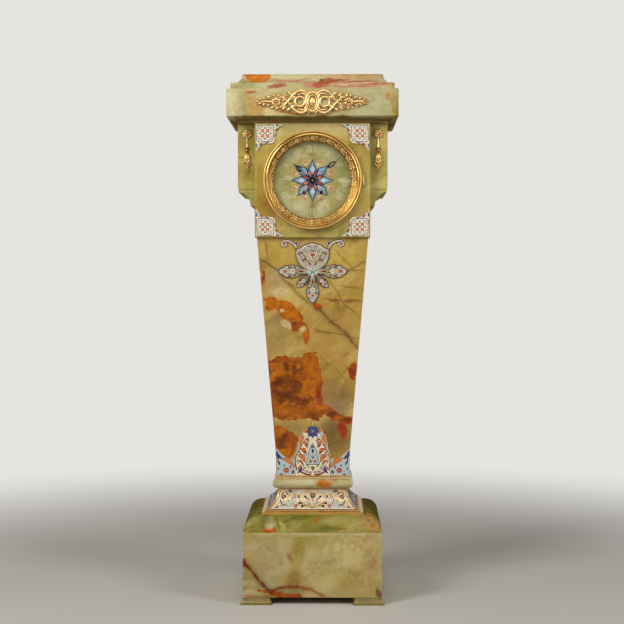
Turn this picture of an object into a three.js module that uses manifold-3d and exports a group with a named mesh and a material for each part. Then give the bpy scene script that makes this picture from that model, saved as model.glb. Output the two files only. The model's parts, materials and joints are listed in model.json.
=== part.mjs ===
// A pedestal clock: an onyx pillar clock with gilt-bronze and champlevé enamel mounts.
// Millimetres, +Z up, the clock faces -Y, and the origin is on the floor under its middle.
import * as THREE from 'three';
import { mergeVertices } from 'three/addons/utils/BufferGeometryUtils.js';
import Module from 'manifold-3d';

const wasm = await Module();
wasm.setup();

// Clearances and cuts
const seam = 0.3;
const overrun = 2;

// Feet
const footProud = 5.5;
const footWidth = 74;
const footHeight = 17;
const footStrip = 4;
const footFlare = 5;

// Plinth, hood and ledge
const plinthWidth = 325;
const plinthHeight = 152;
const plinthWall = 22;
const baseBoardThickness = 18;
const hoodHeight = 35;
const hoodInset = 40.5;
const ledgeStep = 2;
const ledgeHeight = 6;

// Spreader, bullnose slab and fillet
const spreaderStep = 4.5;
const spreaderHeight = 52;
const spreaderWall = 3;
const flarePower = 2.5;
const torusOverhang = 14;
const torusHeight = 22;
const filletInset = 7;
const filletHeight = 6;

// Shaft
const shaftStep = 5.25;
const shaftFootWidth = 166.5;
const shaftTopWidth = 261.5;
const shaftHeight = 568;
const shaftWall = 18;

// Head
const panelProud = 4.25;
const headHeight = 267;
const headProud = 9.25;
const headWall = 20;
const headFloorThickness = 18;
const wingWidth = 41;
const bracketHeight = 43;
const bracketFillet = 11;
const bracketFilletInset = 1.7;
const bracketNeck = 11;
const bracketRise = 74.7;

// Cap
const capSideOverhang = 24;
const capFrontOverhang = 25;
const capChamfer = 6;
const capMouldingHeight = 14;
const capMouldingReach = 23.5;
const capSlabHeight = 63;
const capStepHeight = 15;
const capStepInset = 9;
const capCavettoHeight = 23;
const capCavettoInset = 26;

// Tie rod
const rodRadius = 6;
const rodHeadRadius = 14;
const rodHeadHeight = 9;
const rodNutHeight = 10;
const rodEnd = 6;

// Bezel, seat ring and dial
const bezelMargin = 18.5;
const bezelHeight = 10.7;
const beadWidth = 4.5;
const coveWidth = 8.2;
const coveDepth = 5.5;
const bandWidth = 13;
const bandCrown = 1.4;
const glassThickness = 2;
const glassHold = 3.7;
const seatFlange = 1.7;
const seatHoleInset = 11;
const seatWall = 5.7;
const seatFlangeReach = 8.3;
const dialRecess = 7;
const dialThickness = 8;
const dialCentreHole = 7;
const windingHoleRadius = 4.5;
const barrelGap = 1.1;
const windingHoleDrop = 28.2;
const falsePlateThickness = 2;
const starInset = 38.3;
const starThickness = 0.8;

// Hinges of the bezel and of the back door
const hingeRadius = 3;
const hingePinRadius = 1.2;
const hingeKnuckle = 12;
const hingeEndKnuckle = 6;
const hingeReach = 3.5;
const hingeLeaf = 15;

// Hands
const minuteHandInset = 5.7;
const minuteHandAngle = 50.5;
const hourHandInset = 28.3;
const hourHandAngle = -49;
const handThickness = 1;
const handGap = 1.5;
const minuteHandHub = 5;
const hourHandHub = 8;
const handLensWidth = 11;
const handPiercingWidth = 6;

// Movement
const plateRadius = 58;
const plateThickness = 2.5;
const plateSpace = 38.5;
const motionSpace = 10;
const pillarRadius = 4.5;
const pillarInset = 7;
const pillarAngles = [55, 125, 185, 270, 355];
const postRadius = 4;
const postInset = 12;
const postAngles = [45, 135, 225, 315];
const barrelRadius = 19.5;
const barrelHeight = 24;
const windingArborRadius = 3.6;
const windingSquare = 4.4;
const windingEndDepth = 6;
const centreArborRadius = 2;
const pivotRadius = 1.2;
const pipeRadius = 5;
const pipeWall = 1.7;
const wheelThickness = 2;
const motionCentres = 18;
const centreWheelRadius = 16;
const centreWheelOffset = 2;
const escapeRise = 20;
const escapeRadius = 13;
const escapeOffset = 10;

// Pendulum, crutch, bell and hammer
const palletRise = 45;
const palletArborRadius = 1.5;
const palletClearance = 2.6;
const palletWidth = 1.6;
const crutchLength = 38;
const crutchOffset = 3.5;
const crutchThickness = 1.5;
const prongThickness = 1.2;
const cockGap = 9.5;
const cockThickness = 2.5;
const cockReach = 17;
const cockHeight = 8;
const suspensionDepth = 8.5;
const suspensionWidth = 8;
const pendulumLength = 131;
const pendulumRodRadius = 1.5;
const bobRadius = 22;
const bobThickness = 16;
const ratingNutHeight = 4;
const ratingNutRadius = 3;
const bellRadius = 36;
const bellDepth = 28;
const bellWall = 1.6;
const bellDrop = 7;
const bellGap = 4;
const bellCrown = 8;
const bellArmWidth = 7;
const bellArmThickness = 3.7;
const bellPostRadius = 3;
const bellPostInset = 4.25;
const bellPostAngle = 225;
const hammerBarrelGap = 3.9;
const hammerAngle = 22;
const hammerDrop = 30;
const hammerRadius = 4.5;
const hammerGap = 1.2;
const hammerLength = 11;
const hammerArm = 3;

// Back door
const doorWidth = 176;
const doorHeight = 196;
const doorThickness = 3;
const doorOverlap = 8;
const knobRadius = 8;
const knobNeck = 3.5;
const knobInset = 14;

// Mounts of enamel and gilt bronze
const enamelThickness = 3;
const apronLip = 0.7;
const apronHeight = 45;
const apronEarOverhang = 1.5;
const apronPeak = 136;
const apronFlower = 14.5;
const apronFlowerHeight = 109;
const pendantHubHeight = 489;
const pendantArm = 81;
const pendantArmWidth = 30;
const pendantLeg = 74;
const pendantLegWidth = 29;
const pendantDiagonal = 52;
const pendantDiagonalWidth = 20;
const pendantDiagonalAngle = 48;
const pendantShield = 67;
const pendantShieldWidth = 76;
const pendantHub = 11;
const pendantScrollWidth = 5;
const voluteRadius = 7;
const spandrelLeg = 65;
const spandrelMargin = 2;
const spandrelThickness = 2.5;
const capMountInset = 68;
const capMountMargin = 2.5;
const capScrollWidth = 5;
const capMountDepth = 10;
const dropLength = 106;
const dropRosette = 10;
const dropRise = 14;
const dropInset = 1.5;
const dropDepth = 7;

// Numbers of sides, rings and teeth
const roundSides = 48;
const plainSides = 24;
const smallSides = 12;
const hexSides = 6;
const curveRings = 6;
const bezelRings = 4;
const cannonTeeth = 12;
const minuteWheelTeeth = 36;
const hourPinionTeeth = 10;
const hourWheelTeeth = 40;
const centreWheelTeeth = 48;
const escapeTeeth = 24;
const starPoints = 8;

// Shares of a gear's module and of its tooth pitch
const addendumShare = 0.8;
const dedendumShare = 1.15;
const toothRootShare = 0.24;
const toothTipShare = 0.1;

// Widths of the courses, each from the one that it meets
const feetSpread = plinthWidth + 2 * footProud;
const ledgeWidth = plinthWidth - 2 * (hoodInset + ledgeStep);
const spreaderFootWidth = ledgeWidth - 2 * spreaderStep;
const filletWidth = shaftFootWidth + 2 * shaftStep;
const torusWidth = filletWidth + 2 * filletInset;
const spreaderTopWidth = torusWidth - 2 * torusOverhang;
const panelWidth = shaftTopWidth + 2 * panelProud;
const headDepth = shaftTopWidth + 2 * headProud;
const capWidth = panelWidth + 2 * (wingWidth + capSideOverhang);
const capDepth = headDepth + 2 * capFrontOverhang;
const capMountLength = capWidth - 2 * capMountInset;
const capMountHeight = capSlabHeight - 2 * capMountMargin;

// Heights of the courses, from the floor up
const plinthZ = footHeight;
const hoodZ = plinthZ + plinthHeight;
const ledgeZ = hoodZ + hoodHeight;
const spreaderZ = ledgeZ + ledgeHeight;
const torusZ = spreaderZ + spreaderHeight;
const filletZ = torusZ + torusHeight;
const shaftZ = filletZ + filletHeight;
const headZ = shaftZ + shaftHeight;
const capZ = headZ + headHeight;
const slabZ = capZ + capMouldingHeight;
const stepZ = slabZ + capSlabHeight;
const dialZ = headZ + headHeight / 2;

// Planes across the dial and the movement, from the panel's face to the back
const panelFront = -headDepth / 2;
const flangeFront = panelFront - seam - seatFlange;
const bezelBack = flangeFront - seam;
const bezelFront = bezelBack - bezelHeight;
const dialFront = panelFront + dialRecess;
const dialBack = dialFront + dialThickness;
const falseBack = dialBack + falsePlateThickness;
const frontPlateFace = falseBack + motionSpace;
const frontPlateBack = frontPlateFace + plateThickness;
const backPlateFace = frontPlateBack + plateSpace;
const backPlateBack = backPlateFace + plateThickness;
const hourHandBack = dialFront - starThickness - handGap;
const minuteHandBack = hourHandBack - handThickness - handGap;

// Radii of the bezel, dial and hands, and places in the movement
const bezelRadius = Math.min(panelWidth, headHeight) / 2 - bezelMargin;
const seatHoleRadius = bezelRadius - seatHoleInset;
const sightRadius = bezelRadius - beadWidth - coveWidth - bandWidth;
const starRadius = sightRadius - starInset;
const minuteHandLength = sightRadius - minuteHandInset;
const hourHandLength = sightRadius - hourHandInset;
const palletZ = dialZ + palletRise;
const bellZ = dialZ - bellDrop;
const windingZ = dialZ - windingHoleDrop;
const windingHoleSide = barrelRadius + barrelGap;
const hammerSide = windingHoleSide + barrelRadius + hammerBarrelGap;
const hammerPivotZ = dialZ - hammerDrop;
const cockFront = backPlateBack + cockGap;
const cockBack = cockFront + cockThickness;
const pendulumY = cockBack + suspensionDepth / 2;
const bellRim = cockBack + suspensionDepth + bellGap;
const bellCrownY = bellRim + bellDepth;
const escapeBack = frontPlateBack + escapeOffset + wheelThickness;

// Finishes
const finish = (color, roughness, metalness) =>
  new THREE.MeshStandardMaterial({ color, roughness, metalness });
const onyx = finish(0xb2a86e, 0.25, 0);
const onyxPale = finish(0xc8c49a, 0.25, 0);
const gilt = finish(0xd9a441, 0.3, 1);
const enamel = finish(0xd8d4c4, 0.2, 0);
const enamelBlue = finish(0x27346b, 0.2, 0);
const brass = finish(0xc9a64f, 0.35, 1);
const steel = finish(0x8a8d92, 0.35, 1);
const bluedSteel = finish(0x1b2238, 0.3, 1);
const iron = finish(0x3a3836, 0.7, 0.8);
const wood = finish(0x5a3b22, 0.6, 0);
const glass = finish(0xdfe8ea, 0.05, 0);

const clock = new THREE.Group();

// Welds a geometry's corners, drops slivers and turns its faces outward.
function weld(geometry) {
  const bare = geometry.clone();
  bare.deleteAttribute('normal');
  bare.deleteAttribute('uv');
  const merged = mergeVertices(bare);
  const source = merged.index.array;
  const spots = merged.attributes.position;
  const corners = [];
  let volume = 0;
  const [a, b, c] = [new THREE.Vector3(), new THREE.Vector3(), new THREE.Vector3()];
  for (let i = 0; i < source.length; i += 3) {
    const [p, q, r] = [source[i], source[i + 1], source[i + 2]];
    if (p === q || q === r || r === p) continue;
    corners.push(p, q, r);
    a.fromBufferAttribute(spots, p);
    b.fromBufferAttribute(spots, q);
    c.fromBufferAttribute(spots, r);
    volume += a.dot(b.cross(c));
  }
  if (volume < 0) corners.reverse();
  merged.setIndex(corners);
  return merged;
}

function solidOf(geometry) {
  const welded = weld(geometry);
  return new wasm.Manifold(new wasm.Mesh({
    numProp: 3,
    vertProperties: welded.attributes.position.array,
    triVerts: new Uint32Array(welded.index.array),
  }));
}

function geometryOf(solid) {
  const mesh = solid.getMesh();
  const geometry = new THREE.BufferGeometry();
  geometry.setAttribute('position', new THREE.BufferAttribute(mesh.vertProperties, mesh.numProp));
  geometry.setIndex(new THREE.BufferAttribute(mesh.triVerts, 1));
  return geometry;
}

const join = (pieces) => geometryOf(pieces.map(solidOf).reduce((sum, next) => sum.add(next)));
const cut = (body, tools) =>
  geometryOf(tools.map(solidOf).reduce((rest, tool) => rest.subtract(tool), solidOf(body)));
const common = (one, other) => geometryOf(solidOf(one).intersect(solidOf(other)));

function add(name, geometry, material) {
  const mesh = new THREE.Mesh(weld(geometry), material);
  mesh.name = name;
  clock.add(mesh);
}

// A block between two opposite corners.
function block(x0, x1, y0, y1, z0, z1) {
  const box = new THREE.BoxGeometry(x1 - x0, y1 - y0, z1 - z0);
  return box.translate((x0 + x1) / 2, (y0 + y1) / 2, (z0 + z1) / 2);
}

// A closed skin through a stack of convex outlines that have the same number of corners.
function loft(rings) {
  const count = rings[0].outline.length;
  const spots = rings.flatMap(({ outline, z }) => outline.flatMap(([x, y]) => [x, y, z]));
  const faces = [];
  for (let ring = 1; ring < rings.length; ring++) {
    for (let i = 0; i < count; i++) {
      const low = (ring - 1) * count;
      const next = (i + 1) % count;
      faces.push(low + i, low + next, low + count + next);
      faces.push(low + i, low + count + next, low + count + i);
    }
  }
  const top = (rings.length - 1) * count;
  for (let i = 1; i < count - 1; i++) {
    faces.push(0, i + 1, i);
    faces.push(top, top + i, top + i + 1);
  }
  const geometry = new THREE.BufferGeometry();
  geometry.setAttribute('position', new THREE.Float32BufferAttribute(spots, 3));
  geometry.setIndex(faces);
  return geometry;
}

const rectangle = (x0, x1, y0, y1) => [[x0, y0], [x1, y0], [x1, y1], [x0, y1]];
const oblong = (halfX, halfY) => rectangle(-halfX, halfX, -halfY, halfY);
const square = (half) => oblong(half, half);

function chamfered(halfX, halfY, chamfer) {
  const [x, y] = [halfX - chamfer, halfY - chamfer];
  return [
    [-x, -halfY], [x, -halfY], [halfX, -y], [halfX, y],
    [x, halfY], [-x, halfY], [-halfX, y], [-halfX, -y],
  ];
}

// Rings of a moulding: the outline and the height are worked out from a share that runs from 0 to 1.
function moulding(ringAt, rings = curveRings) {
  const stack = [];
  for (let i = 0; i <= rings; i++) stack.push(ringAt(i / rings));
  return stack;
}

const radians = (degrees) => THREE.MathUtils.degToRad(degrees);
const polar = (radius, degrees) =>
  [radius * Math.cos(radians(degrees)), radius * Math.sin(radians(degrees))];

function shapeOf(points) {
  return new THREE.Shape(points.map(([x, y]) => new THREE.Vector2(x, y)));
}

// Moves a drawing's x and y to the clock's X and Z, with its thickness towards the front.
const upright = new THREE.Matrix4().makeBasis(
  new THREE.Vector3(1, 0, 0),
  new THREE.Vector3(0, 0, 1),
  new THREE.Vector3(0, -1, 0),
);

const slabOf = (shape, depth) =>
  new THREE.ExtrudeGeometry(shape, { depth, bevelEnabled: false, curveSegments: curveRings });

// A drawing in X and Z, thick from one Y to another.
function frontPrism(shape, back, front, x = 0, z = 0) {
  return slabOf(shape, back - front).applyMatrix4(upright).translate(x, back, z);
}

// A body turned about an axis that runs from front to back.
function frontTurning(profile, sides, x = 0, z = dialZ) {
  const points = profile.map(([radius, y]) => new THREE.Vector2(radius, y));
  return new THREE.LatheGeometry(points, sides).translate(x, 0, z);
}

// A body turned about an upright axis.
function uprightTurning(profile, sides, x = 0, y = 0) {
  const points = profile.map(([radius, z]) => new THREE.Vector2(radius, z));
  return new THREE.LatheGeometry(points, sides).applyMatrix4(upright).translate(x, y, 0);
}

const frontRod = (radius, y0, y1, sides, x, z) =>
  frontTurning([[0, y0], [radius, y0], [radius, y1], [0, y1]], sides, x, z);
const uprightRod = (radius, z0, z1, sides, x, y) =>
  uprightTurning([[0, z0], [radius, z0], [radius, z1], [0, z1]], sides, x, y);

// A small rod from front to back, and a hole right through a thickness.
const pin = (radius, y0, y1, x = 0, z = dialZ) => frontRod(radius, y0, y1, smallSides, x, z);
const drill = (radius, y0, y1, x, z) => pin(radius, y0 - overrun, y1 + overrun, x, z);

// A closed lens between two points, widest at the middle.
function leaf([x0, z0], [x1, z1], width) {
  const [dx, dz] = [x1 - x0, z1 - z0];
  const length = Math.hypot(dx, dz);
  const [sideX, sideZ] = [-dz / length * width, dx / length * width];
  const [start, end] = [new THREE.Vector2(x0, z0), new THREE.Vector2(x1, z1)];
  const flank = (side) => new THREE.Vector2((x0 + x1) / 2 + side * sideX, (z0 + z1) / 2 + side * sideZ);
  const out = new THREE.QuadraticBezierCurve(start, flank(1), end).getPoints(curveRings).slice(0, -1);
  const home = new THREE.QuadraticBezierCurve(end, flank(-1), start).getPoints(curveRings).slice(0, -1);
  return new THREE.Shape([...out, ...home]);
}

// A band of even width along a smooth curve through the points.
function ribbon(points, width, steps = points.length * 2) {
  const curve = new THREE.SplineCurve(points.map(([x, y]) => new THREE.Vector2(x, y)));
  const [left, right] = [[], []];
  for (let i = 0; i <= steps; i++) {
    const spot = curve.getPoint(i / steps);
    const along = curve.getTangent(i / steps);
    left.push([spot.x - along.y * width / 2, spot.y + along.x * width / 2]);
    right.unshift([spot.x + along.y * width / 2, spot.y - along.x * width / 2]);
  }
  return shapeOf([...left, ...right]);
}

function disc(radius, x = 0, y = 0, stretch = 1) {
  const shape = new THREE.Shape();
  shape.absellipse(x, y, radius, radius * stretch, 0, 2 * Math.PI);
  return shape;
}

// A spur gear with one tooth centred on the given angle.
function gear(teeth, module, firstTooth) {
  const pitchRadius = module * teeth / 2;
  const tip = pitchRadius + addendumShare * module;
  const root = pitchRadius - dedendumShare * module;
  const pitch = 360 / teeth;
  const corners = [];
  for (let i = 0; i < teeth; i++) {
    const middle = firstTooth + i * pitch;
    corners.push(polar(root, middle - toothRootShare * pitch));
    corners.push(polar(tip, middle - toothTipShare * pitch));
    corners.push(polar(tip, middle + toothTipShare * pitch));
    corners.push(polar(root, middle + toothRootShare * pitch));
  }
  return shapeOf(corners);
}

// Feet, plinth, hood and ledge
function addBase() {
  const outer = feetSpread / 2;
  const inner = outer - footWidth;
  for (const [side, signX] of [['left', -1], ['right', 1]]) {
    for (const [end, signY] of [['front', -1], ['back', 1]]) {
      const ringAt = (inset, z) => {
        const far = outer - inset;
        const near = inner + inset;
        const outline = rectangle(...[signX * near, signX * far].sort((a, b) => a - b),
          ...[signY * near, signY * far].sort((a, b) => a - b));
        return { outline, z };
      };
      const flare = moulding((share) => ringAt(footFlare * Math.sqrt(share),
        footStrip + (footHeight - footStrip) * share));
      add(`foot_${end}_${side}`, loft([ringAt(0, 0), ...flare]), gilt);
    }
  }

  const half = plinthWidth / 2;
  const inside = half - plinthWall;
  const between = inside - seam;
  add('plinth_front', block(-half, half, -half, -inside, plinthZ, hoodZ), onyxPale);
  add('plinth_back', block(-half, half, inside, half, plinthZ, hoodZ), onyxPale);
  add('plinth_left', block(-half, -inside, -between, between, plinthZ, hoodZ), onyxPale);
  add('plinth_right', block(inside, half, -between, between, plinthZ, hoodZ), onyxPale);
  const board = block(-between, between, -between, between, plinthZ, plinthZ + baseBoardThickness);
  add('base_board', cut(board, [rodHole(plinthZ, plinthZ + baseBoardThickness)]), wood);

  const hood = loft(moulding((share) => {
    const angle = share * Math.PI / 2;
    const inset = hoodInset * (1 - Math.cos(angle));
    return { outline: square(half - inset), z: hoodZ + hoodHeight * Math.sin(angle) };
  }));
  add('plinth_hood', cut(hood, [rodHole(hoodZ, ledgeZ)]), onyx);
  const ledgeHalf = ledgeWidth / 2;
  const ledge = block(-ledgeHalf, ledgeHalf, -ledgeHalf, ledgeHalf, ledgeZ, spreaderZ);
  add('base_ledge', cut(ledge, [rodHole(ledgeZ, spreaderZ)]), gilt);
}

// The clear hole that the tie rod passes through.
function rodHole(z0, z1) {
  return uprightRod(rodRadius + seam, z0 - overrun, z1 + overrun, smallSides);
}

// Spreader, bullnose slab and gilt fillet
function addSpreader() {
  const flareRings = (inset) => moulding((share) => {
    const flare = (spreaderFootWidth - spreaderTopWidth) / 2 * (1 - share) ** flarePower;
    const outline = square(spreaderTopWidth / 2 + flare - inset);
    return { outline, z: spreaderZ + spreaderHeight * share };
  }, 2 * curveRings);
  const hollow = flareRings(spreaderWall);
  const bottom = { outline: hollow[0].outline, z: spreaderZ - overrun };
  const top = { outline: hollow.at(-1).outline, z: torusZ + overrun };
  add('spreader_casing', cut(loft(flareRings(0)), [loft([bottom, ...hollow, top])]), enamel);
  const core = loft(flareRings(spreaderWall + seam));
  add('spreader_core', cut(core, [rodHole(spreaderZ, torusZ)]), wood);

  const round = torusHeight / 2;
  const torus = loft(moulding((share) => {
    const angle = (share - 1 / 2) * Math.PI;
    return {
      outline: square(torusWidth / 2 - round * (1 - Math.cos(angle))),
      z: torusZ + round * (1 + Math.sin(angle)),
    };
  }, 2 * curveRings));
  add('shaft_torus', cut(torus, [rodHole(torusZ, filletZ)]), onyx);
  const half = filletWidth / 2;
  const fillet = block(-half, half, -half, half, filletZ, shaftZ);
  add('shaft_fillet', cut(fillet, [rodHole(filletZ, shaftZ)]), gilt);
}

// Half the shaft's width at a height above the floor.
function shaftHalf(z) {
  const share = (z - shaftZ) / shaftHeight;
  return (shaftFootWidth + (shaftTopWidth - shaftFootWidth) * share) / 2;
}

// A body that follows the shaft's taper, with its outlines worked out from the shaft's half width.
function alongShaft(z0, z1, outlineAt) {
  return loft([z0, z1].map((z) => ({ outline: outlineAt(shaftHalf(z)), z })));
}

function addShaft() {
  const wall = shaftWall;
  const slab = (outlineAt) => alongShaft(shaftZ, headZ, outlineAt);
  const innerWall = wall + seam;
  add('shaft_front', slab((half) => rectangle(-half, half, -half, wall - half)), onyx);
  add('shaft_back', slab((half) => rectangle(-half, half, half - wall, half)), onyx);
  add('shaft_left', slab((half) => rectangle(-half, wall - half, innerWall - half, half - innerWall)), onyx);
  add('shaft_right', slab((half) => rectangle(half - wall, half, innerWall - half, half - innerWall)), onyx);
  addRod();
  addApron();
  addPendant();
}

function addRod() {
  const floorTop = headZ + headFloorThickness;
  const nutTop = floorTop + rodNutHeight;
  const shank = uprightRod(rodRadius, plinthZ - rodHeadHeight / 2, nutTop + rodEnd, smallSides);
  const head = uprightRod(rodHeadRadius, plinthZ - rodHeadHeight, plinthZ, hexSides);
  add('tie_rod', join([shank, head]), iron);
  const nut = uprightRod(rodHeadRadius, floorTop, nutTop, hexSides);
  add('tie_rod_nut', cut(nut, [rodHole(floorTop, nutTop)]), iron);
}

// Lays a drawing on the shaft's sloping front, its foot line at the given height.
function onShaftFront(shape, thickness, z) {
  const slope = Math.atan2((shaftTopWidth - shaftFootWidth) / 2, shaftHeight);
  return slabOf(shape, thickness).applyMatrix4(upright).rotateX(slope).translate(0, -shaftHalf(z) - seam, z);
}

// The enamel boot round the foot of the shaft: a collar and a front with ears and a finial.
function addApron() {
  const foot = shaftZ + seam;
  const top = foot + apronHeight;
  const half = shaftHalf(top) + seam + apronLip;
  const room = alongShaft(shaftZ - overrun, top + overrun, (size) => square(size + seam));
  const collar = cut(block(-half, half, -half, half, foot, top), [room]);
  const outlineShares = [
    [0.98, 0], [0.98, 0.33], [1, 0.54], [0.95, 0.45], [0.85, 0.4], [0.74, 0.345], [0.58, 0.315],
    [0.49, 0.32], [0.48, 0.37], [0.43, 0.44], [0.36, 0.53], [0.37, 0.62], [0.35, 0.66], [0.29, 0.7],
    [0.24, 0.755], [0.17, 0.8],
  ];
  const right = outlineShares.map(([x, z]) => [(half + apronEarOverhang) * x, apronPeak * z]);
  const left = right.map(([x, z]) => [-x, z]).reverse();
  const plate = onShaftFront(shapeOf([...right, [0, apronPeak], ...left]), enamelThickness, foot);
  const flower = onShaftFront(disc(apronFlower, 0, apronFlowerHeight), enamelThickness, foot);
  add('shaft_apron', join([collar, plate, flower]), enamel);
}

// The enamel pendant under the dial panel: five lobed petals, a shield above them and two scrolls.
function addPendant() {
  const lobeShares = [
    [0.06, 0.3], [0.3, 0.5], [0.48, 0.84], [0.6, 1], [0.74, 0.88], [0.78, 0.7], [0.9, 0.5], [1, 0.06],
  ];
  const petal = (degrees, length, width) => {
    const [alongX, alongZ] = polar(1, degrees);
    const flank = (side) => lobeShares.map(([out, wide]) => [
      alongX * out * length - alongZ * side * wide * width / 2,
      alongZ * out * length + alongX * side * wide * width / 2,
    ]);
    return shapeOf([...flank(-1), ...flank(1).reverse()]);
  };
  const shapes = [
    petal(0, pendantArm, pendantArmWidth),
    petal(180, pendantArm, pendantArmWidth),
    petal(270, pendantLeg, pendantLegWidth),
    petal(-pendantDiagonalAngle, pendantDiagonal, pendantDiagonalWidth),
    petal(180 + pendantDiagonalAngle, pendantDiagonal, pendantDiagonalWidth),
    disc(pendantHub),
  ];
  const shieldShares = [
    [0.12, 0], [0.34, 0.24], [0.47, 0.44], [0.5, 0.62], [0.42, 0.78], [0.27, 0.8], [0.23, 0.9], [0.1, 1],
  ];
  const right = shieldShares.map(([x, z]) => [x * pendantShieldWidth, z * pendantShield]);
  shapes.push(shapeOf([...right, ...right.map(([x, z]) => [-x, z]).reverse()]));
  const scrollShares = [[0.46, 0.6], [0.56, 0.8], [0.65, 0.95], [0.77, 1.04], [0.87, 0.96]];
  const innerVoluteShares = [0.52, 1];
  for (const side of [-1, 1]) {
    const path = scrollShares.map(([x, z]) => [side * x * pendantShieldWidth, z * pendantShield]);
    shapes.push(ribbon(path, pendantScrollWidth));
    const [endX, endZ] = path.at(-1);
    shapes.push(disc(voluteRadius, endX, endZ));
    const [innerX, innerZ] = innerVoluteShares;
    const volute = [side * innerX * pendantShieldWidth, innerZ * pendantShield];
    shapes.push(ribbon([path[1], volute], pendantScrollWidth));
    shapes.push(disc(voluteRadius / 2, ...volute));
  }
  const plates = shapes.map((shape) => onShaftFront(shape, enamelThickness, shaftZ + pendantHubHeight));
  add('pendant_mount', join(plates), enamel);
}

// Head: panel, sides with wings on brackets, back wall and floor
function addHead() {
  const half = panelWidth / 2;
  const deep = headDepth / 2;
  const inner = half - headWall;
  const depth = deep - headWall - seam;
  const panel = block(-half, half, -deep, headWall - deep, headZ, capZ);
  const hole = frontRod(seatHoleRadius, -deep - overrun, headWall + overrun - deep, roundSides);
  add('head_front', cut(panel, [hole]), onyx);

  const wingOuter = half + wingWidth;
  const bracketFoot = headZ + bracketRise;
  const profile = [[inner, headZ], [half, headZ], [half, bracketFoot], [half + bracketNeck, bracketFoot]];
  const curveTop = bracketFoot + bracketHeight - bracketFillet;
  const reach = wingWidth - bracketFilletInset - bracketNeck;
  for (let i = 1; i < curveRings; i++) {
    const angle = i / curveRings * Math.PI / 2;
    const out = half + bracketNeck + reach * (1 - Math.cos(angle));
    profile.push([out, bracketFoot + (curveTop - bracketFoot) * Math.sin(angle)]);
  }
  profile.push([wingOuter - bracketFilletInset, curveTop]);
  profile.push([wingOuter - bracketFilletInset, bracketFoot + bracketHeight]);
  profile.push([wingOuter, bracketFoot + bracketHeight], [wingOuter, capZ], [inner, capZ]);
  const mirrored = profile.map(([x, z]) => [-x, z]).reverse();
  add('head_right', frontPrism(shapeOf(profile), depth, -depth), onyx);
  add('head_left', frontPrism(shapeOf(mirrored), depth, -depth), onyx);

  const wide = inner - seam;
  const floor = block(-wide, wide, -depth, depth, headZ, headZ + headFloorThickness);
  add('head_floor', cut(floor, [rodHole(headZ, headZ + headFloorThickness)]), wood);

  const wall = block(-half, half, deep - headWall, deep, headZ, capZ);
  const openX = doorWidth / 2 - doorOverlap;
  const openZ = doorHeight / 2 - doorOverlap;
  const wallFace = deep - headWall;
  const opening = block(-openX, openX, wallFace - overrun, deep + overrun, dialZ - openZ, dialZ + openZ);
  add('head_back', cut(wall, [opening]), onyx);
}

// Cap: slab on its under-moulding, and the stepped top with a cavetto edge
function addCap() {
  const [halfX, halfY] = [capWidth / 2, capDepth / 2];
  const underside = moulding((share) => {
    const inset = capMouldingReach * Math.sqrt(1 - share ** 2);
    const outline = chamfered(halfX - inset, halfY - inset, capChamfer);
    return { outline, z: capZ + capMouldingHeight * share };
  });
  const slab = { outline: chamfered(halfX, halfY, capChamfer), z: stepZ };
  add('cap_slab', loft([...underside, slab]), onyxPale);

  const stepX = halfX - capStepInset;
  const stepY = halfY - capStepInset;
  const cavettoZ = stepZ + capStepHeight;
  const edge = moulding((share) => {
    const inset = capCavettoInset * Math.sqrt(1 - (1 - share) ** 2);
    const outline = chamfered(stepX - inset, stepY - inset, capChamfer);
    return { outline, z: cavettoZ + capCavettoHeight * share };
  });
  add('cap_top', loft([{ outline: chamfered(stepX, stepY, capChamfer), z: stepZ }, ...edge]), onyxPale);
}

// Gilt mount on the cap: a cartouche between two rings, rosettes and leaf sprays
function addCapMount() {
  const back = -capDepth / 2 - seam;
  const middle = slabZ + capSlabHeight / 2;
  const scrollDepthShare = 0.6;
  const leafDepthShare = 0.5;
  const rosetteDepthShare = 0.85;
  const ringDepthShare = 0.7;
  const leafWidthShare = 0.36;
  const ringSizeShare = 0.42;
  const rosetteSizeShare = 0.42;
  const [halfL, halfH] = [capMountLength / 2, capMountHeight / 2];
  const at = (x, z) => [halfL * x, halfH * z];
  const relief = (shape, depthShare) => frontPrism(shape, back, back - capMountDepth * depthShare, 0, middle);
  const ovalStretchShare = 1.4;
  const cartoucheShare = 0.66;
  const bossShare = 0.3;
  const pieces = [
    relief(disc(halfH * cartoucheShare, 0, 0, ovalStretchShare), leafDepthShare + scrollDepthShare / 2),
    relief(disc(halfH * bossShare, 0, 0, ovalStretchShare), 1),
  ];
  const scrollShares = [[0, 0.6], [0.12, 0.92], [0.26, 0.82], [0.36, 0.45], [0.5, 0.3], [0.62, 0.32]];
  const footShares = [[0, -0.6], [0.12, -0.92], [0.28, -0.8], [0.4, -0.4], [0.6, -0.38], [0.8, -0.2]];
  const sprigShares = [
    [[0.36, 0.45], [0.62, 0.85]], [[0.4, -0.4], [0.74, -0.85]], [[0.5, 0.1], [1, 0.3]],
    [[0.55, -0.1], [0.98, -0.35]], [[0.66, 0.1], [0.86, 0.72]],
  ];
  const rosetteShare = 0.635;
  const ringX = halfH * (cartoucheShare + ringSizeShare) - capScrollWidth / 2;
  for (const side of [-1, 1]) {
    for (const shares of [scrollShares, footShares]) {
      const path = shares.map(([x, z]) => at(side * x, z));
      pieces.push(relief(ribbon(path, capScrollWidth), scrollDepthShare));
    }
    for (const [[x0, z0], [x1, z1]] of sprigShares) {
      const blade = leaf(at(side * x0, z0), at(side * x1, z1), halfH * leafWidthShare);
      pieces.push(relief(blade, leafDepthShare));
    }
    pieces.push(relief(disc(halfH * ringSizeShare, ringX * side), ringDepthShare));
    pieces.push(relief(disc(halfH * rosetteSizeShare, halfL * rosetteShare * side), rosetteDepthShare));
  }
  add('cap_mount', join(pieces), gilt);
}

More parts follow.
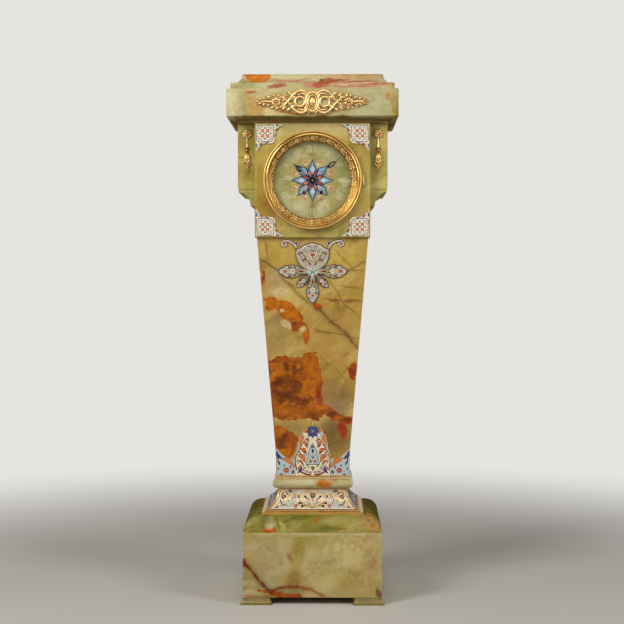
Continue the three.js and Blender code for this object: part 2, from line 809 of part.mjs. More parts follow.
// Gilt drops on the wings: rosette, stem, bud and berries, flat at the back
function addDrops() {
  const face = headWall + seam - headDepth / 2;
  const top = capZ - dropRise;
  const profileShares = [
    [0, 1], [0.42, 0.96], [0.5, 0.88], [0.28, 0.82], [0.6, 0.7], [0.55, 0.6], [0.32, 0.52],
    [0.5, 0.46], [0.5, 0.42], [0.2, 0.4], [0.2, 0.14], [0, 0.12],
  ];
  for (const [name, side] of [['drop_left', -1], ['drop_right', 1]]) {
    const x = side * ((panelWidth + wingWidth) / 2 - dropInset);
    const profile = profileShares.map(([radius, down]) => [radius * dropRosette * 2, top - dropLength * down]);
    const turned = uprightTurning(profile, smallSides, x, face);
    const wide = 2 * dropRosette;
    const front = block(x - wide, x + wide, face - wide, face - seam, top - dropLength - overrun, top);
    const rosette = frontPrism(disc(dropRosette), face - seam, face - dropDepth, x, top - dropRosette);
    add(name, join([common(turned, front), rosette]), gilt);
  }
}

// Enamel spandrels in the corners of the dial panel
function addSpandrels() {
  const outlineShares = [
    [0, 0], [1, 0], [1, 0.12], [0.8, 0.2], [0.7, 0.34], [0.72, 0.5], [0.66, 0.66],
    [0.5, 0.72], [0.34, 0.7], [0.2, 0.8], [0.12, 1], [0, 1],
  ];
  const back = panelFront - seam;
  const reachX = panelWidth / 2 - spandrelMargin;
  const reachZ = headHeight / 2 - spandrelMargin;
  for (const [level, signZ] of [['upper', 1], ['lower', -1]]) {
    for (const [side, signX] of [['left', -1], ['right', 1]]) {
      const outline = outlineShares.map(([x, z]) => [
        signX * (reachX - spandrelLeg * x),
        signZ * (reachZ - spandrelLeg * z),
      ]);
      const plate = frontPrism(shapeOf(outline), back, back - spandrelThickness, 0, dialZ);
      add(`spandrel_${level}_${side}`, plate, enamel);
    }
  }
}

// Seat ring with its false plate, dial, enamel star, hinged bezel and glass
function addDial() {
  const seatOuter = seatHoleRadius - seam;
  const seatInner = seatOuter - seatWall;
  const holes = (y0, y1) => [
    drill(dialCentreHole, y0, y1),
    ...[-1, 1].map((side) => drill(windingHoleRadius, y0, y1, side * windingHoleSide, windingZ)),
  ];
  const flange = seatHoleRadius + seatFlangeReach;
  const ring = frontTurning([
    [0, dialBack], [seatInner, dialBack], [seatInner, flangeFront], [flange, flangeFront],
    [flange, panelFront - seam], [seatOuter, panelFront - seam], [seatOuter, falseBack], [0, falseBack],
  ], roundSides);
  const posts = postAngles.map((degrees) => {
    const [x, z] = polar(plateRadius - postInset, degrees);
    return pin(postRadius, falseBack - falsePlateThickness / 2, frontPlateFace, x, dialZ + z);
  });
  const hingeX = bezelRadius + hingeReach;
  const hingeY = flangeFront - hingeRadius + seatFlange / 2;
  const knuckle = hingeKnuckle / 2;
  const [low, high] = [dialZ - knuckle, dialZ + knuckle];
  const knuckleRod = (radius, extra) =>
    uprightRod(radius, low - extra, high + extra, smallSides, hingeX, hingeY);
  const seatLeaf = block(seatOuter, hingeX, flangeFront, panelFront - seam, low, high);
  const seat = join([ring, seatLeaf, knuckleRod(hingeRadius, 0), ...posts]);
  const pinHole = knuckleRod(hingePinRadius + seam, overrun);
  add('dial_seat', cut(seat, [pinHole, ...holes(dialBack, falseBack)]), brass);

  const dial = frontRod(seatInner - seam, dialFront, dialBack, roundSides, 0, dialZ);
  add('dial', cut(dial, holes(dialFront, dialBack)), onyx);

  const notchShare = 0.56;
  const outline = [];
  for (let i = 0; i < 2 * starPoints; i++) {
    outline.push(polar(starRadius * (i % 2 ? notchShare : 1), i * 180 / starPoints));
  }
  const starFront = dialFront - starThickness;
  const star = frontPrism(shapeOf(outline), dialFront, starFront, 0, dialZ);
  add('dial_star', cut(star, holes(starFront, dialFront)), enamelBlue);
  addBezel(hingeX, hingeY, knuckle);
}

function addBezel(hingeX, hingeY, knuckle) {
  const coveOuter = bezelRadius - beadWidth;
  const bandOuter = coveOuter - coveWidth;
  const beadRound = beadWidth / 2;
  const coveFloor = bezelFront + coveDepth;
  const bead = [];
  const cove = [];
  const band = [];
  for (let i = 0; i <= bezelRings; i++) {
    const turn = i / bezelRings * Math.PI;
    const dip = beadRound * (1 - Math.sin(turn));
    bead.push([bezelRadius - beadRound * (1 - Math.cos(turn)), bezelFront + dip]);
    const rise = (coveDepth - beadRound) * (1 - Math.sin(turn / 2)) ** 2;
    cove.push([coveOuter - coveWidth * Math.sin(turn / 2), coveFloor - rise]);
    band.push([bandOuter - bandWidth * i / bezelRings, coveFloor - bandCrown * Math.sin(turn)]);
  }
  const rebate = sightRadius + glassHold;
  const glassFront = bezelBack - glassThickness;
  const ring = frontTurning([
    [bezelRadius, bezelBack], ...bead, ...cove.slice(1), ...band.slice(1),
    [sightRadius, glassFront - seam], [rebate + seam, glassFront - seam], [rebate + seam, bezelBack],
    [bezelRadius, bezelBack],
  ], roundSides);
  const hingeEnd = knuckle + hingeEndKnuckle;
  const knuckleRod = (radius, z0, z1) => uprightRod(radius, z0, z1, smallSides, hingeX, hingeY);
  const pieces = [ring, knuckleRod(hingePinRadius, dialZ - hingeEnd, dialZ + hingeEnd)];
  for (const [near, far] of [[-knuckle - seam, -hingeEnd], [knuckle + seam, hingeEnd]]) {
    const [z0, z1] = [dialZ + Math.min(near, far), dialZ + Math.max(near, far)];
    pieces.push(knuckleRod(hingeRadius, z0, z1));
    pieces.push(block(coveOuter, hingeX, bezelBack - hingeRadius, bezelBack, z0, z1));
  }
  add('bezel_ring', join(pieces), gilt);
  add('bezel_glass', frontRod(rebate, glassFront, bezelBack, roundSides, 0, dialZ), glass);
}

// Turns a drawing of a hand clockwise, as seen from the front, from its upright place.
function placeHand(shape, degrees, back, extra = 0) {
  const solid = slabOf(shape, handThickness + 2 * extra).rotateZ(-radians(degrees));
  return solid.applyMatrix4(upright).translate(0, back + extra, dialZ);
}

// A pierced hand: a hub with its hole, a stem, an open lens and a fine tip.
function addHand(name, length, degrees, hub, hole, back) {
  const halfStem = hub / 6;
  const stem = (low, high) => shapeOf([
    [-halfStem, length * low], [halfStem, length * low],
    [halfStem / 2, length * high], [-halfStem / 2, length * high],
  ]);
  const lens = (low, high, width) => leaf([0, length * low], [0, length * high], width);
  const lensShares = [0.54, 0.84];
  const piercingShares = [0.6, 0.78];
  const [low, high] = lensShares;
  const [holeLow, holeHigh] = piercingShares;
  const stems = [stem(0, (low + holeLow) / 2), stem((high + holeHigh) / 2, 1)];
  const shapes = [disc(hub), ...stems, lens(low, high, handLensWidth)];
  const body = join(shapes.map((shape) => placeHand(shape, degrees, back)));
  const piercing = placeHand(lens(holeLow, holeHigh, handPiercingWidth), degrees, back, overrun);
  add(name, cut(body, [piercing, drill(hole, back - handThickness, back)]), bluedSteel);
}

// Motion work between the false plate and the front plate, and the hands
function addMotionWork() {
  const driveModule = 2 * motionCentres / (cannonTeeth + minuteWheelTeeth);
  const hourModule = 2 * motionCentres / (hourPinionTeeth + hourWheelTeeth);
  const wheel = (shape, back, thickness, z = dialZ) => frontPrism(shape, back, back - thickness, 0, z);
  const studZ = dialZ + motionCentres;
  const driveBack = frontPlateFace - handGap;
  const hourBack = driveBack - wheelThickness - handGap - wheelThickness;

  const tip = minuteHandBack - handThickness - handGap / 2;
  const arbor = frontTurning([
    [0, tip], [palletArborRadius, tip], [palletArborRadius, minuteHandBack + seam],
    [centreArborRadius, minuteHandBack + seam], [centreArborRadius, backPlateFace - overrun],
    [pivotRadius, backPlateFace - overrun], [pivotRadius, backPlateBack - seam], [0, backPlateBack - seam],
  ], smallSides);
  const cannon = wheel(gear(cannonTeeth, driveModule, 90), driveBack, wheelThickness + handGap);
  const centreModule = 2 * centreWheelRadius / centreWheelTeeth;
  const centreWheelBack = frontPlateBack + centreWheelOffset + wheelThickness;
  const centreWheel = wheel(gear(centreWheelTeeth, centreModule, 0), centreWheelBack, wheelThickness);
  add('centre_arbor', join([arbor, cannon, centreWheel]), steel);

  const minuteTooth = 270 + 180 / minuteWheelTeeth;
  const minuteShape = gear(minuteWheelTeeth, driveModule, minuteTooth);
  const minuteGear = wheel(minuteShape, driveBack, wheelThickness, studZ);
  const pinionBack = driveBack - wheelThickness / 2;
  const pinionLength = pinionBack - hourBack + wheelThickness;
  const pinion = wheel(gear(hourPinionTeeth, hourModule, 270), pinionBack, pinionLength, studZ);
  const studHole = pin(palletArborRadius + seam, falseBack, frontPlateFace, 0, studZ);
  add('minute_wheel', cut(join([minuteGear, pinion]), [studHole]), brass);

  const hourTooth = 90 + 180 / hourWheelTeeth;
  const hourGear = wheel(gear(hourWheelTeeth, hourModule, hourTooth), hourBack, wheelThickness);
  const pipeFront = hourHandBack - handThickness - seam;
  const pipe = pin(pipeRadius, pipeFront, hourBack);
  const bore = drill(pipeRadius - pipeWall, pipeFront, hourBack);
  add('hour_wheel', cut(join([hourGear, pipe]), [bore]), brass);

  const [hourHole, minuteHole] = [pipeRadius + seam, palletArborRadius + seam];
  addHand('hour_hand', hourHandLength, hourHandAngle, hourHandHub, hourHole, hourHandBack);
  addHand('minute_hand', minuteHandLength, minuteHandAngle, minuteHandHub, minuteHole, minuteHandBack);
}

// Plates, pillars, barrels, winding arbors and the escapement
function addMovement() {
  const stud = pin(palletArborRadius, falseBack + seam, frontPlateBack - plateThickness / 2,
    0, dialZ + motionCentres);
  const pivots = (y0, y1) => [
    pin(pivotRadius + seam, y0, y1, 0, dialZ + escapeRise),
    pin(palletArborRadius + seam, y0, y1, 0, palletZ),
    pin(palletArborRadius + seam, y0, y1, hammerSide, hammerPivotZ),
    ...[-1, 1].map((side) => pin(windingArborRadius + seam, y0, y1, side * windingHoleSide, windingZ)),
  ];
  const frontPlate = join([frontRod(plateRadius, frontPlateFace, frontPlateBack, plainSides), stud]);
  add('movement_front_plate', cut(frontPlate, [
    drill(centreArborRadius + seam, frontPlateFace, frontPlateBack),
    ...pivots(frontPlateFace - seam, frontPlateBack + overrun),
  ]), brass);
  addBackPlate(pivots);

  const barrelFront = frontPlateBack + (plateSpace - barrelHeight) / 2;
  const barrelBack = barrelFront + barrelHeight;
  const keyHalf = windingSquare / 2;
  const [keyFront, keyBack] = [dialFront + windingEndDepth, frontPlateFace + overrun];
  for (const [name, side] of [['strike', -1], ['going', 1]]) {
    const x = side * windingHoleSide;
    const drum = frontRod(barrelRadius, barrelFront, barrelBack, plainSides, x, windingZ);
    const bore = drill(windingArborRadius + seam, barrelFront, barrelBack, x, windingZ);
    add(`${name}_barrel`, cut(drum, [bore]), brass);
    const shaft = pin(windingArborRadius, frontPlateFace, backPlateBack - seam, x, windingZ);
    const key = block(x - keyHalf, x + keyHalf, keyFront, keyBack, windingZ - keyHalf, windingZ + keyHalf);
    add(`winding_arbor_${name}`, join([shaft, key]), steel);
  }

  const escapeModule = 2 * escapeRadius / (escapeTeeth + 2 * addendumShare);
  const escapeShape = gear(escapeTeeth, escapeModule, 0);
  const escapeZ = dialZ + escapeRise;
  const escapeWheel = frontPrism(escapeShape, escapeBack, escapeBack - wheelThickness, 0, escapeZ);
  const escapeArbor = pin(pivotRadius, frontPlateFace + seam, backPlateBack - seam, 0, escapeZ);
  add('escape_wheel', join([escapeWheel, escapeArbor]), brass);
}

// The back plate carries the pillars, the cock with the suspension block, and the bell's standard.
function addBackPlate(pivots) {
  const rooted = backPlateBack - plateThickness / 2;
  const pillars = pillarAngles.map((degrees) => {
    const [x, z] = polar(plateRadius - pillarInset, degrees);
    return pin(pillarRadius, frontPlateBack, rooted, x, dialZ + z);
  });
  const [cockLow, cockHigh] = [palletZ - cockHeight / 2, palletZ + cockHeight / 2];
  const cockFoot = cockReach - cockHeight * 3 / 4;
  const cockMiddle = cockFront + cockThickness / 2;
  const bridge = block(-cockReach, cockReach, cockFront, cockBack, cockLow, cockHigh);
  const feet = [[-cockReach, -cockFoot], [cockFoot, cockReach]].map(([x0, x1]) =>
    block(x0, x1, rooted, cockMiddle, cockLow, cockHigh));
  const suspensionHalf = suspensionWidth / 2;
  const suspension = block(-suspensionHalf, suspensionHalf, cockMiddle, cockBack + suspensionDepth,
    palletZ - seam, cockHigh);

  const [postX, postDrop] = polar(plateRadius - bellPostInset, bellPostAngle);
  const postZ = dialZ + postDrop;
  const armFront = bellCrownY + seam;
  const armBack = armFront + bellArmThickness;
  const armPath = [[postX, postZ], [postX / 2, bellZ + postX / 3], [0, bellZ]];
  const bellPost = pin(bellPostRadius, rooted, armBack, postX, postZ);
  const bellArm = frontPrism(ribbon(armPath, bellArmWidth), armBack, armFront);
  const bellStud = pin(centreArborRadius, armFront - bellGap, armFront + bellArmThickness / 2, 0, bellZ);
  const backPlate = join([
    frontRod(plateRadius, backPlateFace, backPlateBack, plainSides),
    ...pillars, ...feet, bridge, suspension, bellPost, bellArm, bellStud,
  ]);
  add('movement_back_plate', cut(backPlate, [
    drill(pivotRadius + seam, backPlateFace, backPlateBack),
    ...pivots(backPlateFace - overrun, backPlateBack + overrun),
    pin(palletArborRadius + seam, cockFront - overrun, cockBack - seam, 0, palletZ),
  ]), brass);
}

// Anchor with its arbor and crutch, and the pendulum
function addPendulum() {
  const tip = (escapeRadius + palletClearance) / Math.SQRT2;
  const drop = palletRise - escapeRise - tip;
  const anchorShares = [[-1, -1], [-1.15, -0.55], [-0.5, -0.1], [0, 0.1], [0.5, -0.1], [1.15, -0.55], [1, -1]];
  const anchorPath = anchorShares.map(([x, z]) => [x * tip, z * drop]);
  const anchorFront = escapeBack - wheelThickness;
  const anchor = frontPrism(ribbon(anchorPath, palletWidth), escapeBack, anchorFront, 0, palletZ);
  const hub = pin(palletArborRadius * 2, anchorFront, escapeBack, 0, palletZ);
  const arbor = pin(palletArborRadius, frontPlateFace + seam, cockFront + cockThickness / 2, 0, palletZ);

  const crutchFront = backPlateBack + crutchOffset;
  const crutchBack = crutchFront + crutchThickness;
  const crutchZ = palletZ - crutchLength;
  const prongInner = pendulumRodRadius + seam;
  const prongOuter = prongInner + prongThickness;
  const prongTop = crutchZ + 2 * prongThickness;
  const prongBack = pendulumY + prongInner;
  const crutch = block(-palletArborRadius, palletArborRadius, crutchFront, crutchBack, crutchZ, palletZ);
  const fork = block(-prongOuter, prongOuter, crutchFront, crutchBack, crutchZ, prongTop);
  const prongs = [[-prongOuter, -prongInner], [prongInner, prongOuter]].map(([x0, x1]) =>
    block(x0, x1, crutchFront, prongBack, crutchZ, prongTop));
  add('pallet_anchor', join([anchor, hub, arbor, crutch, fork, ...prongs]), steel);

  const bobZ = palletZ - pendulumLength;
  const rodFoot = bobZ - bobRadius - ratingNutHeight / 2;
  const nutHalf = ratingNutHeight / 2;
  const rod = uprightRod(pendulumRodRadius, rodFoot, palletZ - 2 * seam, smallSides, 0, pendulumY);
  const nut = uprightRod(ratingNutRadius, rodFoot - nutHalf, rodFoot + nutHalf, smallSides, 0, pendulumY);
  const lens = [];
  for (let i = 0; i <= 2 * curveRings; i++) {
    const angle = (i / curveRings - 1) * Math.PI / 2;
    lens.push([bobRadius * Math.cos(angle), pendulumY + bobThickness / 2 * Math.sin(angle)]);
  }
  add('pendulum', join([frontTurning(lens, plainSides, 0, bobZ), rod, nut]), brass);
}

// Bell behind the pendulum, and its hammer beside the rim
function addBell() {
  const curve = (radius, inset) => {
    const points = [];
    for (let i = 0; i <= curveRings; i++) {
      const angle = i / curveRings * Math.PI / 2;
      const out = bellCrown + (radius - bellCrown) * Math.cos(angle);
      points.push([out, bellRim + (bellDepth - inset) * Math.sin(angle)]);
    }
    return points;
  };
  const hole = centreArborRadius + seam;
  const outer = curve(bellRadius, 0);
  const inner = curve(bellRadius - bellWall, bellWall).reverse();
  const shell = [...outer, [hole, bellCrownY], [hole, bellCrownY - bellWall], ...inner, outer[0]];
  add('bell', frontTurning(shell, plainSides, 0, bellZ), steel);

  const headFront = bellRim;
  const headMiddle = bellRim + hammerLength / 2;
  const [headX, headRise] = polar(bellRadius + hammerGap + hammerRadius, hammerAngle);
  const headPlace = [headX, bellZ + headRise];
  const arbor = pin(palletArborRadius, frontPlateFace + seam, headMiddle, hammerSide, hammerPivotZ);
  const armShape = ribbon([[hammerSide, hammerPivotZ], headPlace], hammerArm);
  const arm = frontPrism(armShape, headMiddle, headMiddle - hammerArm);
  const head = pin(hammerRadius, headFront, bellRim + hammerLength, ...headPlace);
  add('strike_hammer', join([arbor, arm, head]), steel);
}

// Back door with its knob, and the fixed leaf of its hinge
function addBackDoor() {
  const wallBack = headDepth / 2;
  const doorFace = wallBack + seam;
  const doorOuter = doorFace + doorThickness;
  const [halfW, halfH] = [doorWidth / 2, doorHeight / 2];
  const hingeX = halfW + hingeReach;
  const hingeY = doorOuter + hingeRadius / 3;
  const knuckle = hingeKnuckle;
  const rod = (radius, z0, z1) => uprightRod(radius, z0, z1, smallSides, hingeX, hingeY);
  const plate = block(-halfW, halfW, doorFace, doorOuter, dialZ - halfH, dialZ + halfH);
  const pieces = [plate, rod(hingePinRadius, dialZ - 2 * knuckle, dialZ + 2 * knuckle)];
  const rooted = doorOuter - doorThickness / 2;
  const strapBack = doorOuter + hingeRadius / 2;
  for (const [near, far] of [[-2 * knuckle, -knuckle - seam], [knuckle + seam, 2 * knuckle]]) {
    const [z0, z1] = [dialZ + near, dialZ + far];
    pieces.push(rod(hingeRadius, z0, z1));
    pieces.push(block(halfW - hingeLeaf, hingeX, rooted, strapBack, z0, z1));
  }
  const knobX = knobInset - halfW;
  const knobTip = capDepth / 2 + seam + capMountDepth;
  const knobLength = knobTip - doorOuter;
  const knobShares = [[1, 0], [1, 0.12], [0.5, 0.2], [0.45, 0.5], [0.8, 0.6], [1, 0.76], [0.8, 0.92], [0, 1]];
  const profile = knobShares.map(([radius, out]) => [radius * knobRadius, doorOuter + knobLength * out]);
  const knob = frontTurning([[0, rooted], [knobNeck, rooted], ...profile], smallSides, knobX, dialZ);
  add('back_door', join([...pieces, knob]), brass);

  const [low, high] = [dialZ - knuckle, dialZ + knuckle];
  const leafBack = doorFace + doorThickness * 2 / 3;
  const leafPlate = block(hingeX, hingeX + hingeLeaf, doorFace, leafBack, low, high);
  const web = block(hingeX, hingeX + hingeRadius, doorFace, hingeY, low, high);
  const hinge = join([leafPlate, web, rod(hingeRadius, low, high)]);
  add('door_hinge', cut(hinge, [rod(hingePinRadius + seam, low - overrun, high + overrun)]), brass);
}

addBase();
addSpreader();
addShaft();
addHead();
addCap();
addCapMount();
addDrops();
addSpandrels();
addDial();
addMotionWork();
addMovement();
addPendulum();
addBell();
addBackDoor();

export default clock;
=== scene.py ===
"""Finishes, carved and enamelled detail, light and camera of an onyx pedestal clock."""

import json
import logging
import math
from collections.abc import Callable, Iterable, Sequence
from dataclasses import dataclass, field
from enum import Enum

import bmesh
import bpy
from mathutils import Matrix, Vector

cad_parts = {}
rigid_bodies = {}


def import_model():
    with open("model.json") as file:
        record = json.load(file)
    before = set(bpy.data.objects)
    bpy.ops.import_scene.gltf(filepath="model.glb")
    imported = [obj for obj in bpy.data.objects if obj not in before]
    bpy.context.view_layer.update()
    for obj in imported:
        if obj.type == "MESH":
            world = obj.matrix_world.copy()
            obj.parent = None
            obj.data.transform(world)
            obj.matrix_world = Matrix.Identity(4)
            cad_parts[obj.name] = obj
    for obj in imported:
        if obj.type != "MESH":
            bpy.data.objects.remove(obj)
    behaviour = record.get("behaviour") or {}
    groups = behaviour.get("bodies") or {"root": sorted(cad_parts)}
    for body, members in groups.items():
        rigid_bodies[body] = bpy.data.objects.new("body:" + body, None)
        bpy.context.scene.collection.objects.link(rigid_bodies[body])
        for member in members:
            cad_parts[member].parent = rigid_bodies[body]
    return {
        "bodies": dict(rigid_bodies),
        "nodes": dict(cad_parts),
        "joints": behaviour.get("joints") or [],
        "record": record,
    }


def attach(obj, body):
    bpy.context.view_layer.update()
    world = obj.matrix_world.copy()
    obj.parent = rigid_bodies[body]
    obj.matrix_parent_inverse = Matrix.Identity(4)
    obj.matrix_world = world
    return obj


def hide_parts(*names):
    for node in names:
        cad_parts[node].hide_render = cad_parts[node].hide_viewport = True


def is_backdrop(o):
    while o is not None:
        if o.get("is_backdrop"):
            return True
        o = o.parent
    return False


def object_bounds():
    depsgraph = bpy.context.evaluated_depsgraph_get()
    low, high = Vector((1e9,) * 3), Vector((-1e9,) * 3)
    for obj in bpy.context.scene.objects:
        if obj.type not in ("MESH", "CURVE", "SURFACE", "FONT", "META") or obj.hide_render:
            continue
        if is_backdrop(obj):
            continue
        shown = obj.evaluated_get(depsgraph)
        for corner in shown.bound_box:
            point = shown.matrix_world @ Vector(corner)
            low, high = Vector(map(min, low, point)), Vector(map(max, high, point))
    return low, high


log = logging.getLogger("pedestal_clock")

Point = tuple[float, float]
Outline = list[Point]
Spot = tuple[float, float, float]
Socket = bpy.types.NodeSocket
Seat = Callable[[float, float, float], Spot]

# Lengths of pieces are in millimetres and angles in degrees, unless said otherwise
DIAL_Z = 991.5
SHAFT_FOOT_Z = 290.0
SHAFT_HEIGHT = 568.0
SHAFT_FOOT_HALF = 83.25
SHAFT_TAPER = 47.5
SEAM = 0.3
STREAK_DEPTH = 45.0
SHARP_ANGLE = 35.0
BEVEL_ANGLE = 40.0

# How deep sheets and cells are sunk in their ground, and how far lines and faces stand off it
SHEET_ROOT = 0.2
CELL_ROOT = 0.3
CELL_LINE = 0.1
CELL_FACE = 0.22
LINE_FACE = 0.3

# The number of strips in a sheet that follows a curved face
STRIPS = 16

# A millimetre and the gap under which vertices are welded, both in metres, and a length that counts as none
MILLIMETRE = 0.001
WELD_GAP = 0.00001
TINY = 1e-6


class Body(Enum):
    """The bodies of the clock that carry pieces made here."""

    CASE = "case"
    BEZEL = "bezel"


class Side(Enum):
    """The four faces of a square course, as quarter turns from the front."""

    FRONT = 0
    RIGHT = 1
    BACK = 2
    LEFT = 3


def linear(code: str) -> tuple[float, float, float, float]:
    """Turns a web colour into the linear values that a shader takes.

    Args:
        code: The colour as #rrggbb.

    Returns:
        Red, green, blue and full opacity.
    """
    parts = [int(code[start:start + 2], 16) / 255 for start in (1, 3, 5)]
    red, green, blue = [
        part / 12.92 if part <= 0.04045 else ((part + 0.055) / 1.055) ** 2.4 for part in parts
    ]
    return red, green, blue, 1.0


class Graph:
    """Places nodes in one tree and joins their sockets."""

    def __init__(self, tree: bpy.types.NodeTree) -> None:
        """Starts on a tree.

        Args:
            tree: The material's or the group's own tree.
        """
        self.tree = tree

    def node(self, kind: str, **settings: object) -> bpy.types.Node:
        """Adds a node.

        Args:
            kind: Its type name.
            settings: Properties to set on it.

        Returns:
            The node.
        """
        made = self.tree.nodes.new(kind)
        for name, value in settings.items():
            setattr(made, name, value)
        return made

    def feed(self, socket: Socket, value: object) -> None:
        """Joins a socket to another one, or sets a plain value or a web colour on it.

        Args:
            socket: The input to feed.
            value: A socket, a web colour, a number or a tuple.
        """
        if isinstance(value, bpy.types.NodeSocket):
            self.tree.links.new(value, socket)
        elif isinstance(value, str):
            socket.default_value = linear(value)
        else:
            socket.default_value = value

    def maths(self, operation: str, *values: object) -> Socket:
        """Works out a number.

        Args:
            operation: The name of the operation.
            values: Its operands.

        Returns:
            The result's socket.
        """
        made = self.node("ShaderNodeMath", operation=operation)
        for socket, value in zip(made.inputs, values):
            self.feed(socket, value)
        return made.outputs[0]

    def vector(self, operation: str, *values: object) -> Socket:
        """Works out a vector, or a length.

        Args:
            operation: The name of the operation.
            values: Its operands.

        Returns:
            The result's socket.
        """
        made = self.node("ShaderNodeVectorMath", operation=operation)
        for socket, value in zip(made.inputs, values):
            self.feed(socket, value)
        return made.outputs["Value" if operation == "LENGTH" else "Vector"]

    def scaled(self, vector: Socket, factor: object) -> Socket:
        """Multiplies a vector by a number.

        Args:
            vector: The vector's socket.
            factor: The number or its socket.

        Returns:
            The result's socket.
        """
        made = self.node("ShaderNodeVectorMath", operation="SCALE")
        self.feed(made.inputs[0], vector)
        self.feed(made.inputs["Scale"], factor)
        return made.outputs[0]

    def tint(self, share: object, low: object, high: object) -> Socket:
        """Mixes two colours.

        Args:
            share: How much of the second one, from 0 to 1.
            low: The first colour.
            high: The second colour.

        Returns:
            The mixed colour's socket.
        """
        made = self.node("ShaderNodeMix", data_type="RGBA")
        self.feed(made.inputs[0], share)
        self.feed(made.inputs[6], low)
        self.feed(made.inputs[7], high)
        return made.outputs[2]

    def between(self, share: object, low: object, high: object) -> Socket:
        """Mixes two numbers.

        Args:
            share: How much of the second one, from 0 to 1.
            low: The first number.
            high: The second number.

        Returns:
            The mixed number's socket.
        """
        made = self.node("ShaderNodeMix", data_type="FLOAT")
        self.feed(made.inputs[0], share)
        self.feed(made.inputs[2], low)
        self.feed(made.inputs[3], high)
        return made.outputs[0]

    def step(self, value: object, low: object, high: object) -> Socket:
        """Rises smoothly from 0 to 1 while a value goes from one number to another.

        Args:
            value: The value's socket.
            low: Where the result is 0.
            high: Where the result is 1.

        Returns:
            The result's socket.
        """
        made = self.node("ShaderNodeMapRange", interpolation_type="SMOOTHSTEP")
        for name, given in (("Value", value), ("From Min", low), ("From Max", high)):
            self.feed(made.inputs[name], given)
        return made.outputs[0]

    def noise(self, place: Socket, scale: object, detail: float = 4.0, rough: float = 0.55) -> Socket:
        """Adds a cloudy noise.

        Args:
            place: The coordinates' socket.
            scale: Clouds per metre.
            detail: How many finer layers it has.
            rough: How strong the finer layers are.

        Returns:
            The noise value's socket.
        """
        return self.cloud_node(place, scale, detail, rough).outputs["Fac"]

    def cloud_node(self, place: Socket, scale: object, detail: float, rough: float) -> bpy.types.Node:
        """Adds a noise texture node.

        Args:
            place: The coordinates' socket.
            scale: Clouds per metre.
            detail: How many finer layers it has.
            rough: How strong the finer layers are.

        Returns:
            The node.
        """
        made = self.node("ShaderNodeTexNoise")
        self.feed(made.inputs["Vector"], place)
        self.feed(made.inputs["Scale"], scale)
        made.inputs["Detail"].default_value = detail
        made.inputs["Roughness"].default_value = rough
        return made

    def warped(self, place: Socket, scale: float, reach: float, detail: float = 2.0) -> Socket:
        """Pushes coordinates about by a noise.

        Args:
            place: The coordinates' socket.
            scale: Clouds per metre of the noise.
            reach: How far a point may move, in metres.
            detail: How many finer layers the noise has.

        Returns:
            The moved coordinates' socket.
        """
        colour = self.cloud_node(place, scale, detail, 0.5).outputs["Color"]
        centred = self.vector("SUBTRACT", colour, (0.5, 0.5, 0.5))
        return self.vector("ADD", place, self.scaled(centred, 2.0 * reach))

    def use(self, tree: bpy.types.NodeTree, **values: object) -> bpy.types.Node:
        """Places a group and feeds its named inputs.

        Args:
            tree: The group's tree.
            values: What each input gets, by its name.

        Returns:
            The group node.
        """
        made = self.node("ShaderNodeGroup")
        made.node_tree = tree
        for name, value in values.items():
            self.feed(made.inputs[name.replace("_", " ")], value)
        return made


class GroupGraph(Graph):
    """The graph of a node group, with the group's inputs by name."""

    def __init__(self, tree: bpy.types.NodeTree) -> None:
        """Adds the group's two ends.

        Args:
            tree: The group's tree.
        """
        super().__init__(tree)
        self.given = self.node("NodeGroupInput").outputs
        self.result = self.node("NodeGroupOutput").inputs

    def give(self, name: str, value: object) -> None:
        """Feeds one of the group's outputs."""
        self.feed(self.result[name], value)


class Effect:
    """A shader node group that is made once and used by several finishes."""

    title = "Effect"
    takes: tuple[tuple[str, str, object], ...] = ()
    gives: tuple[tuple[str, str], ...] = ()

    @classmethod
    def tree(cls) -> bpy.types.NodeTree:
        """Makes the group, or finds it if it is there already.

        Returns:
            The group's tree.
        """
        found = bpy.data.node_groups.get(cls.title)
        if found:
            return found
        made = bpy.data.node_groups.new(cls.title, "ShaderNodeTree")
        for name, kind, value in cls.takes:
            socket = made.interface.new_socket(name=name, in_out="INPUT", socket_type=kind)
            socket.default_value = value
        for name, kind in cls.gives:
            made.interface.new_socket(name=name, in_out="OUTPUT", socket_type=kind)
        cls().wire(GroupGraph(made))
        return made

    def wire(self, graph: GroupGraph) -> None:
        """Joins the group's inputs to its outputs.

        Args:
            graph: The group's graph.
        """
        raise NotImplementedError


FLOAT = "NodeSocketFloat"
VECTOR = "NodeSocketVector"


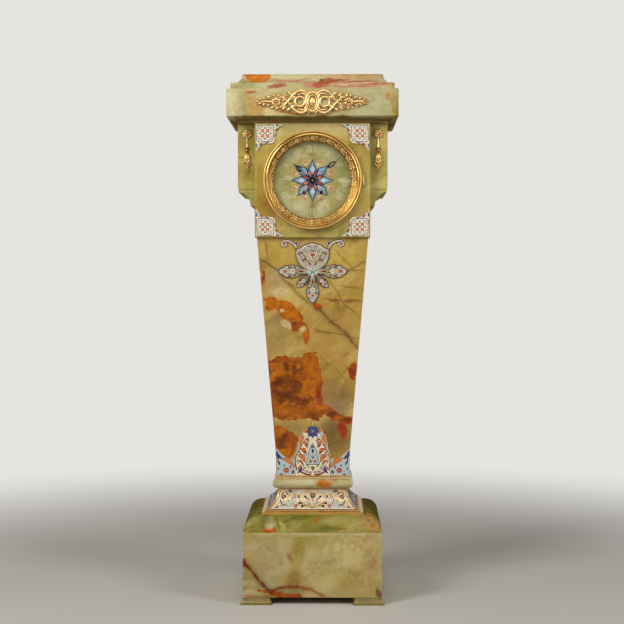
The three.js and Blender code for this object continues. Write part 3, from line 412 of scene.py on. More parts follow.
class StoneCloud(Effect):
    """Clouds, drifts, hair veins and flecks of polished onyx."""

    title = "Onyx figure"
    takes = (("Place", VECTOR, (0, 0, 0)), ("Scale", FLOAT, 14.0), ("Tilt", FLOAT, 0.5))
    gives = (("Cloud", FLOAT), ("Drift", FLOAT), ("Blush", FLOAT), ("Vein", FLOAT), ("Mottle", FLOAT))

    def wire(self, graph: GroupGraph) -> None:
        """Joins the group's inputs to its outputs.

        Args:
            graph: The group's graph.
        """
        turned = graph.node("ShaderNodeVectorRotate", rotation_type="Y_AXIS")
        graph.feed(turned.inputs["Vector"], graph.given["Place"])
        graph.feed(turned.inputs["Angle"], graph.given["Tilt"])
        drawn = graph.vector("MULTIPLY", turned.outputs[0], (0.62, 1.0, 1.25))
        moved = graph.warped(graph.warped(drawn, 7.0, 0.05, 2.0), 26.0, 0.014, 3.0)
        graph.give("Cloud", graph.noise(moved, graph.given["Scale"], 5.0, 0.6))
        aside = graph.vector("ADD", moved, (3.7, 1.9, 5.3))
        drift = graph.noise(aside, graph.maths("MULTIPLY", graph.given["Scale"], 0.9), 4.0, 0.58)
        graph.give("Drift", drift)
        apart = graph.vector("ADD", moved, (8.1, 4.4, 2.6))
        blush = graph.noise(apart, graph.maths("MULTIPLY", graph.given["Scale"], 1.4), 5.0, 0.62)
        graph.give("Blush", blush)
        ridge = graph.noise(apart, graph.maths("MULTIPLY", graph.given["Scale"], 0.6), 2.0, 0.45)
        crest = graph.maths("ABSOLUTE", graph.maths("SUBTRACT", ridge, 0.5))
        broken = graph.step(graph.noise(aside, 34.0, 2.0, 0.5), 0.44, 0.62)
        graph.give("Vein", graph.maths("MULTIPLY", graph.step(crest, 0.022, 0.002), broken))
        graph.give("Mottle", graph.noise(graph.warped(graph.given["Place"], 40.0, 0.006), 75.0, 5.0, 0.62))


class StonePatch(Effect):
    """A patch or streak of another colour inside the stone, soft or with a crisp edge."""

    title = "Stone patch"
    takes = (
        ("Place", VECTOR, (0, 0, 0)),
        ("Centre", VECTOR, (0, 0, 0)),
        ("Reach", VECTOR, (0.01, 0.01, 0.01)),
        ("Tilt", FLOAT, 0.0),
        ("Soft", FLOAT, 0.2),
        ("Wobble", FLOAT, 0.0),
        ("Girth", FLOAT, 0.01),
    )
    gives = (("Mask", FLOAT), ("Depth", FLOAT))

    def wire(self, graph: GroupGraph) -> None:
        """Joins the group's inputs to its outputs.

        Args:
            graph: The group's graph.
        """
        aside = graph.vector("SUBTRACT", graph.given["Place"], graph.given["Centre"])
        turned = graph.node("ShaderNodeVectorRotate", rotation_type="Y_AXIS")
        graph.feed(turned.inputs["Vector"], aside)
        graph.feed(turned.inputs["Angle"], graph.given["Tilt"])
        spread = graph.vector("LENGTH", graph.vector("DIVIDE", turned.outputs[0], graph.given["Reach"]))
        edge = graph.maths("ADD", spread, graph.given["Wobble"])
        outside = graph.maths("ADD", 1.0, graph.given["Soft"])
        inside = graph.maths("SUBTRACT", 1.0, graph.given["Soft"])
        graph.give("Mask", graph.step(edge, outside, inside))
        within = graph.maths("SUBTRACT", 1.0, spread)
        graph.give("Depth", graph.maths("MULTIPLY", within, graph.given["Girth"]))


class FireFigure(Effect):
    """The swirling bands, red rim and brown heart of the iron-stained parts of the stone."""

    title = "Iron stain figure"
    takes = (("Place", VECTOR, (0, 0, 0)), ("Depth", FLOAT, 0.0), ("Ragged", FLOAT, 0.006))
    gives = (("Mask", FLOAT), ("Rim", FLOAT), ("Bright", FLOAT), ("Brown", FLOAT), ("Line", FLOAT))

    def wire(self, graph: GroupGraph) -> None:
        """Joins the group's inputs to its outputs.

        Args:
            graph: The group's graph.
        """
        rough = graph.noise(graph.given["Place"], 52.0, 4.0, 0.5)
        reach = graph.maths("MULTIPLY", graph.given["Ragged"], 3.6)
        push = graph.maths("MULTIPLY", graph.maths("SUBTRACT", rough, 0.5), reach)
        depth = graph.maths("ADD", graph.given["Depth"], push)
        graph.give("Mask", graph.step(depth, -0.0006, 0.0012))
        graph.give("Rim", graph.step(depth, 0.0046, 0.001))
        moved = graph.warped(graph.warped(graph.given["Place"], 11.0, 0.03, 2.0), 45.0, 0.007, 3.0)
        swirl = graph.noise(moved, 24.0, 6.0, 0.6)
        graph.give("Bright", graph.step(swirl, 0.4, 0.6))
        inner = graph.maths("MULTIPLY", depth, 2.0)
        heart = graph.maths("ADD", graph.noise(moved, 26.0, 6.0, 0.62), inner)
        graph.give("Brown", graph.step(heart, 0.5, 0.64))
        bands = graph.noise(moved, 17.0, 3.0, 0.5)
        waves = graph.maths("SINE", graph.maths("MULTIPLY", graph.maths("ADD", bands, depth), 170.0))
        graph.give("Line", graph.step(waves, 0.1, 1.0))


class CastGrain(Effect):
    """Tone, roughness and height of hand-finished cast metal."""

    title = "Cast metal"
    takes = (("Place", VECTOR, (0, 0, 0)), ("Scale", FLOAT, 400.0))
    gives = (("Tone", FLOAT), ("Dull", FLOAT), ("Height", FLOAT))

    def wire(self, graph: GroupGraph) -> None:
        """Joins the group's inputs to its outputs.

        Args:
            graph: The group's graph.
        """
        broad = graph.noise(graph.given["Place"], 70.0, 3.0, 0.5)
        fine = graph.noise(graph.given["Place"], graph.given["Scale"], 3.0, 0.6)
        graph.give("Tone", graph.step(broad, 0.42, 0.68))
        graph.give("Dull", graph.step(fine, 0.4, 0.7))
        cells = graph.node("ShaderNodeTexVoronoi")
        graph.feed(cells.inputs["Vector"], graph.given["Place"])
        graph.feed(cells.inputs["Scale"], graph.given["Scale"])
        graph.give("Height", graph.between(0.5, fine, cells.outputs["Distance"]))


class EdgeWear(Effect):
    """Marks the raised edges that hands and cloths rub bright, and the hollows that keep dirt."""

    title = "Edge wear"
    takes = (("Place", VECTOR, (0, 0, 0)),)
    gives = (("Raised", FLOAT), ("Hollow", FLOAT))

    def wire(self, graph: GroupGraph) -> None:
        """Joins the group's inputs to its outputs.

        Args:
            graph: The group's graph.
        """
        point = graph.node("ShaderNodeNewGeometry").outputs["Pointiness"]
        patchy = graph.step(graph.noise(graph.given["Place"], 90.0, 3.0, 0.6), 0.35, 0.6)
        raised = graph.step(point, 0.52, 0.6)
        graph.give("Raised", graph.maths("MULTIPLY", raised, patchy))
        graph.give("Hollow", graph.step(point, 0.48, 0.4))


class FiredEnamel(Effect):
    """Slight clouding and pin holes of glass that was fired into cells."""

    title = "Fired enamel"
    takes = (("Place", VECTOR, (0, 0, 0)), ("Scale", FLOAT, 260.0))
    gives = (("Cloud", FLOAT), ("Height", FLOAT))

    def wire(self, graph: GroupGraph) -> None:
        """Joins the group's inputs to its outputs.

        Args:
            graph: The group's graph.
        """
        graph.give("Cloud", graph.noise(graph.given["Place"], graph.given["Scale"], 3.0, 0.6))
        holes = graph.node("ShaderNodeTexVoronoi")
        graph.feed(holes.inputs["Vector"], graph.given["Place"])
        holes.inputs["Scale"].default_value = 900.0
        graph.give("Height", graph.step(holes.outputs["Distance"], 0.02, 0.12))


class Scrollwork(Effect):
    """Hair-fine scrolls and seeds of the engraved and enamelled ground."""

    title = "Scrollwork"
    takes = (("Place", VECTOR, (0, 0, 0)), ("Scale", FLOAT, 210.0))
    gives = (("Line", FLOAT), ("Seed", FLOAT), ("Choice", FLOAT))

    def wire(self, graph: GroupGraph) -> None:
        """Joins the group's inputs to its outputs.

        Args:
            graph: The group's graph.
        """
        moved = graph.warped(graph.given["Place"], 260.0, 0.0022, 1.0)
        ridge = graph.noise(moved, graph.given["Scale"], 0.0, 0.5)
        crest = graph.maths("ABSOLUTE", graph.maths("SUBTRACT", ridge, 0.5))
        graph.give("Line", graph.step(crest, 0.03, 0.012))
        cells = graph.node("ShaderNodeTexVoronoi")
        graph.feed(cells.inputs["Vector"], graph.given["Place"])
        graph.feed(cells.inputs["Scale"], graph.maths("MULTIPLY", graph.given["Scale"], 2.1))
        graph.give("Seed", graph.step(cells.outputs["Distance"], 0.36, 0.26))
        split = graph.node("ShaderNodeSeparateColor")
        graph.feed(split.inputs[0], cells.outputs["Color"])
        graph.give("Choice", split.outputs[0])


class WoodGrain(Effect):
    """Long grain and pores of a hardwood board."""

    title = "Wood grain"
    takes = (("Place", VECTOR, (0, 0, 0)),)
    gives = (("Grain", FLOAT), ("Pore", FLOAT))

    def wire(self, graph: GroupGraph) -> None:
        """Joins the group's inputs to its outputs.

        Args:
            graph: The group's graph.
        """
        drawn = graph.vector("MULTIPLY", graph.warped(graph.given["Place"], 12.0, 0.006), (6.0, 60.0, 60.0))
        graph.give("Grain", graph.noise(drawn, 2.2, 4.0, 0.6))
        pores = graph.vector("MULTIPLY", graph.given["Place"], (30.0, 900.0, 900.0))
        graph.give("Pore", graph.step(graph.noise(pores, 1.5, 2.0, 0.5), 0.6, 0.7))


class Surface(Graph):
    """The graph of a material, with its shader, its output and the object's own coordinates."""

    def __init__(self, tree: bpy.types.NodeTree) -> None:
        """Clears the tree and adds the shader.

        Args:
            tree: The material's tree.
        """
        super().__init__(tree)
        tree.nodes.clear()
        self.shader = self.node("ShaderNodeBsdfPrincipled")
        self.output = self.node("ShaderNodeOutputMaterial")
        self.feed(self.output.inputs["Surface"], self.shader.outputs[0])
        self.place = self.node("ShaderNodeTexCoord").outputs["Object"]

    def give(self, name: str, value: object) -> None:
        """Feeds one of the shader's sockets."""
        self.feed(self.shader.inputs[name], value)

    def raise_relief(self, height: Socket, depth: float) -> None:
        """Turns a height into the shader's normal.

        Args:
            height: The height's socket.
            depth: The depth of the relief in metres.
        """
        bump = self.node("ShaderNodeBump")
        self.feed(bump.inputs["Strength"], 1.0)
        self.feed(bump.inputs["Distance"], depth)
        self.feed(bump.inputs["Height"], height)
        self.give("Normal", bump.outputs[0])


@dataclass(frozen=True)
class Finish:
    """What a surface is made of: a name, and a shader that is built once."""

    name: str

    def material(self) -> bpy.types.Material:
        """Makes the material, or finds it if it is there already.

        Returns:
            The material.
        """
        found = bpy.data.materials.get(self.name)
        if found:
            return found
        made = bpy.data.materials.new(self.name)
        made.use_nodes = True
        self.dress(Surface(made.node_tree))
        return made

    def dress(self, graph: Surface) -> None:
        """Gives the shader its colour, roughness and height.

        Args:
            graph: The material's graph.
        """
        raise NotImplementedError


@dataclass(frozen=True)
class Patch:
    """A patch or streak in the stone: its middle and reach in millimetres, and its colours."""

    middle: Spot
    reach: Spot
    colour: str = ""
    dark: str = ""
    soft: float = 0.25
    share: float = 1.0
    tilt: float = 0.0


@dataclass(frozen=True)
class Onyx(Finish):
    """Polished onyx with clouds and with patches, veins and iron stains placed one by one."""

    ground: str = "#b2a05a"
    pale: str = "#cfc48e"
    deep: str = "#8b7a34"
    blush: str = "#b99a66"
    scale: float = 14.0
    tilt: float = 0.5
    warp: float = 0.008
    patches: tuple[Patch, ...] = ()
    stains: tuple[Patch, ...] = ()
    late: tuple[Patch, ...] = ()
    vein: str = "#6f5426"
    rough: float = 0.22
    gloss: float = 0.2
    relief: float = 0.00002

    def dress(self, graph: Surface) -> None:
        """Gives the shader its colour, roughness and height.

        Args:
            graph: The material's graph.
        """
        figure = graph.use(StoneCloud.tree(), Place=graph.place, Scale=self.scale, Tilt=self.tilt).outputs
        colour = graph.tint(graph.step(figure["Cloud"], 0.42, 0.62), self.ground, self.pale)
        layers = (("Drift", 0.5, 0.66, 0.8, self.deep), ("Blush", 0.53, 0.68, 0.6, self.blush),
                  ("Mottle", 0.46, 0.7, 0.22, self.pale), ("Mottle", 0.44, 0.3, 0.3, self.deep))
        for name, low, high, share, layer in layers:
            mask = graph.maths("MULTIPLY", graph.step(figure[name], low, high), share)
            colour = graph.tint(mask, colour, layer)
        colour = graph.tint(graph.maths("MULTIPLY", figure["Vein"], 0.5), colour, self.vein)
        moved = graph.warped(graph.warped(graph.place, 26.0, self.warp, 3.0), 130.0, self.warp * 0.35, 3.0)
        colour = self.add_patches(graph, moved, figure["Mottle"], colour, self.patches)
        colour = self.add_stains(graph, moved, colour)
        colour = self.add_patches(graph, moved, figure["Mottle"], colour, self.late)
        graph.give("Base Color", colour)
        rough = graph.between(figure["Mottle"], self.rough - 0.05, self.rough + 0.1)
        graph.give("Roughness", rough)
        graph.give("Specular IOR Level", self.gloss)
        graph.raise_relief(figure["Mottle"], self.relief)

    def placed(self, graph: Surface, moved: Socket, patch: Patch, wobble: object) -> bpy.types.Node:
        """Places one patch's group node.

        Args:
            graph: The material's graph.
            moved: The warped coordinates' socket.
            patch: The patch.
            wobble: How far its edge is pushed about, or 0.

        Returns:
            The group node.
        """
        return graph.use(
            StonePatch.tree(),
            Place=moved,
            Centre=tuple(value * MILLIMETRE for value in patch.middle),
            Reach=tuple(value * MILLIMETRE for value in patch.reach),
            Tilt=math.radians(patch.tilt),
            Soft=patch.soft,
            Wobble=wobble,
            Girth=min(patch.reach) * MILLIMETRE,
        )

    def add_patches(self, graph: Surface, moved: Socket, mottle: Socket, colour: Socket,
                    patches: tuple[Patch, ...]) -> Socket:
        """Lays the soft patches and veins over the stone's own colour.

        Args:
            graph: The material's graph.
            moved: The warped coordinates' socket.
            mottle: A fine noise's socket.
            colour: The colour so far.
            patches: The patches.

        Returns:
            The colour with the patches.
        """
        wobble = graph.maths("MULTIPLY", graph.maths("SUBTRACT", mottle, 0.5), 0.9)
        dark = graph.step(mottle, 0.44, 0.6)
        for patch in patches:
            mask = self.placed(graph, moved, patch, wobble).outputs["Mask"]
            own = graph.tint(dark, patch.colour, patch.dark) if patch.dark != patch.colour else patch.colour
            colour = graph.tint(graph.maths("MULTIPLY", mask, patch.share), colour, own)
        return colour

    def add_stains(self, graph: Surface, moved: Socket, colour: Socket) -> Socket:
        """Lays the iron stains, with their crisp rims and swirling hearts, over the colour.

        Args:
            graph: The material's graph.
            moved: The warped coordinates' socket.
            colour: The colour so far.

        Returns:
            The colour with the stains.
        """
        if not self.stains:
            return colour
        depth: object = -1.0
        for patch in self.stains:
            depth = graph.maths("MAXIMUM", depth, self.placed(graph, moved, patch, 0.0).outputs["Depth"])
        fire = graph.use(FireFigure.tree(), Place=graph.place, Depth=depth).outputs
        own = graph.tint(fire["Bright"], "#9e4a0c", "#c8720f")
        layers = (("Brown", 0.85, "#5c250d"), ("Line", 0.22, "#6d2c08"), ("Rim", 0.7, "#b03a14"))
        for name, share, layer in layers:
            own = graph.tint(graph.maths("MULTIPLY", fire[name], share), own, layer)
        return graph.tint(graph.maths("MULTIPLY", fire["Mask"], 0.96), colour, own)


@dataclass(frozen=True)
class Gilding(Finish):
    """Fire-gilt bronze, burnished on the high places and matt in the hollows."""

    gold: str = "#e2bd7c"
    shade: str = "#b98c48"
    rough: float = 0.3
    matt: float = 0.46
    grain: float = 500.0
    depth: float = 0.00005
    metal: float = 0.86

    def dress(self, graph: Surface) -> None:
        """Gives the shader its colour, roughness and height.

        Args:
            graph: The material's graph.
        """
        grain = graph.use(CastGrain.tree(), Place=graph.place, Scale=self.grain).outputs
        wear = graph.use(EdgeWear.tree(), Place=graph.place).outputs
        colour = graph.tint(graph.maths("MULTIPLY", grain["Tone"], 0.35), self.gold, self.shade)
        colour = graph.tint(wear["Hollow"], colour, self.shade)
        graph.give("Base Color", colour)
        graph.give("Metallic", graph.between(wear["Hollow"], self.metal, self.metal - 0.2))
        rough = graph.between(grain["Dull"], self.rough, self.matt)
        graph.give("Roughness", graph.between(wear["Raised"], rough, self.rough))
        graph.raise_relief(grain["Height"], self.depth)


@dataclass(frozen=True)
class Steelwork(Finish):
    """Brass, steel, blued steel, bell metal or iron of the movement."""

    colour: str = "#8a8d92"
    shade: str = "#5c5f66"
    rough: float = 0.3
    matt: float = 0.45
    grain: float = 700.0

    def dress(self, graph: Surface) -> None:
        """Gives the shader its colour, roughness and height.

        Args:
            graph: The material's graph.
        """
        grain = graph.use(CastGrain.tree(), Place=graph.place, Scale=self.grain).outputs
        graph.give("Base Color", graph.tint(grain["Tone"], self.colour, self.shade))
        graph.give("Roughness", graph.between(grain["Dull"], self.rough, self.matt))
        graph.give("Metallic", 1.0)
        graph.raise_relief(grain["Height"], 0.00002)


@dataclass(frozen=True)
class Enamel(Finish):
    """Champlevé enamel of one colour."""

    colour: str = "#e3d9c2"
    shade: str = "#c9bda2"
    rough: float = 0.2

    def dress(self, graph: Surface) -> None:
        """Gives the shader its colour, roughness and height.

        Args:
            graph: The material's graph.
        """
        fired = graph.use(FiredEnamel.tree(), Place=graph.place).outputs
        cloud = graph.step(fired["Cloud"], 0.4, 0.65)
        graph.give("Base Color", graph.tint(cloud, self.colour, self.shade))
        graph.give("Roughness", graph.between(cloud, self.rough, self.rough + 0.12))
        graph.give("Coat Weight", 0.4)
        graph.give("Coat Roughness", 0.06)
        graph.raise_relief(fired["Height"], 0.00003)


@dataclass(frozen=True)
class EnamelGround(Finish):
    """An enamel ground sown with hair-fine scrolls and seeds of other colours."""

    colour: str = "#e6d8b8"
    line: str = "#b48c4c"
    warm: str = "#a8443a"
    cool: str = "#5d7fa6"
    green: str = "#6f7d4a"
    scale: float = 210.0
    line_share: float = 0.7
    seed_share: float = 0.8
    gloss: float = 0.5
    coat: float = 0.3

    def dress(self, graph: Surface) -> None:
        """Gives the shader its colour, roughness and height.

        Args:
            graph: The material's graph.
        """
        scroll = graph.use(Scrollwork.tree(), Place=graph.place, Scale=self.scale).outputs
        fired = graph.use(FiredEnamel.tree(), Place=graph.place).outputs
        line = graph.maths("MULTIPLY", scroll["Line"], self.line_share)
        colour = graph.tint(line, self.colour, self.line)
        seed_colour = graph.tint(graph.step(scroll["Choice"], 0.32, 0.34), self.warm, self.cool)
        seed_colour = graph.tint(graph.step(scroll["Choice"], 0.62, 0.64), seed_colour, self.green)
        chosen = graph.step(scroll["Choice"], 0.84, 0.82)
        seed = graph.maths("MULTIPLY", graph.maths("MULTIPLY", scroll["Seed"], chosen), self.seed_share)
        graph.give("Base Color", graph.tint(seed, colour, seed_colour))
        graph.give("Roughness", graph.between(scroll["Line"], 0.22, 0.38))
        graph.give("Specular IOR Level", self.gloss)
        graph.give("Coat Weight", self.coat)
        graph.give("Coat Roughness", 0.08)
        height = graph.maths("ADD", scroll["Line"], graph.maths("MULTIPLY", fired["Height"], 0.3))
        graph.raise_relief(height, 0.00006)


@dataclass(frozen=True)
class Timber(Finish):
    """Walnut boards inside the case."""

    colour: str = "#6b4526"
    shade: str = "#3c2513"

    def dress(self, graph: Surface) -> None:
        """Gives the shader its colour, roughness and height.

        Args:
            graph: The material's graph.
        """
        wood = graph.use(WoodGrain.tree(), Place=graph.place).outputs
        colour = graph.tint(graph.step(wood["Grain"], 0.35, 0.7), self.colour, self.shade)
        graph.give("Base Color", graph.tint(wood["Pore"], colour, self.shade))
        graph.give("Roughness", graph.between(wood["Grain"], 0.45, 0.65))
        graph.raise_relief(wood["Grain"], 0.0002)


@dataclass(frozen=True)
class Glazing(Finish):
    """The clear glass of the dial."""

    def dress(self, graph: Surface) -> None:
        """Gives the shader its colour, roughness and height.

        Args:
            graph: The material's graph.
        """
        smear = graph.noise(graph.place, 30.0, 3.0, 0.6)
        graph.give("Base Color", graph.tint(smear, "#ffffff", "#f6faf9"))
        graph.give("Roughness", graph.between(smear, 0.0, 0.03))
        graph.give("IOR", 1.12)
        graph.give("Transmission Weight", 1.0)


@dataclass(frozen=True)
class PaleFloor(Finish):
    """The studio's plain pale floor, which fades into the pale surroundings far off."""

    colour: str = "#d8d6d2"
    far: str = "#e6e4e0"

    def dress(self, graph: Surface) -> None:
        """Gives the shader its colour, roughness and height.

        Args:
            graph: The material's graph.
        """
        cloud = graph.noise(graph.place, 1.4, 3.0, 0.5)
        away = graph.step(graph.vector("LENGTH", graph.place), 0.7, 2.4)
        seen = graph.maths("MULTIPLY", graph.node("ShaderNodeLightPath").outputs["Is Camera Ray"], away)
        colour = graph.tint(cloud, self.colour, "#d4d2ce")
        graph.give("Base Color", colour)
        graph.give("Roughness", 0.8)
        graph.give("Specular IOR Level", 0.1)
        glow = graph.node("ShaderNodeEmission")
        graph.feed(glow.inputs["Color"], self.far)
        blend = graph.node("ShaderNodeMixShader")
        for socket, value in zip(blend.inputs, (seen, graph.shader.outputs[0], glow.outputs[0])):
            graph.feed(socket, value)
        graph.feed(graph.output.inputs["Surface"], blend.outputs[0])


def shaft_half(z: float) -> float:
    """Gives half the shaft's width at a height above the floor, in millimetres."""
    return SHAFT_FOOT_HALF + SHAFT_TAPER * (z - SHAFT_FOOT_Z) / SHAFT_HEIGHT


def front_seat(y: float, z: float = 0.0, x: float = 0.0) -> Seat:
    """Lays drawings on an upright plane that faces the front.

    Args:
        y: The plane.
        z: The height of the drawing's own zero.
        x: The place across of the drawing's own zero.

    Returns:
        A function from a drawing's place and rise to a spot in millimetres.
    """
    return lambda across, up, rise: (x + across, y - rise, z + up)


def shaft_seat(z: float) -> Seat:
    """Lays drawings on the sloping front of the shaft.

    Args:
        z: The height where the drawing's own zero lies.

    Returns:
        A function from a drawing's place and rise to a spot in millimetres.
    """
    slope = math.atan2(SHAFT_TAPER, SHAFT_HEIGHT)
    out, up = math.cos(slope), math.sin(slope)
    foot = -shaft_half(z) - SEAM

    def seat(across: float, along: float, rise: float) -> Spot:
        """Gives the spot of one point of the drawing."""
        return across, foot - rise * out - along * up, z + along * out - rise * up

    return seat


def turned_seat(seat: Seat, side: Side) -> Seat:
    """Lays the same drawing on another face of a square course.

    Args:
        seat: The front's seat.
        side: The face.

    Returns:
        The seat of that face.
    """
    cosine = (1, 0, -1, 0)[side.value]
    sine = (0, 1, 0, -1)[side.value]

    def turned(across: float, up: float, rise: float) -> Spot:
        """Gives the spot of one point of the drawing."""
        x, y, z = seat(across, up, rise)
        return x * cosine - y * sine, x * sine + y * cosine, z

    return turned


@dataclass(frozen=True)
class Ray:
    """A way out from the middle of a drawing, at an angle in radians."""

    angle: float

    def at(self, out: float, across: float = 0.0) -> Point:
        """Gives the point at a distance along the way and a distance to its left."""
        cosine, sine = math.cos(self.angle), math.sin(self.angle)
        return cosine * out - sine * across, sine * out + cosine * across


def oval(across: float, up: float, wide: float, high: float, sides: int = 20) -> Outline:
    """Draws an oval.

    Args:
        across: Its middle across.
        up: Its middle's height.
        wide: Half its width.
        high: Half its height.
        sides: Its number of sides.

    Returns:
        The outline.
    """
    angles = [2 * math.pi * number / sides for number in range(sides)]
    return [(across + wide * math.cos(angle), up + high * math.sin(angle)) for angle in angles]


def leaf(start: Point, end: Point, width: float, belly: float = 0.5, bend: float = 0.0) -> Outline:
    """Draws a leaf with two pointed ends.

    Args:
        start: Its stem end.
        end: Its tip.
        width: Its greatest width.
        belly: Where it is widest, as a share of its length.
        bend: How far its middle bows to the left, as a share of its length.

    Returns:
        The outline.
    """
    along = Vector((end[0] - start[0], end[1] - start[1]))
    across = Vector((-along.y, along.x)).normalized()
    power = math.log(0.5) / math.log(belly)
    sides: list[Outline] = [[], []]
    for number in range(1, 10):
        share = number / 10
        half = width / 2 * math.sin(math.pi * share ** power)
        spine = Vector(start) + along * share + across * (bend * along.length * math.sin(math.pi * share))
        sides[0].append(tuple(spine + across * half))
        sides[1].append(tuple(spine - across * half))
    return [start, *sides[1], end, *reversed(sides[0])]


def curve_through(points: Sequence[Point], steps: int = 6) -> list[Point]:
    """Draws a smooth open curve through points.

    Args:
        points: The points.
        steps: How many steps lie between two of them.

    Returns:
        The curve's points.
    """
    padded = [points[0], *points, points[-1]]
    curve: list[Point] = []
    for before, start, end, after in zip(padded, padded[1:], padded[2:], padded[3:]):
        for number in range(steps):
            t = number / steps
            weights = (
                (-t + 2 * t * t - t ** 3) / 2,
                (2 - 5 * t * t + 3 * t ** 3) / 2,
                (t + 4 * t * t - 3 * t ** 3) / 2,
                (t ** 3 - t * t) / 2,
            )
            spots = (before, start, end, after)
            curve.append(tuple(sum(w * s[axis] for w, s in zip(weights, spots)) for axis in (0, 1)))
    curve.append(points[-1])
    return curve


def ribbon(points: Sequence[Point], start: float, end: float) -> Outline:
    """Draws a band along a smooth curve, with its width changing from end to end.

    Args:
        points: The points that it passes.
        start: Its width at the start.
        end: Its width at the end.

    Returns:
        The outline.
    """
    spine = curve_through(points)
    left: Outline = []
    right: Outline = []
    for number, (x, z) in enumerate(spine):
        share = number / (len(spine) - 1)
        before = spine[max(number - 1, 0)]
        after = spine[min(number + 1, len(spine) - 1)]
        along = Vector((after[0] - before[0], after[1] - before[1])).normalized()
        width = start + (end - start) * share
        left.append((x - along.y * width / 2, z + along.x * width / 2))
        right.append((x + along.y * width / 2, z - along.x * width / 2))
    return [*left, *reversed(right)]


def spiral(middle: Point, radius: float, start: float, turn: float, end_radius: float = 0.0) -> list[Point]:
    """Draws a spiral's spine.

    Args:
        middle: Its middle.
        radius: Its radius at the start.
        start: The angle where it starts, in degrees.
        turn: How far it turns, in degrees.
        end_radius: Its radius at the end.

    Returns:
        The spine's points.
    """
    count = max(5, int(abs(turn) / 40))
    points: list[Point] = []
    for number in range(count + 1):
        share = number / count
        angle = math.radians(start + turn * share)
        reach = radius + (end_radius - radius) * share
        points.append((middle[0] + reach * math.cos(angle), middle[1] + reach * math.sin(angle)))
    return points


def petals(middle: Point, count: int, inner: float, outer: float, width: float,
           first: float = 90.0) -> list[Outline]:
    """Draws a ring of petals.

    Args:
        middle: The flower's middle.
        count: The number of petals.
        inner: The radius where they start.
        outer: The radius of their tips.
        width: Their width.
        first: The angle of the first one, in degrees.

    Returns:
        One outline for each petal.
    """
    drawn: list[Outline] = []
    for number in range(count):
        ray = Ray(math.radians(first + 360 * number / count))
        start, tip = [tuple(m + p for m, p in zip(middle, ray.at(out))) for out in (inner, outer)]
        drawn.append(leaf(start, tip, width, 0.6))
    return drawn


def mirrored(outline: Iterable[Point]) -> Outline:
    """Mirrors a drawing about its upright middle line."""
    return [(-x, z) for x, z in outline][::-1]


def grown(outline: Outline, amount: float) -> Outline:
    """Moves an outline outward by an even amount, or inward if the amount is negative.

    Args:
        outline: The outline.
        amount: How far it moves.

    Returns:
        The moved outline.
    """
    count = len(outline)
    pairs = list(zip(outline, outline[1:] + outline[:1]))
    area = sum(a[0] * b[1] - b[0] * a[1] for a, b in pairs)
    sign = 1 if area > 0 else -1
    folded, narrowest, furthest = 0.3, 0.4, 2.0
    moved: Outline = []
    for number in range(count):
        before, here, after = outline[number - 1], outline[number], outline[(number + 1) % count]
        first = Vector((here[1] - before[1], before[0] - here[0]))
        second = Vector((after[1] - here[1], here[0] - after[0]))
        if first.length < TINY or second.length < TINY:
            moved.append(here)
            continue
        first.normalize()
        second.normalize()
        middle = first + second
        if middle.length < folded:
            middle = first
        reach = min(1 / max(middle.normalized().dot(first), narrowest), furthest)
        push = middle.normalized() * (amount * sign * reach)
        moved.append((here[0] + push.x, here[1] + push.y))
    return moved


def settle_normals(mesh: bpy.types.Mesh) -> None:
    """Turns the faces of every closed skin outward.

    Args:
        mesh: The mesh.
    """
    work = bmesh.new()
    work.from_mesh(mesh)
    bmesh.ops.recalc_face_normals(work, faces=work.faces)
    work.to_mesh(mesh)
    work.free()


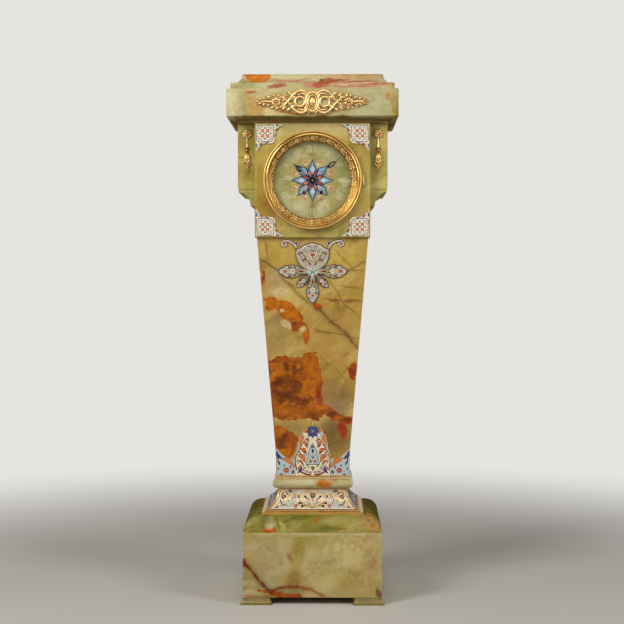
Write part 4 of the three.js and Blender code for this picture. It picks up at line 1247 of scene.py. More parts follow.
class Relief:
    """Collects the faces of one piece in millimetres, each face with its own finish."""

    def __init__(self, name: str, zipped: bool = False) -> None:
        """Starts an empty piece.

        Args:
            name: The piece's name.
            zipped: Whether plates are filled with strips, so that they follow a curved seat.
        """
        self.name = name
        self.zipped = zipped
        self.spots: list[Spot] = []
        self.faces: list[tuple[int, ...]] = []
        self.choices: list[int] = []
        self.finishes: list[Finish] = []

    def slot_of(self, finish: Finish) -> int:
        """Gives the number of a finish in this piece, and adds it if it is new.

        Args:
            finish: The finish.

        Returns:
            Its number.
        """
        if finish not in self.finishes:
            self.finishes.append(finish)
        return self.finishes.index(finish)

    def shell(self, rings: Sequence[Sequence[Spot]], finish: Finish, caps: bool = True) -> None:
        """Joins rings of equally many spots into a skin.

        Args:
            rings: The rings, from one end to the other.
            finish: The finish.
            caps: Whether the first and the last ring are filled.
        """
        base = len(self.spots)
        count = len(rings[0])
        choice = self.slot_of(finish)
        for ring in rings:
            self.spots.extend(ring)
        for level in range(len(rings) - 1):
            for number in range(count):
                low = base + level * count
                after = (number + 1) % count
                self.faces.append((low + number, low + after, low + count + after, low + count + number))
                self.choices.append(choice)
        if caps:
            top = base + (len(rings) - 1) * count
            self.fill([base + number for number in reversed(range(count))], choice)
            self.fill([top + number for number in range(count)], choice)

    def fill(self, ring: Sequence[int], choice: int) -> None:
        """Closes a ring with one face, or with strips that follow a curved seat.

        Args:
            ring: The numbers of its spots.
            choice: The number of its finish.
        """
        if not self.zipped:
            self.faces.append(tuple(ring))
            self.choices.append(choice)
            return
        count = len(ring)
        for number in range((count - 1) // 2):
            strip = (ring[number], ring[number + 1], ring[count - 2 - number], ring[count - 1 - number])
            self.faces.append(tuple(dict.fromkeys(strip)))
            self.choices.append(choice)

    def course(self, profile: Sequence[Point], half: Point, corner: float, finish: Finish, steps: int = 2,
               middle: Point = (0.0, 0.0)) -> None:
        """Adds a course of a square pillar, with its corners rounded.

        Args:
            profile: Inset and height, from the bottom up.
            half: Half the width and half the depth where the inset is zero.
            corner: The radius of the corners.
            finish: The finish.
            steps: The steps in each corner.
            middle: The course's middle.
        """
        rings = []
        for inset, z in profile:
            outline = rounded(half[0] - inset, half[1] - inset, corner, steps)
            rings.append([(middle[0] + x, middle[1] + y, z) for x, y in outline])
        self.shell(rings, finish)

    def sheet(self, seat: Seat, across: Point, up: Point, rise: float, finish: Finish) -> None:
        """Adds a thin sheet that follows a curved seat.

        Args:
            seat: Where it lies.
            across: Its left and right edge.
            up: Its lower and upper edge.
            rise: The rise of its face.
            finish: The finish.
        """
        rings = []
        for number in range(STRIPS + 1):
            z = up[0] + (up[1] - up[0]) * number / STRIPS
            left, right = across
            corners = ((left, -SHEET_ROOT), (right, -SHEET_ROOT), (right, rise), (left, rise))
            rings.append([seat(x, z, high) for x, high in corners])
        self.shell(rings, finish)

    def plate(self, outline: Outline, seat: Seat, low: float, high: float, finish: Finish,
              bevel: float = 0.0) -> None:
        """Adds a flat plate, with its upper edge taken off if asked.

        Args:
            outline: The plate's outline.
            seat: Where it lies.
            low: The rise of its underside.
            high: The rise of its face.
            finish: The finish.
            bevel: The width of the taken-off edge.
        """
        pairs = zip(outline, outline[1:] + outline[:1])
        if sum(a[0] * b[1] - b[0] * a[1] for a, b in pairs) < 0:
            outline = outline[::-1]
        rings = [[seat(x, z, low) for x, z in outline]]
        if bevel > 0:
            rings.append([seat(x, z, high - bevel) for x, z in outline])
            outline = grown(outline, -bevel)
        rings.append([seat(x, z, high) for x, z in outline])
        self.shell(rings, finish)

    def cell(self, outline: Outline, seat: Seat, rise: float, finish: Finish, line: Finish,
             edge: float = 0.7) -> None:
        """Adds an enamel cell with a darker or gilt line round it.

        Args:
            outline: The cell's outline.
            seat: Where it lies.
            rise: The rise of the ground that it lies on.
            finish: The cell's finish.
            line: The line's finish.
            edge: The width of the line.
        """
        self.plate(grown(outline, edge), seat, rise - CELL_ROOT, rise + CELL_LINE, line)
        self.plate(outline, seat, rise - CELL_ROOT, rise + CELL_FACE, finish)

    def wire(self, spine: Sequence[Spot], radii: Sequence[float], finish: Finish, sides: int = 8,
             closed: bool = False) -> None:
        """Adds a round bar along a line.

        Args:
            spine: The bar's middle line.
            radii: Its radius at each spot of the line.
            finish: The finish.
            sides: Its number of sides.
            closed: Whether the line closes on itself.
        """
        count = len(spine)
        rings: list[list[Spot]] = []
        side = Vector((0.0, 1.0, 0.0))
        for number in range(count):
            before = Vector(spine[number - 1 if closed or number else 0])
            after = Vector(spine[(number + 1) % count if closed else min(number + 1, count - 1)])
            along = (after - before).normalized()
            flat = side - along * side.dot(along)
            if flat.length < 0.05:
                flat = Vector((1.0, 0.0, 0.0)) - along * along.x
            flat.normalize()
            other = along.cross(flat)
            middle = Vector(spine[number])
            ring = []
            for corner in range(sides):
                angle = 2 * math.pi * corner / sides
                way = flat * math.cos(angle) + other * math.sin(angle)
                ring.append(tuple(middle + way * radii[number]))
            rings.append(ring)
        if closed:
            rings.append(rings[0])
        self.shell(rings, finish, caps=not closed)

    def drawn_wire(self, spine: Sequence[Point], seat: Seat, rise: float, radii: Sequence[float] | float,
                   finish: Finish, closed: bool = False, sides: int = 8) -> None:
        """Adds a round bar that follows a drawing on a seat.

        Args:
            spine: The drawing's line.
            seat: Where it lies.
            rise: The rise of the bar's middle.
            radii: Its radius, or its radius at each point.
            finish: The finish.
            closed: Whether the line closes on itself.
            sides: Its number of sides.
        """
        if isinstance(radii, (int, float)):
            radii = [float(radii)] * len(spine)
        self.wire([seat(x, z, rise) for x, z in spine], radii, finish, sides, closed)

    def dome(self, outline: Outline, seat: Seat, low: float, high: float, finish: Finish,
             rings: int = 4) -> None:
        """Adds a cushion-shaped boss over an outline.

        Args:
            outline: The boss's outline.
            seat: Where it lies.
            low: The rise of its foot.
            high: The rise of its crown.
            finish: The finish.
            rings: How many rings it has.
        """
        middle_x = sum(x for x, _ in outline) / len(outline)
        middle_z = sum(z for _, z in outline) / len(outline)
        stack = []
        for number in range(rings + 1):
            angle = math.pi / 2 * number / rings
            share = max(math.cos(angle), 0.04)
            rise = low + (high - low) * math.sin(angle)
            stack.append([
                seat(middle_x + (x - middle_x) * share, middle_z + (z - middle_z) * share, rise)
                for x, z in outline
            ])
        self.shell(stack, finish)

    def turning(self, profile: Sequence[Point], middle: Spot, finish: Finish, sides: int,
                upright: bool = False, caps: bool = False) -> None:
        """Adds a turned skin round an axis that points to the front, or upward.

        Args:
            profile: Radius and place along the axis, from one end to the other.
            middle: Where the axis passes.
            finish: The finish.
            sides: Its number of sides.
            upright: Whether the axis is upright.
            caps: Whether both ends are filled.
        """
        x, y, z = middle
        rings = []
        for radius, along in profile:
            around = oval(0, 0, radius, radius, sides)
            if upright:
                rings.append([(x + across, y + up, z + along) for across, up in around])
            else:
                rings.append([(x + across, y + along, z + up) for across, up in around])
        self.shell(rings, finish, caps=caps)

    def piece(self, body: Body, replaces: Sequence[str] = ()) -> None:
        """Makes the object and lets it ride on a body.

        Args:
            body: The body that carries it.
            replaces: The nodes that it stands for.
        """
        mesh = bpy.data.meshes.new(self.name)
        scaled = [tuple(value * MILLIMETRE for value in spot) for spot in self.spots]
        mesh.from_pydata(scaled, [], self.faces)
        mesh.polygons.foreach_set("material_index", self.choices)
        mesh.polygons.foreach_set("use_smooth", [True] * len(self.faces))
        mesh.validate()
        settle_normals(mesh)
        mesh.set_sharp_from_angle(angle=math.radians(SHARP_ANGLE))
        for finish in self.finishes:
            mesh.materials.append(finish.material())
        made = bpy.data.objects.new(self.name, mesh)
        bpy.context.collection.objects.link(made)
        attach(made, body.value)
        if replaces:
            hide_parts(*replaces)
        log.info("%s: %d faces on %s", self.name, len(self.faces), body.value)


def rounded(half_x: float, half_y: float, radius: float, steps: int = 3) -> list[Point]:
    """Draws a rectangle with rounded corners.

    Args:
        half_x: Half its width.
        half_y: Half its depth.
        radius: The corners' radius.
        steps: The steps in each corner.

    Returns:
        The outline.
    """
    outline: list[Point] = []
    corners = ((1, -1, -90), (1, 1, 0), (-1, 1, 90), (-1, -1, 180))
    for sign_x, sign_y, start in corners:
        middle = (sign_x * (half_x - radius), sign_y * (half_y - radius))
        for number in range(steps + 1):
            angle = math.radians(start + 90 * number / steps)
            outline.append((middle[0] + radius * math.cos(angle), middle[1] + radius * math.sin(angle)))
    return outline


def dress_node(frame: dict, name: str, finish: Finish, edge: float = 0.0) -> None:
    """Gives a node of the frame its finish, and takes off its sharp edges.

    Args:
        frame: The loaded frame.
        name: The node.
        finish: The finish.
        edge: The width of the taken-off edges in millimetres.
    """
    node = frame["nodes"][name]
    node.data.materials.clear()
    node.data.materials.append(finish.material())
    if edge > 0:
        weld = node.modifiers.new("weld", "WELD")
        weld.merge_threshold = WELD_GAP
        bevel = node.modifiers.new("edge", "BEVEL")
        bevel.width = edge * MILLIMETRE
        bevel.segments = 2
        bevel.limit_method = "ANGLE"
        bevel.angle_limit = math.radians(BEVEL_ANGLE)
    log.info("%s dressed with %s", name, finish.name)


def streak(start: Point, end: Point, width: float, y: float, colour: str = "", dark: str = "",
           soft: float = 0.3, share: float = 0.9) -> Patch:
    """Places a vein or streak that runs from one point of a face to another.

    Args:
        start: Where it starts, across and up.
        end: Where it ends, across and up.
        width: Its width.
        y: The face's plane.
        colour: Its colour, which an iron stain doesn't need.
        dark: Its darker colour, if it has one.
        soft: How soft its edge is.
        share: How much of it shows.

    Returns:
        The streak as a patch.
    """
    across, up = end[0] - start[0], end[1] - start[1]
    middle = ((start[0] + end[0]) / 2, y, (start[1] + end[1]) / 2)
    reach = (math.hypot(across, up) / 2, STREAK_DEPTH, width / 2)
    tilt = math.degrees(math.atan2(up, across))
    return Patch(middle, reach, colour, dark or colour, soft, share, tilt)


def patch_rows(y: float, deep: float, *rows: Sequence[object] | Patch) -> tuple[Patch, ...]:
    """Places the patches of a face, most of them in one plane.

    Args:
        y: The plane.
        deep: How far they reach into the stone.
        rows: Each patch's place across and up, half width, half height, two colours, softness, share and
            tilt, or a finished patch.

    Returns:
        The patches, in the order of the rows.
    """
    placed: list[Patch] = []
    for row in rows:
        if not isinstance(row, Patch):
            across, up, wide, high, *looks = row
            row = Patch((across, y, up), (wide, deep, high), *looks)
        placed.append(row)
    return tuple(placed)


def vein(points: Sequence[Point], width: float, y: float, colour: str, share: float = 0.85) -> list[Patch]:
    """Places a bent vein as a row of streaks that overlap, each with a dark core.

    Args:
        points: The points that it passes, across and up.
        width: The width of its core.
        y: The face's plane.
        colour: Its colour.
        share: How much of it shows.

    Returns:
        The streaks, with the wide and faint ones first.
    """
    pairs = list(zip(points, points[1:]))
    halo = [streak(a, b, width * 2.2, y, colour, share=share * 0.4, soft=0.9) for a, b in pairs]
    return halo + [streak(a, b, width, y, colour, share=share * 0.8, soft=0.6) for a, b in pairs]


SHAFT_PATCHES = (
    Patch((-84, -124, 822), (46, 34, 26), "#cdb05a", "#bda048", 0.8, 0.7),
    Patch((-82, -105, 634), (27, 30, 42), "#a99563", "#98814c", 0.6, 0.6),
    Patch((54, -100, 488), (40, 30, 38), "#8e6c44", "#7c5530", 0.7, 0.65),
    Patch((60, -100, 455), (26, 30, 16), "#8a6a58", "#a08468", 0.7, 0.5),
    Patch((-50, -98, 404), (36, 30, 18), "#a48c54", "#8c7440", 0.6, 0.7),
    Patch((60, -115, 800), (60, 30, 40), "#c4a952", "#b0913e", 0.8, 0.5),
    Patch((55, -108, 640), (52, 30, 46), "#bd9655", "#a98042", 0.8, 0.5),
    Patch((-86, -118, 760), (22, 30, 24), "#b8a884", "#a8925f", 0.6, 0.6),
    Patch((-76, -113, 731), (24, 30, 9), "#d8c394", "#c9ae78", 0.5, 0.8),
    Patch((30, -92, 400), (18, 30, 36), "#9a8046", "#82683a", 0.6, 0.6, -40),
    Patch((54, -92, 384), (40, 34, 42), "#745430", "#5e4222", 0.8, 0.7),
    Patch((70, -124, 812), (44, 34, 26), "#ccb058", "#bb9c44", 0.8, 0.5),
    Patch((104, -112, 700), (20, 34, 40), "#c4a352", "#b09042", 0.8, 0.5),
    *vein(((2, 700), (28, 676), (72, 636), (112, 596)), 6.5, -108, "#563a1c", 0.75),
    *vein(((24, 714), (70, 711), (116, 708)), 3.6, -115, "#7e361c", 0.8),
    *vein(((-126, 808), (-106, 797), (-80, 783)), 4.4, -122, "#5f3418", 0.75),
    *vein(((-110, 856), (-104, 804)), 3.0, -124, "#6a3c1c", 0.6),
    *vein(((60, 768), (90, 786), (130, 806)), 3.6, -122, "#66481f", 0.7),
    *vein(((87, 782), (124, 780)), 2.6, -121, "#7a451c", 0.7),
    *vein(((50, 830), (92, 786)), 2.6, -122, "#6e501f", 0.55),
    *vein(((31, 775), (50, 742), (74, 706), (112, 668)), 3.0, -120, "#6f5222", 0.6),
    *vein(((60, 746), (124, 737)), 2.8, -118, "#7a5c28", 0.55),
    *vein(((2, 642), (57, 630), (108, 622)), 3.6, -108, "#6a4e24", 0.6),
    *vein(((14, 583), (50, 548), (84, 520)), 3.0, -104, "#7c6030", 0.45),
    *vein(((-72, 766), (-38, 731), (-4, 700)), 6.6, -115, "#644420", 0.6),
)
SHAFT_STAINS = (
    streak((-118, 706), (-74, 700), 34, -112),
    streak((-92, 706), (-38, 676), 38, -111),
    streak((-66, 680), (-24, 664), 40, -110),
    streak((-50, 672), (-40, 636), 22, -109),
    streak((-34, 672), (-12, 618), 20, -108),
    streak((-20, 628), (-15, 603), 9, -107),
    streak((-112, 784), (-121, 734), 7, -118),
    Patch((-58, -98, 498), (66, 40, 70)),
    Patch((-24, -98, 512), (42, 40, 66)),
    streak((-114, 556), (16, 570), 34, -103),
    streak((-112, 446), (30, 438), 34, -95),
    streak((-100, 572), (-92, 430), 40, -98),
    streak((4, 586), (10, 470), 30, -100),
    streak((-24, 578), (12, 586), 16, -102),
    streak((0, 462), (66, 434), 24, -95),
    streak((40, 436), (108, 418), 22, -94),
    Patch((70, -92, 401), (11, 30, 19)),
    streak((-98, 408), (-36, 370), 34, -91),
    Patch((-68, -90, 364), (28, 30, 34)),
    Patch((97, -104, 548), (10, 30, 20)),
    streak((8, 700), (22, 690), 8, -110),
)
WING_PATCHES = patch_rows(
    -120, 40,
    (-156, 954, 26, 17, "#a8a46c", "#96925a", 0.5, 0.6),
    (156, 954, 26, 17, "#aaa46a", "#989258", 0.5, 0.6),
    (-140, 1090, 14, 50, "#8a8840", "#7a7834", 0.8, 0.6),
    (141, 1060, 9, 60, "#8d8a58", "#7b6848", 0.7, 0.7),
    (160, 1030, 14, 26, "#8f9a52", "#7e8a44", 0.8, 0.5),
)
SHAFT_LATE = (
    Patch((-92, -112, 703), (22, 30, 14), "#d47f0c", "#bd680a", 0.6, 0.7),
    Patch((-46, -110, 684), (20, 30, 11), "#d07a0e", "#b4600c", 0.6, 0.6, 30),
    Patch((-73, -112, 688), (6, 30, 5), "#d9c08a", "#cbb074", 0.25, 0.95),
    Patch((-63, -110, 655), (15, 30, 9), "#d2bc8a", "#bfa772", 0.3, 0.9, -30),
    Patch((-24, -108, 643), (8, 30, 9), "#d6be86", "#c8ae74", 0.25, 0.95, -40),
    Patch((-66, -98, 521), (30, 30, 15), "#55230f", "#6b2e12", 0.5, 0.75, 8),
    Patch((-70, -98, 480), (26, 30, 12), "#5a2610", "#6e3212", 0.5, 0.7, 30),
    Patch((-4, -100, 560), (18, 30, 24), "#cc7d12", "#b8650f", 0.6, 0.7),
    Patch((-46, -97, 449), (46, 30, 11), "#c06c10", "#a5560e", 0.6, 0.6),
    Patch((15, -98, 480), (9, 30, 22), "#a22f14", "#8c2812", 0.35, 0.85, 12),
    Patch((71, -92, 401), (9, 30, 17), "#a83a1c", "#8c2c14", 0.4, 0.8),
    Patch((97, -104, 548), (8, 30, 16), "#9c3a1e", "#862c16", 0.4, 0.7),
)
PLINTH_PATCHES = patch_rows(
    -160, 30,
    (112, 100, 52, 64, "#d0bc84", "#bfa96c", 0.8, 0.7),
    (-60, 120, 60, 40, "#b8a578", "#a99366", 0.8, 0.5),
    (-30, 134, 16, 34, "#a38f30", "#917d24", 0.7, 0.85, -12),
    (4, 152, 30, 12, "#aa983f", "#9a8832", 0.8, 0.6, -10),
    (-39, 92, 11, 30, "#ae9546", "#9a8034", 0.7, 0.7, 8),
    (-43, 56, 17, 24, "#a07c2c", "#8a641c", 0.7, 0.8, -12),
    (-110, 44, 24, 20, "#a3a377", "#92935f", 0.8, 0.6),
    (66, 128, 44, 30, "#d6c48c", "#c4b074", 0.8, 0.75, 20),
    (28, 92, 30, 18, "#a18a58", "#8f784a", 0.8, 0.6, 25),
    (88, 60, 30, 22, "#a48e34", "#927c28", 0.8, 0.65, 30),
    (-100, 90, 34, 34, "#b0a080", "#a08c68", 0.8, 0.5),
    (6, 96, 30, 40, "#c2b078", "#b29e66", 0.8, 0.5),
    (138, 99, 16, 34, "#b08c5e", "#a07c4c", 0.8, 0.6),
    (-53, 112, 5, 10, "#9c5e3c", "#8a4e30", 0.7, 0.7, 30),
    (0, 168, 175, 5, "#d4c691", "#c8b881", 0.8, 0.7),
    (154, 27, 7, 13, "#71341a", "#5c2812", 0.5, 0.85, 12),
    *vein(((-166, 22), (-120, 19), (-96, 20)), 5.0, -160, "#9c5222", 0.8),
    Patch((-60, -162, 31), (36, 30, 11), "#8a8a5c", "#76784a", 0.5, 0.7, -4),
    (30, 84, 46, 30, "#bfae6c", "#a99650", 0.9, 0.4),
    (110, 130, 40, 26, "#c4b274", "#b09c58", 0.9, 0.4),
    (120, 60, 36, 30, "#b0975a", "#9c8344", 0.9, 0.4),
    (-120, 140, 36, 20, "#bdb184", "#a89a68", 0.9, 0.5),
    (-130, 50, 20, 30, "#a8a070", "#948a56", 0.9, 0.5),
    *vein(((140, 110), (150, 98)), 3.0, -160, "#8a6236", 0.5),
)
PLINTH_STAINS = (
    streak((-163, 106), (-157, 90), 13, -160),
    streak((-110, 30), (-28, 17), 13, -160),
    streak((-96, 34), (-84, 26), 14, -160),
)
PLINTH_LATE = (
    *vein(((-162, 102), (-143, 80), (-124, 53), (-108, 37), (-90, 24)), 7.0, -160, "#6a2810", 1.15),
    *vein(((-98, 30), (-80, 38), (-64, 42), (-44, 43), (-26, 40)), 5.5, -160, "#7a3014", 1.1),
    *vein(((-30, 41), (-4, 35), (12, 27), (30, 19)), 5.0, -160, "#8c421c", 0.9),
)
HOOD_PATCHES_AND_SHADE = (
    # Painted shade: the hood's left and right sides darkened.
    Patch((-164, 62, 188), (48, 190, 40), "#6a602c", "#524a20", 0.4, 0.85),
    Patch((164, 62, 188), (48, 190, 40), "#6a5a2c", "#544620", 0.4, 0.85),
    Patch((-100, -155, 173), (15, 50, 6), "#cf6414", "#ae4c0c", 0.3, 0.95),
    Patch((-104, -125, 206), (12, 25, 5), "#cc6816", "#ac4e10", 0.4, 0.9),
    Patch((-98, -140, 188), (12, 50, 13), "#d0c798", "#bcb27c", 0.4, 0.85, 20),
    Patch((-74, -140, 182), (11, 50, 15), "#bcb45c", "#a8a04a", 0.4, 0.8, 12),
    Patch((152, -150, 202), (42, 60, 30), "#bd9258", "#a0763e", 0.25, 0.85, 16),
    Patch((60, -140, 186), (44, 50, 10), "#a9a056", "#968a40", 0.6, 0.7, 14),
    Patch((0, -140, 176), (40, 50, 12), "#6e6a20", "#5e5a18", 0.8, 0.5),
    streak((2, 190), (19, 202), 8, -140, "#b06c22", share=0.85),
    streak((56, 172), (82, 184), 8, -150, "#b07a34", share=0.8),
    streak((70, 180), (120, 192), 5, -146, "#b9a666", soft=0.6, share=0.8),
    streak((-46, 192), (-36, 180), 7, -146, "#aaa866", soft=0.9, share=0.5),
    streak((-34, 180), (-26, 190), 6, -146, "#aaa866", soft=0.9, share=0.5),
    streak((-84, 198), (-76, 172), 6, -146, "#4f5218", soft=0.7, share=0.6),
    streak((-70, 194), (-30, 200), 6, -140, "#5a5c1c", soft=0.7, share=0.6),
    Patch((40, -148, 178), (26, 50, 8), "#5a581a", "#4e4c14", 0.8, 0.6),
    Patch((-110, -130, 196), (20, 40, 8), "#5e5c20", "#50501a", 0.8, 0.6),
    Patch((-20, -135, 200), (24, 30, 6), "#6f7a2e", "#5f6a24", 0.8, 0.6),
)
CAP_PATCHES_AND_SHADE = patch_rows(
    -165, 60,
    (-160, 1164, 12, 26, "#9a9a70", "#86885e", 0.7, 0.65, 12),
    (-188, 1166, 18, 32, "#e8dfb8", "#d8cea0", 0.8, 0.75),
    (-94, 1150, 20, 11, "#e2d69c", "#d2c58a", 0.5, 0.8, 20),
    (130, 1164, 70, 34, "#a9b083", "#989f70", 0.8, 0.55),
    (190, 1160, 9, 34, "#a89a44", "#96862f", 0.7, 0.6),
    Patch((-150, -165, 1172), (10, 40, 32), "#bda866", "#a8904e", 0.7, 0.6, 12),
    (-170, 1157, 12, 22, "#c8b98c", "#b5a578", 0.5, 0.7, 14),
    Patch((-141, -165, 1195), (12, 30, 4), "#b8562a", "#9e4418", 0.6, 0.85),
    Patch((-134, -165, 1160), (15, 40, 26), "#cfa468", "#bd8c4c", 0.6, 0.65, 20),
    streak((-84, 1150), (-24, 1143), 9, -165, "#b0642c", "#92481a", soft=0.5),
    streak((-110, 1180), (-60, 1168), 5, -165, "#b87a3c", "#a0642c", soft=0.6, share=0.7),
    Patch((176, -165, 1182), (8, 40, 8), "#cf8434", "#b86c1e", 0.6, 0.85),
    (191, 1160, 9, 28, "#b08c34", "#967424", 0.5, 0.75, 10),
    (133, 1168, 46, 32, "#c2bd98", "#b2ab80", 0.8, 0.7),
    Patch((-60, -165, 1160), (20, 40, 10), "#c6bd8c", "#b2a772", 0.5, 0.7, -20),
    (20, 1146, 60, 8, "#a49a6a", "#928654", 0.7, 0.6),
    # Painted shade: a dark band along the under-moulding on all four sides of the cap.
    Patch((0, -150, 1130), (230, 70, 9), "#6e5520", "#5e4618", 0.3, 0.85),
    Patch((0, 150, 1130), (230, 70, 9), "#6e5520", "#5e4618", 0.3, 0.85),
    Patch((-196, 0, 1130), (60, 170, 9), "#6e5520", "#5e4618", 0.3, 0.85),
    Patch((196, 0, 1130), (60, 170, 9), "#6e5520", "#5e4618", 0.3, 0.85),
)
STEP_PATCHES = (
    Patch((92, -150, 1214), (106, 60, 10), "#d2ae8c", "#bf9474", 0.4, 0.8),
    Patch((100, -145, 1230), (80, 50, 6), "#c4a67c", "#ac9462", 0.6, 0.6),
    streak((-48, 1221), (-6, 1230), 5, -145, "#b98a78", "#9a7464", soft=0.4, share=0.8),
    Patch((-130, -140, 1237), (32, 60, 21), "#cf7a14", "#b8620f", 0.1, 0.97),
    Patch((-82, -155, 1209), (23, 40, 6), "#b8604a", "#9c4a38", 0.25, 0.85, 6),
    streak((-98, 1226), (-20, 1222), 7, -145, "#c98a66", "#b4704c", soft=0.6, share=0.8),
    Patch((-4, -150, 1214), (20, 60, 10), "#c99078", "#b4705a", 0.3, 0.85),
    Patch((26, -150, 1216), (26, 60, 12), "#b5563c", "#a04a34", 0.2, 0.85, 20),
    streak((4, 1212), (80, 1228), 9, -148, "#b8603e", "#a04a2c", soft=0.5, share=0.9),
    streak((30, 1226), (124, 1221), 6, -145, "#b4583a", "#9c482c", soft=0.5, share=0.85),
    streak((56, 1216), (190, 1213), 7, -150, "#c07458", "#a85640", soft=0.5, share=0.85),
    streak((96, 1232), (160, 1218), 6, -148, "#b98a60", "#a87048", soft=0.5, share=0.8),
    streak((20, 1206), (150, 1209), 4, -156, "#c07c50", "#ac6840", soft=0.5, share=0.7),
    streak((44, 1211), (176, 1219), 3, -152, "#dcc4a0", "#cdb088", soft=0.4, share=0.75),
    streak((62, 1222), (150, 1229), 3, -146, "#d8c29a", "#c8ae84", soft=0.4, share=0.75),
    Patch((20, -150, 1226), (7, 40, 3), "#54422c", "#54422c", 0.4, 0.8),
    Patch((90, -110, 1238), (70, 30, 12), "#c98f5c", "#b4763f", 0.7, 0.7),
    Patch((70, 60, 1236), (70, 26, 20), "#b06a2c", "#96541c", 0.4, 0.7, 20),
)
HEAD_PATCHES_AND_LIGHT = patch_rows(
    -140, 30,
    # Painted light: a paler band across the top of the head, brightening it under the cap's shadow.
    (0, 1108, 110, 17, "#cfc08a", "#c0b078", 0.7, 0.75),
    (66, 872, 56, 14, "#94904e", "#827e42", 0.8, 0.6),
    (-60, 866, 44, 9, "#a09c60", "#8e8a50", 0.8, 0.5),
    (112, 1000, 18, 60, "#c0b070", "#ae9c5c", 0.8, 0.5),
    (-109, 938, 9, 6, "#b06034", "#984a22", 0.6, 0.8),
    (-122, 960, 10, 70, "#a88a24", "#98781a", 0.7, 0.7),
    (-96, 920, 20, 12, "#a8823c", "#94702c", 0.7, 0.6),
    (100, 900, 30, 30, "#a49050", "#908040", 0.8, 0.6),
    (118, 1060, 14, 24, "#b09a4c", "#9c8638", 0.8, 0.6),
    (-40, 1112, 40, 10, "#bfae70", "#ac9a5c", 0.8, 0.6),
    streak((76, 884), (60, 862), 7, -140, "#7c7c3c", share=0.6),
    streak((-40, 874), (40, 866), 8, -140, "#a48c4c", share=0.6),
)
DIAL_PATCHES = patch_rows(
    -133, 30,
    (-55, 1052, 22, 22, "#b9b68c", "#a9a678", 0.8, 0.7, 40),
    (0, 1058, 7, 22, "#8a7c44", "#766a36", 0.8, 0.6),
    (42, 1054, 22, 16, "#bdb98e", "#aca87a", 0.8, 0.7, -40),
    (70, 1020, 18, 24, "#8e9446", "#7f8638", 0.8, 0.6, 20),
    (74, 991, 16, 4, "#d2caa2", "#c4bb90", 0.6, 0.7),
    (-56, 998, 9, 6, "#d2cba6", "#c4bc94", 0.7, 0.7),
    (-64, 936, 26, 18, "#c3bf94", "#b2ae80", 0.8, 0.75, -45),
    (-22, 922, 14, 22, "#c9c196", "#b8b082", 0.8, 0.7, 14),
    (0, 922, 6, 20, "#8e7a48", "#7c6a3a", 0.7, 0.6),
    (20, 922, 12, 22, "#ccc49a", "#bab286", 0.8, 0.7, -14),
    (60, 940, 20, 16, "#a49a58", "#94894a", 0.8, 0.6, 45),
)
SIDE_STAINS = (
    Patch((104, 20, 560), (30, 42, 50)),
    Patch((98, -20, 430), (30, 34, 22)),
    Patch((-108, 10, 650), (30, 36, 60)),
    Patch((-98, 30, 420), (30, 30, 40)),
    Patch((10, 104, 600), (60, 30, 30), tilt=35),
    Patch((-20, 96, 400), (44, 30, 20), tilt=-20),
)
SIDE_PATCHES = (
    streak((-80, 780), (60, 700), 6, 118, "#6a4c20"),
    streak((40, 760), (100, 560), 6, 112, "#6a4c20", share=0.7),
    Patch((118, -30, 740), (30, 60, 40), "#bd9f5a", "#a98a46", 0.8, 0.5),
    Patch((-114, -20, 780), (30, 60, 40), "#bd9f5a", "#a98a46", 0.8, 0.5),
    Patch((116, 0, 680), (30, 90, 3), "#5f4420", "#5f4420", 0.6, 0.6),
)

SHAFT_ONYX = Onyx("onyx shaft front", "#b49245", "#ccb266", "#866726", "#b6864a", 11.0, 0.7, 0.009,
                  SHAFT_PATCHES, SHAFT_STAINS, late=SHAFT_LATE)
SHAFT_SIDE_ONYX = Onyx("onyx shaft sides", "#a6873c", "#bea25a", "#7e6024", "#a87840", 11.0, 0.7, 0.012,
                       SIDE_PATCHES, SIDE_STAINS)
PLINTH_ONYX = Onyx("onyx plinth", "#b09f60", "#c9bb82", "#96813a", "#b29468", 11.0, 0.3, 0.006,
                   PLINTH_PATCHES, PLINTH_STAINS, PLINTH_LATE)
HOOD_ONYX = Onyx("onyx hood", "#8b823a", "#aca05c", "#646020", "#9a7e3a", 14.0, 0.4, 0.008, HOOD_PATCHES_AND_SHADE,
                 gloss=0.0)
TORUS_ONYX = Onyx("onyx slab", "#b8b07c", "#ccc49a", "#a0965a", "#b89c6c", 10.0, 0.4, 0.005, (
    Patch((26, -95, 274), (19, 24, 10), "#cc7414", "#b05c0e", 0.35, 0.95),
    Patch((52, -95, 284), (7, 24, 5), "#b88a4c", "#a87a3c", 0.6, 0.8),
    Patch((-90, 40, 272), (30, 26, 12), "#b2762c", "#985f1c", 0.5, 0.7),
))
HEAD_ONYX = Onyx("onyx head", "#b09a44", "#c6b36a", "#8f7c2c", "#b08e4a", 12.0, 0.8, 0.006, HEAD_PATCHES_AND_LIGHT)
WING_ONYX = Onyx("onyx wings", "#b5a757", "#cdc07c", "#958538", "#b2944e", 14.0, 0.2, patches=WING_PATCHES,
                 gloss=0.0)
# A darker onyx for the joint under each wing: a real joint, with painted shade under the wing's overhanging
# edge.
JOINT_SHADE_STONE = Onyx("shaded joint of the wings", "#73682e", "#867a3a", "#5c5224", "#6d5c2c", 14.0, 0.2)
CAP_ONYX = Onyx("onyx cap", "#bfb47c", "#d2ca9e", "#9f9052", "#bd965a", 13.0, 0.2, 0.007, CAP_PATCHES_AND_SHADE,
                gloss=0.0)
STEP_ONYX = Onyx("onyx cap step", "#bcb87e", "#ccc898", "#a09660", "#bc9468", 14.0, 0.1, 0.006,
                 STEP_PATCHES)
DIAL_ONYX = Onyx("onyx dial", "#a19656", "#c0b67e", "#86803e", "#b0a07c", 26.0, 0.4, patches=DIAL_PATCHES)
GILT = Gilding("gilt bronze", "#dcb771", "#ac8140")
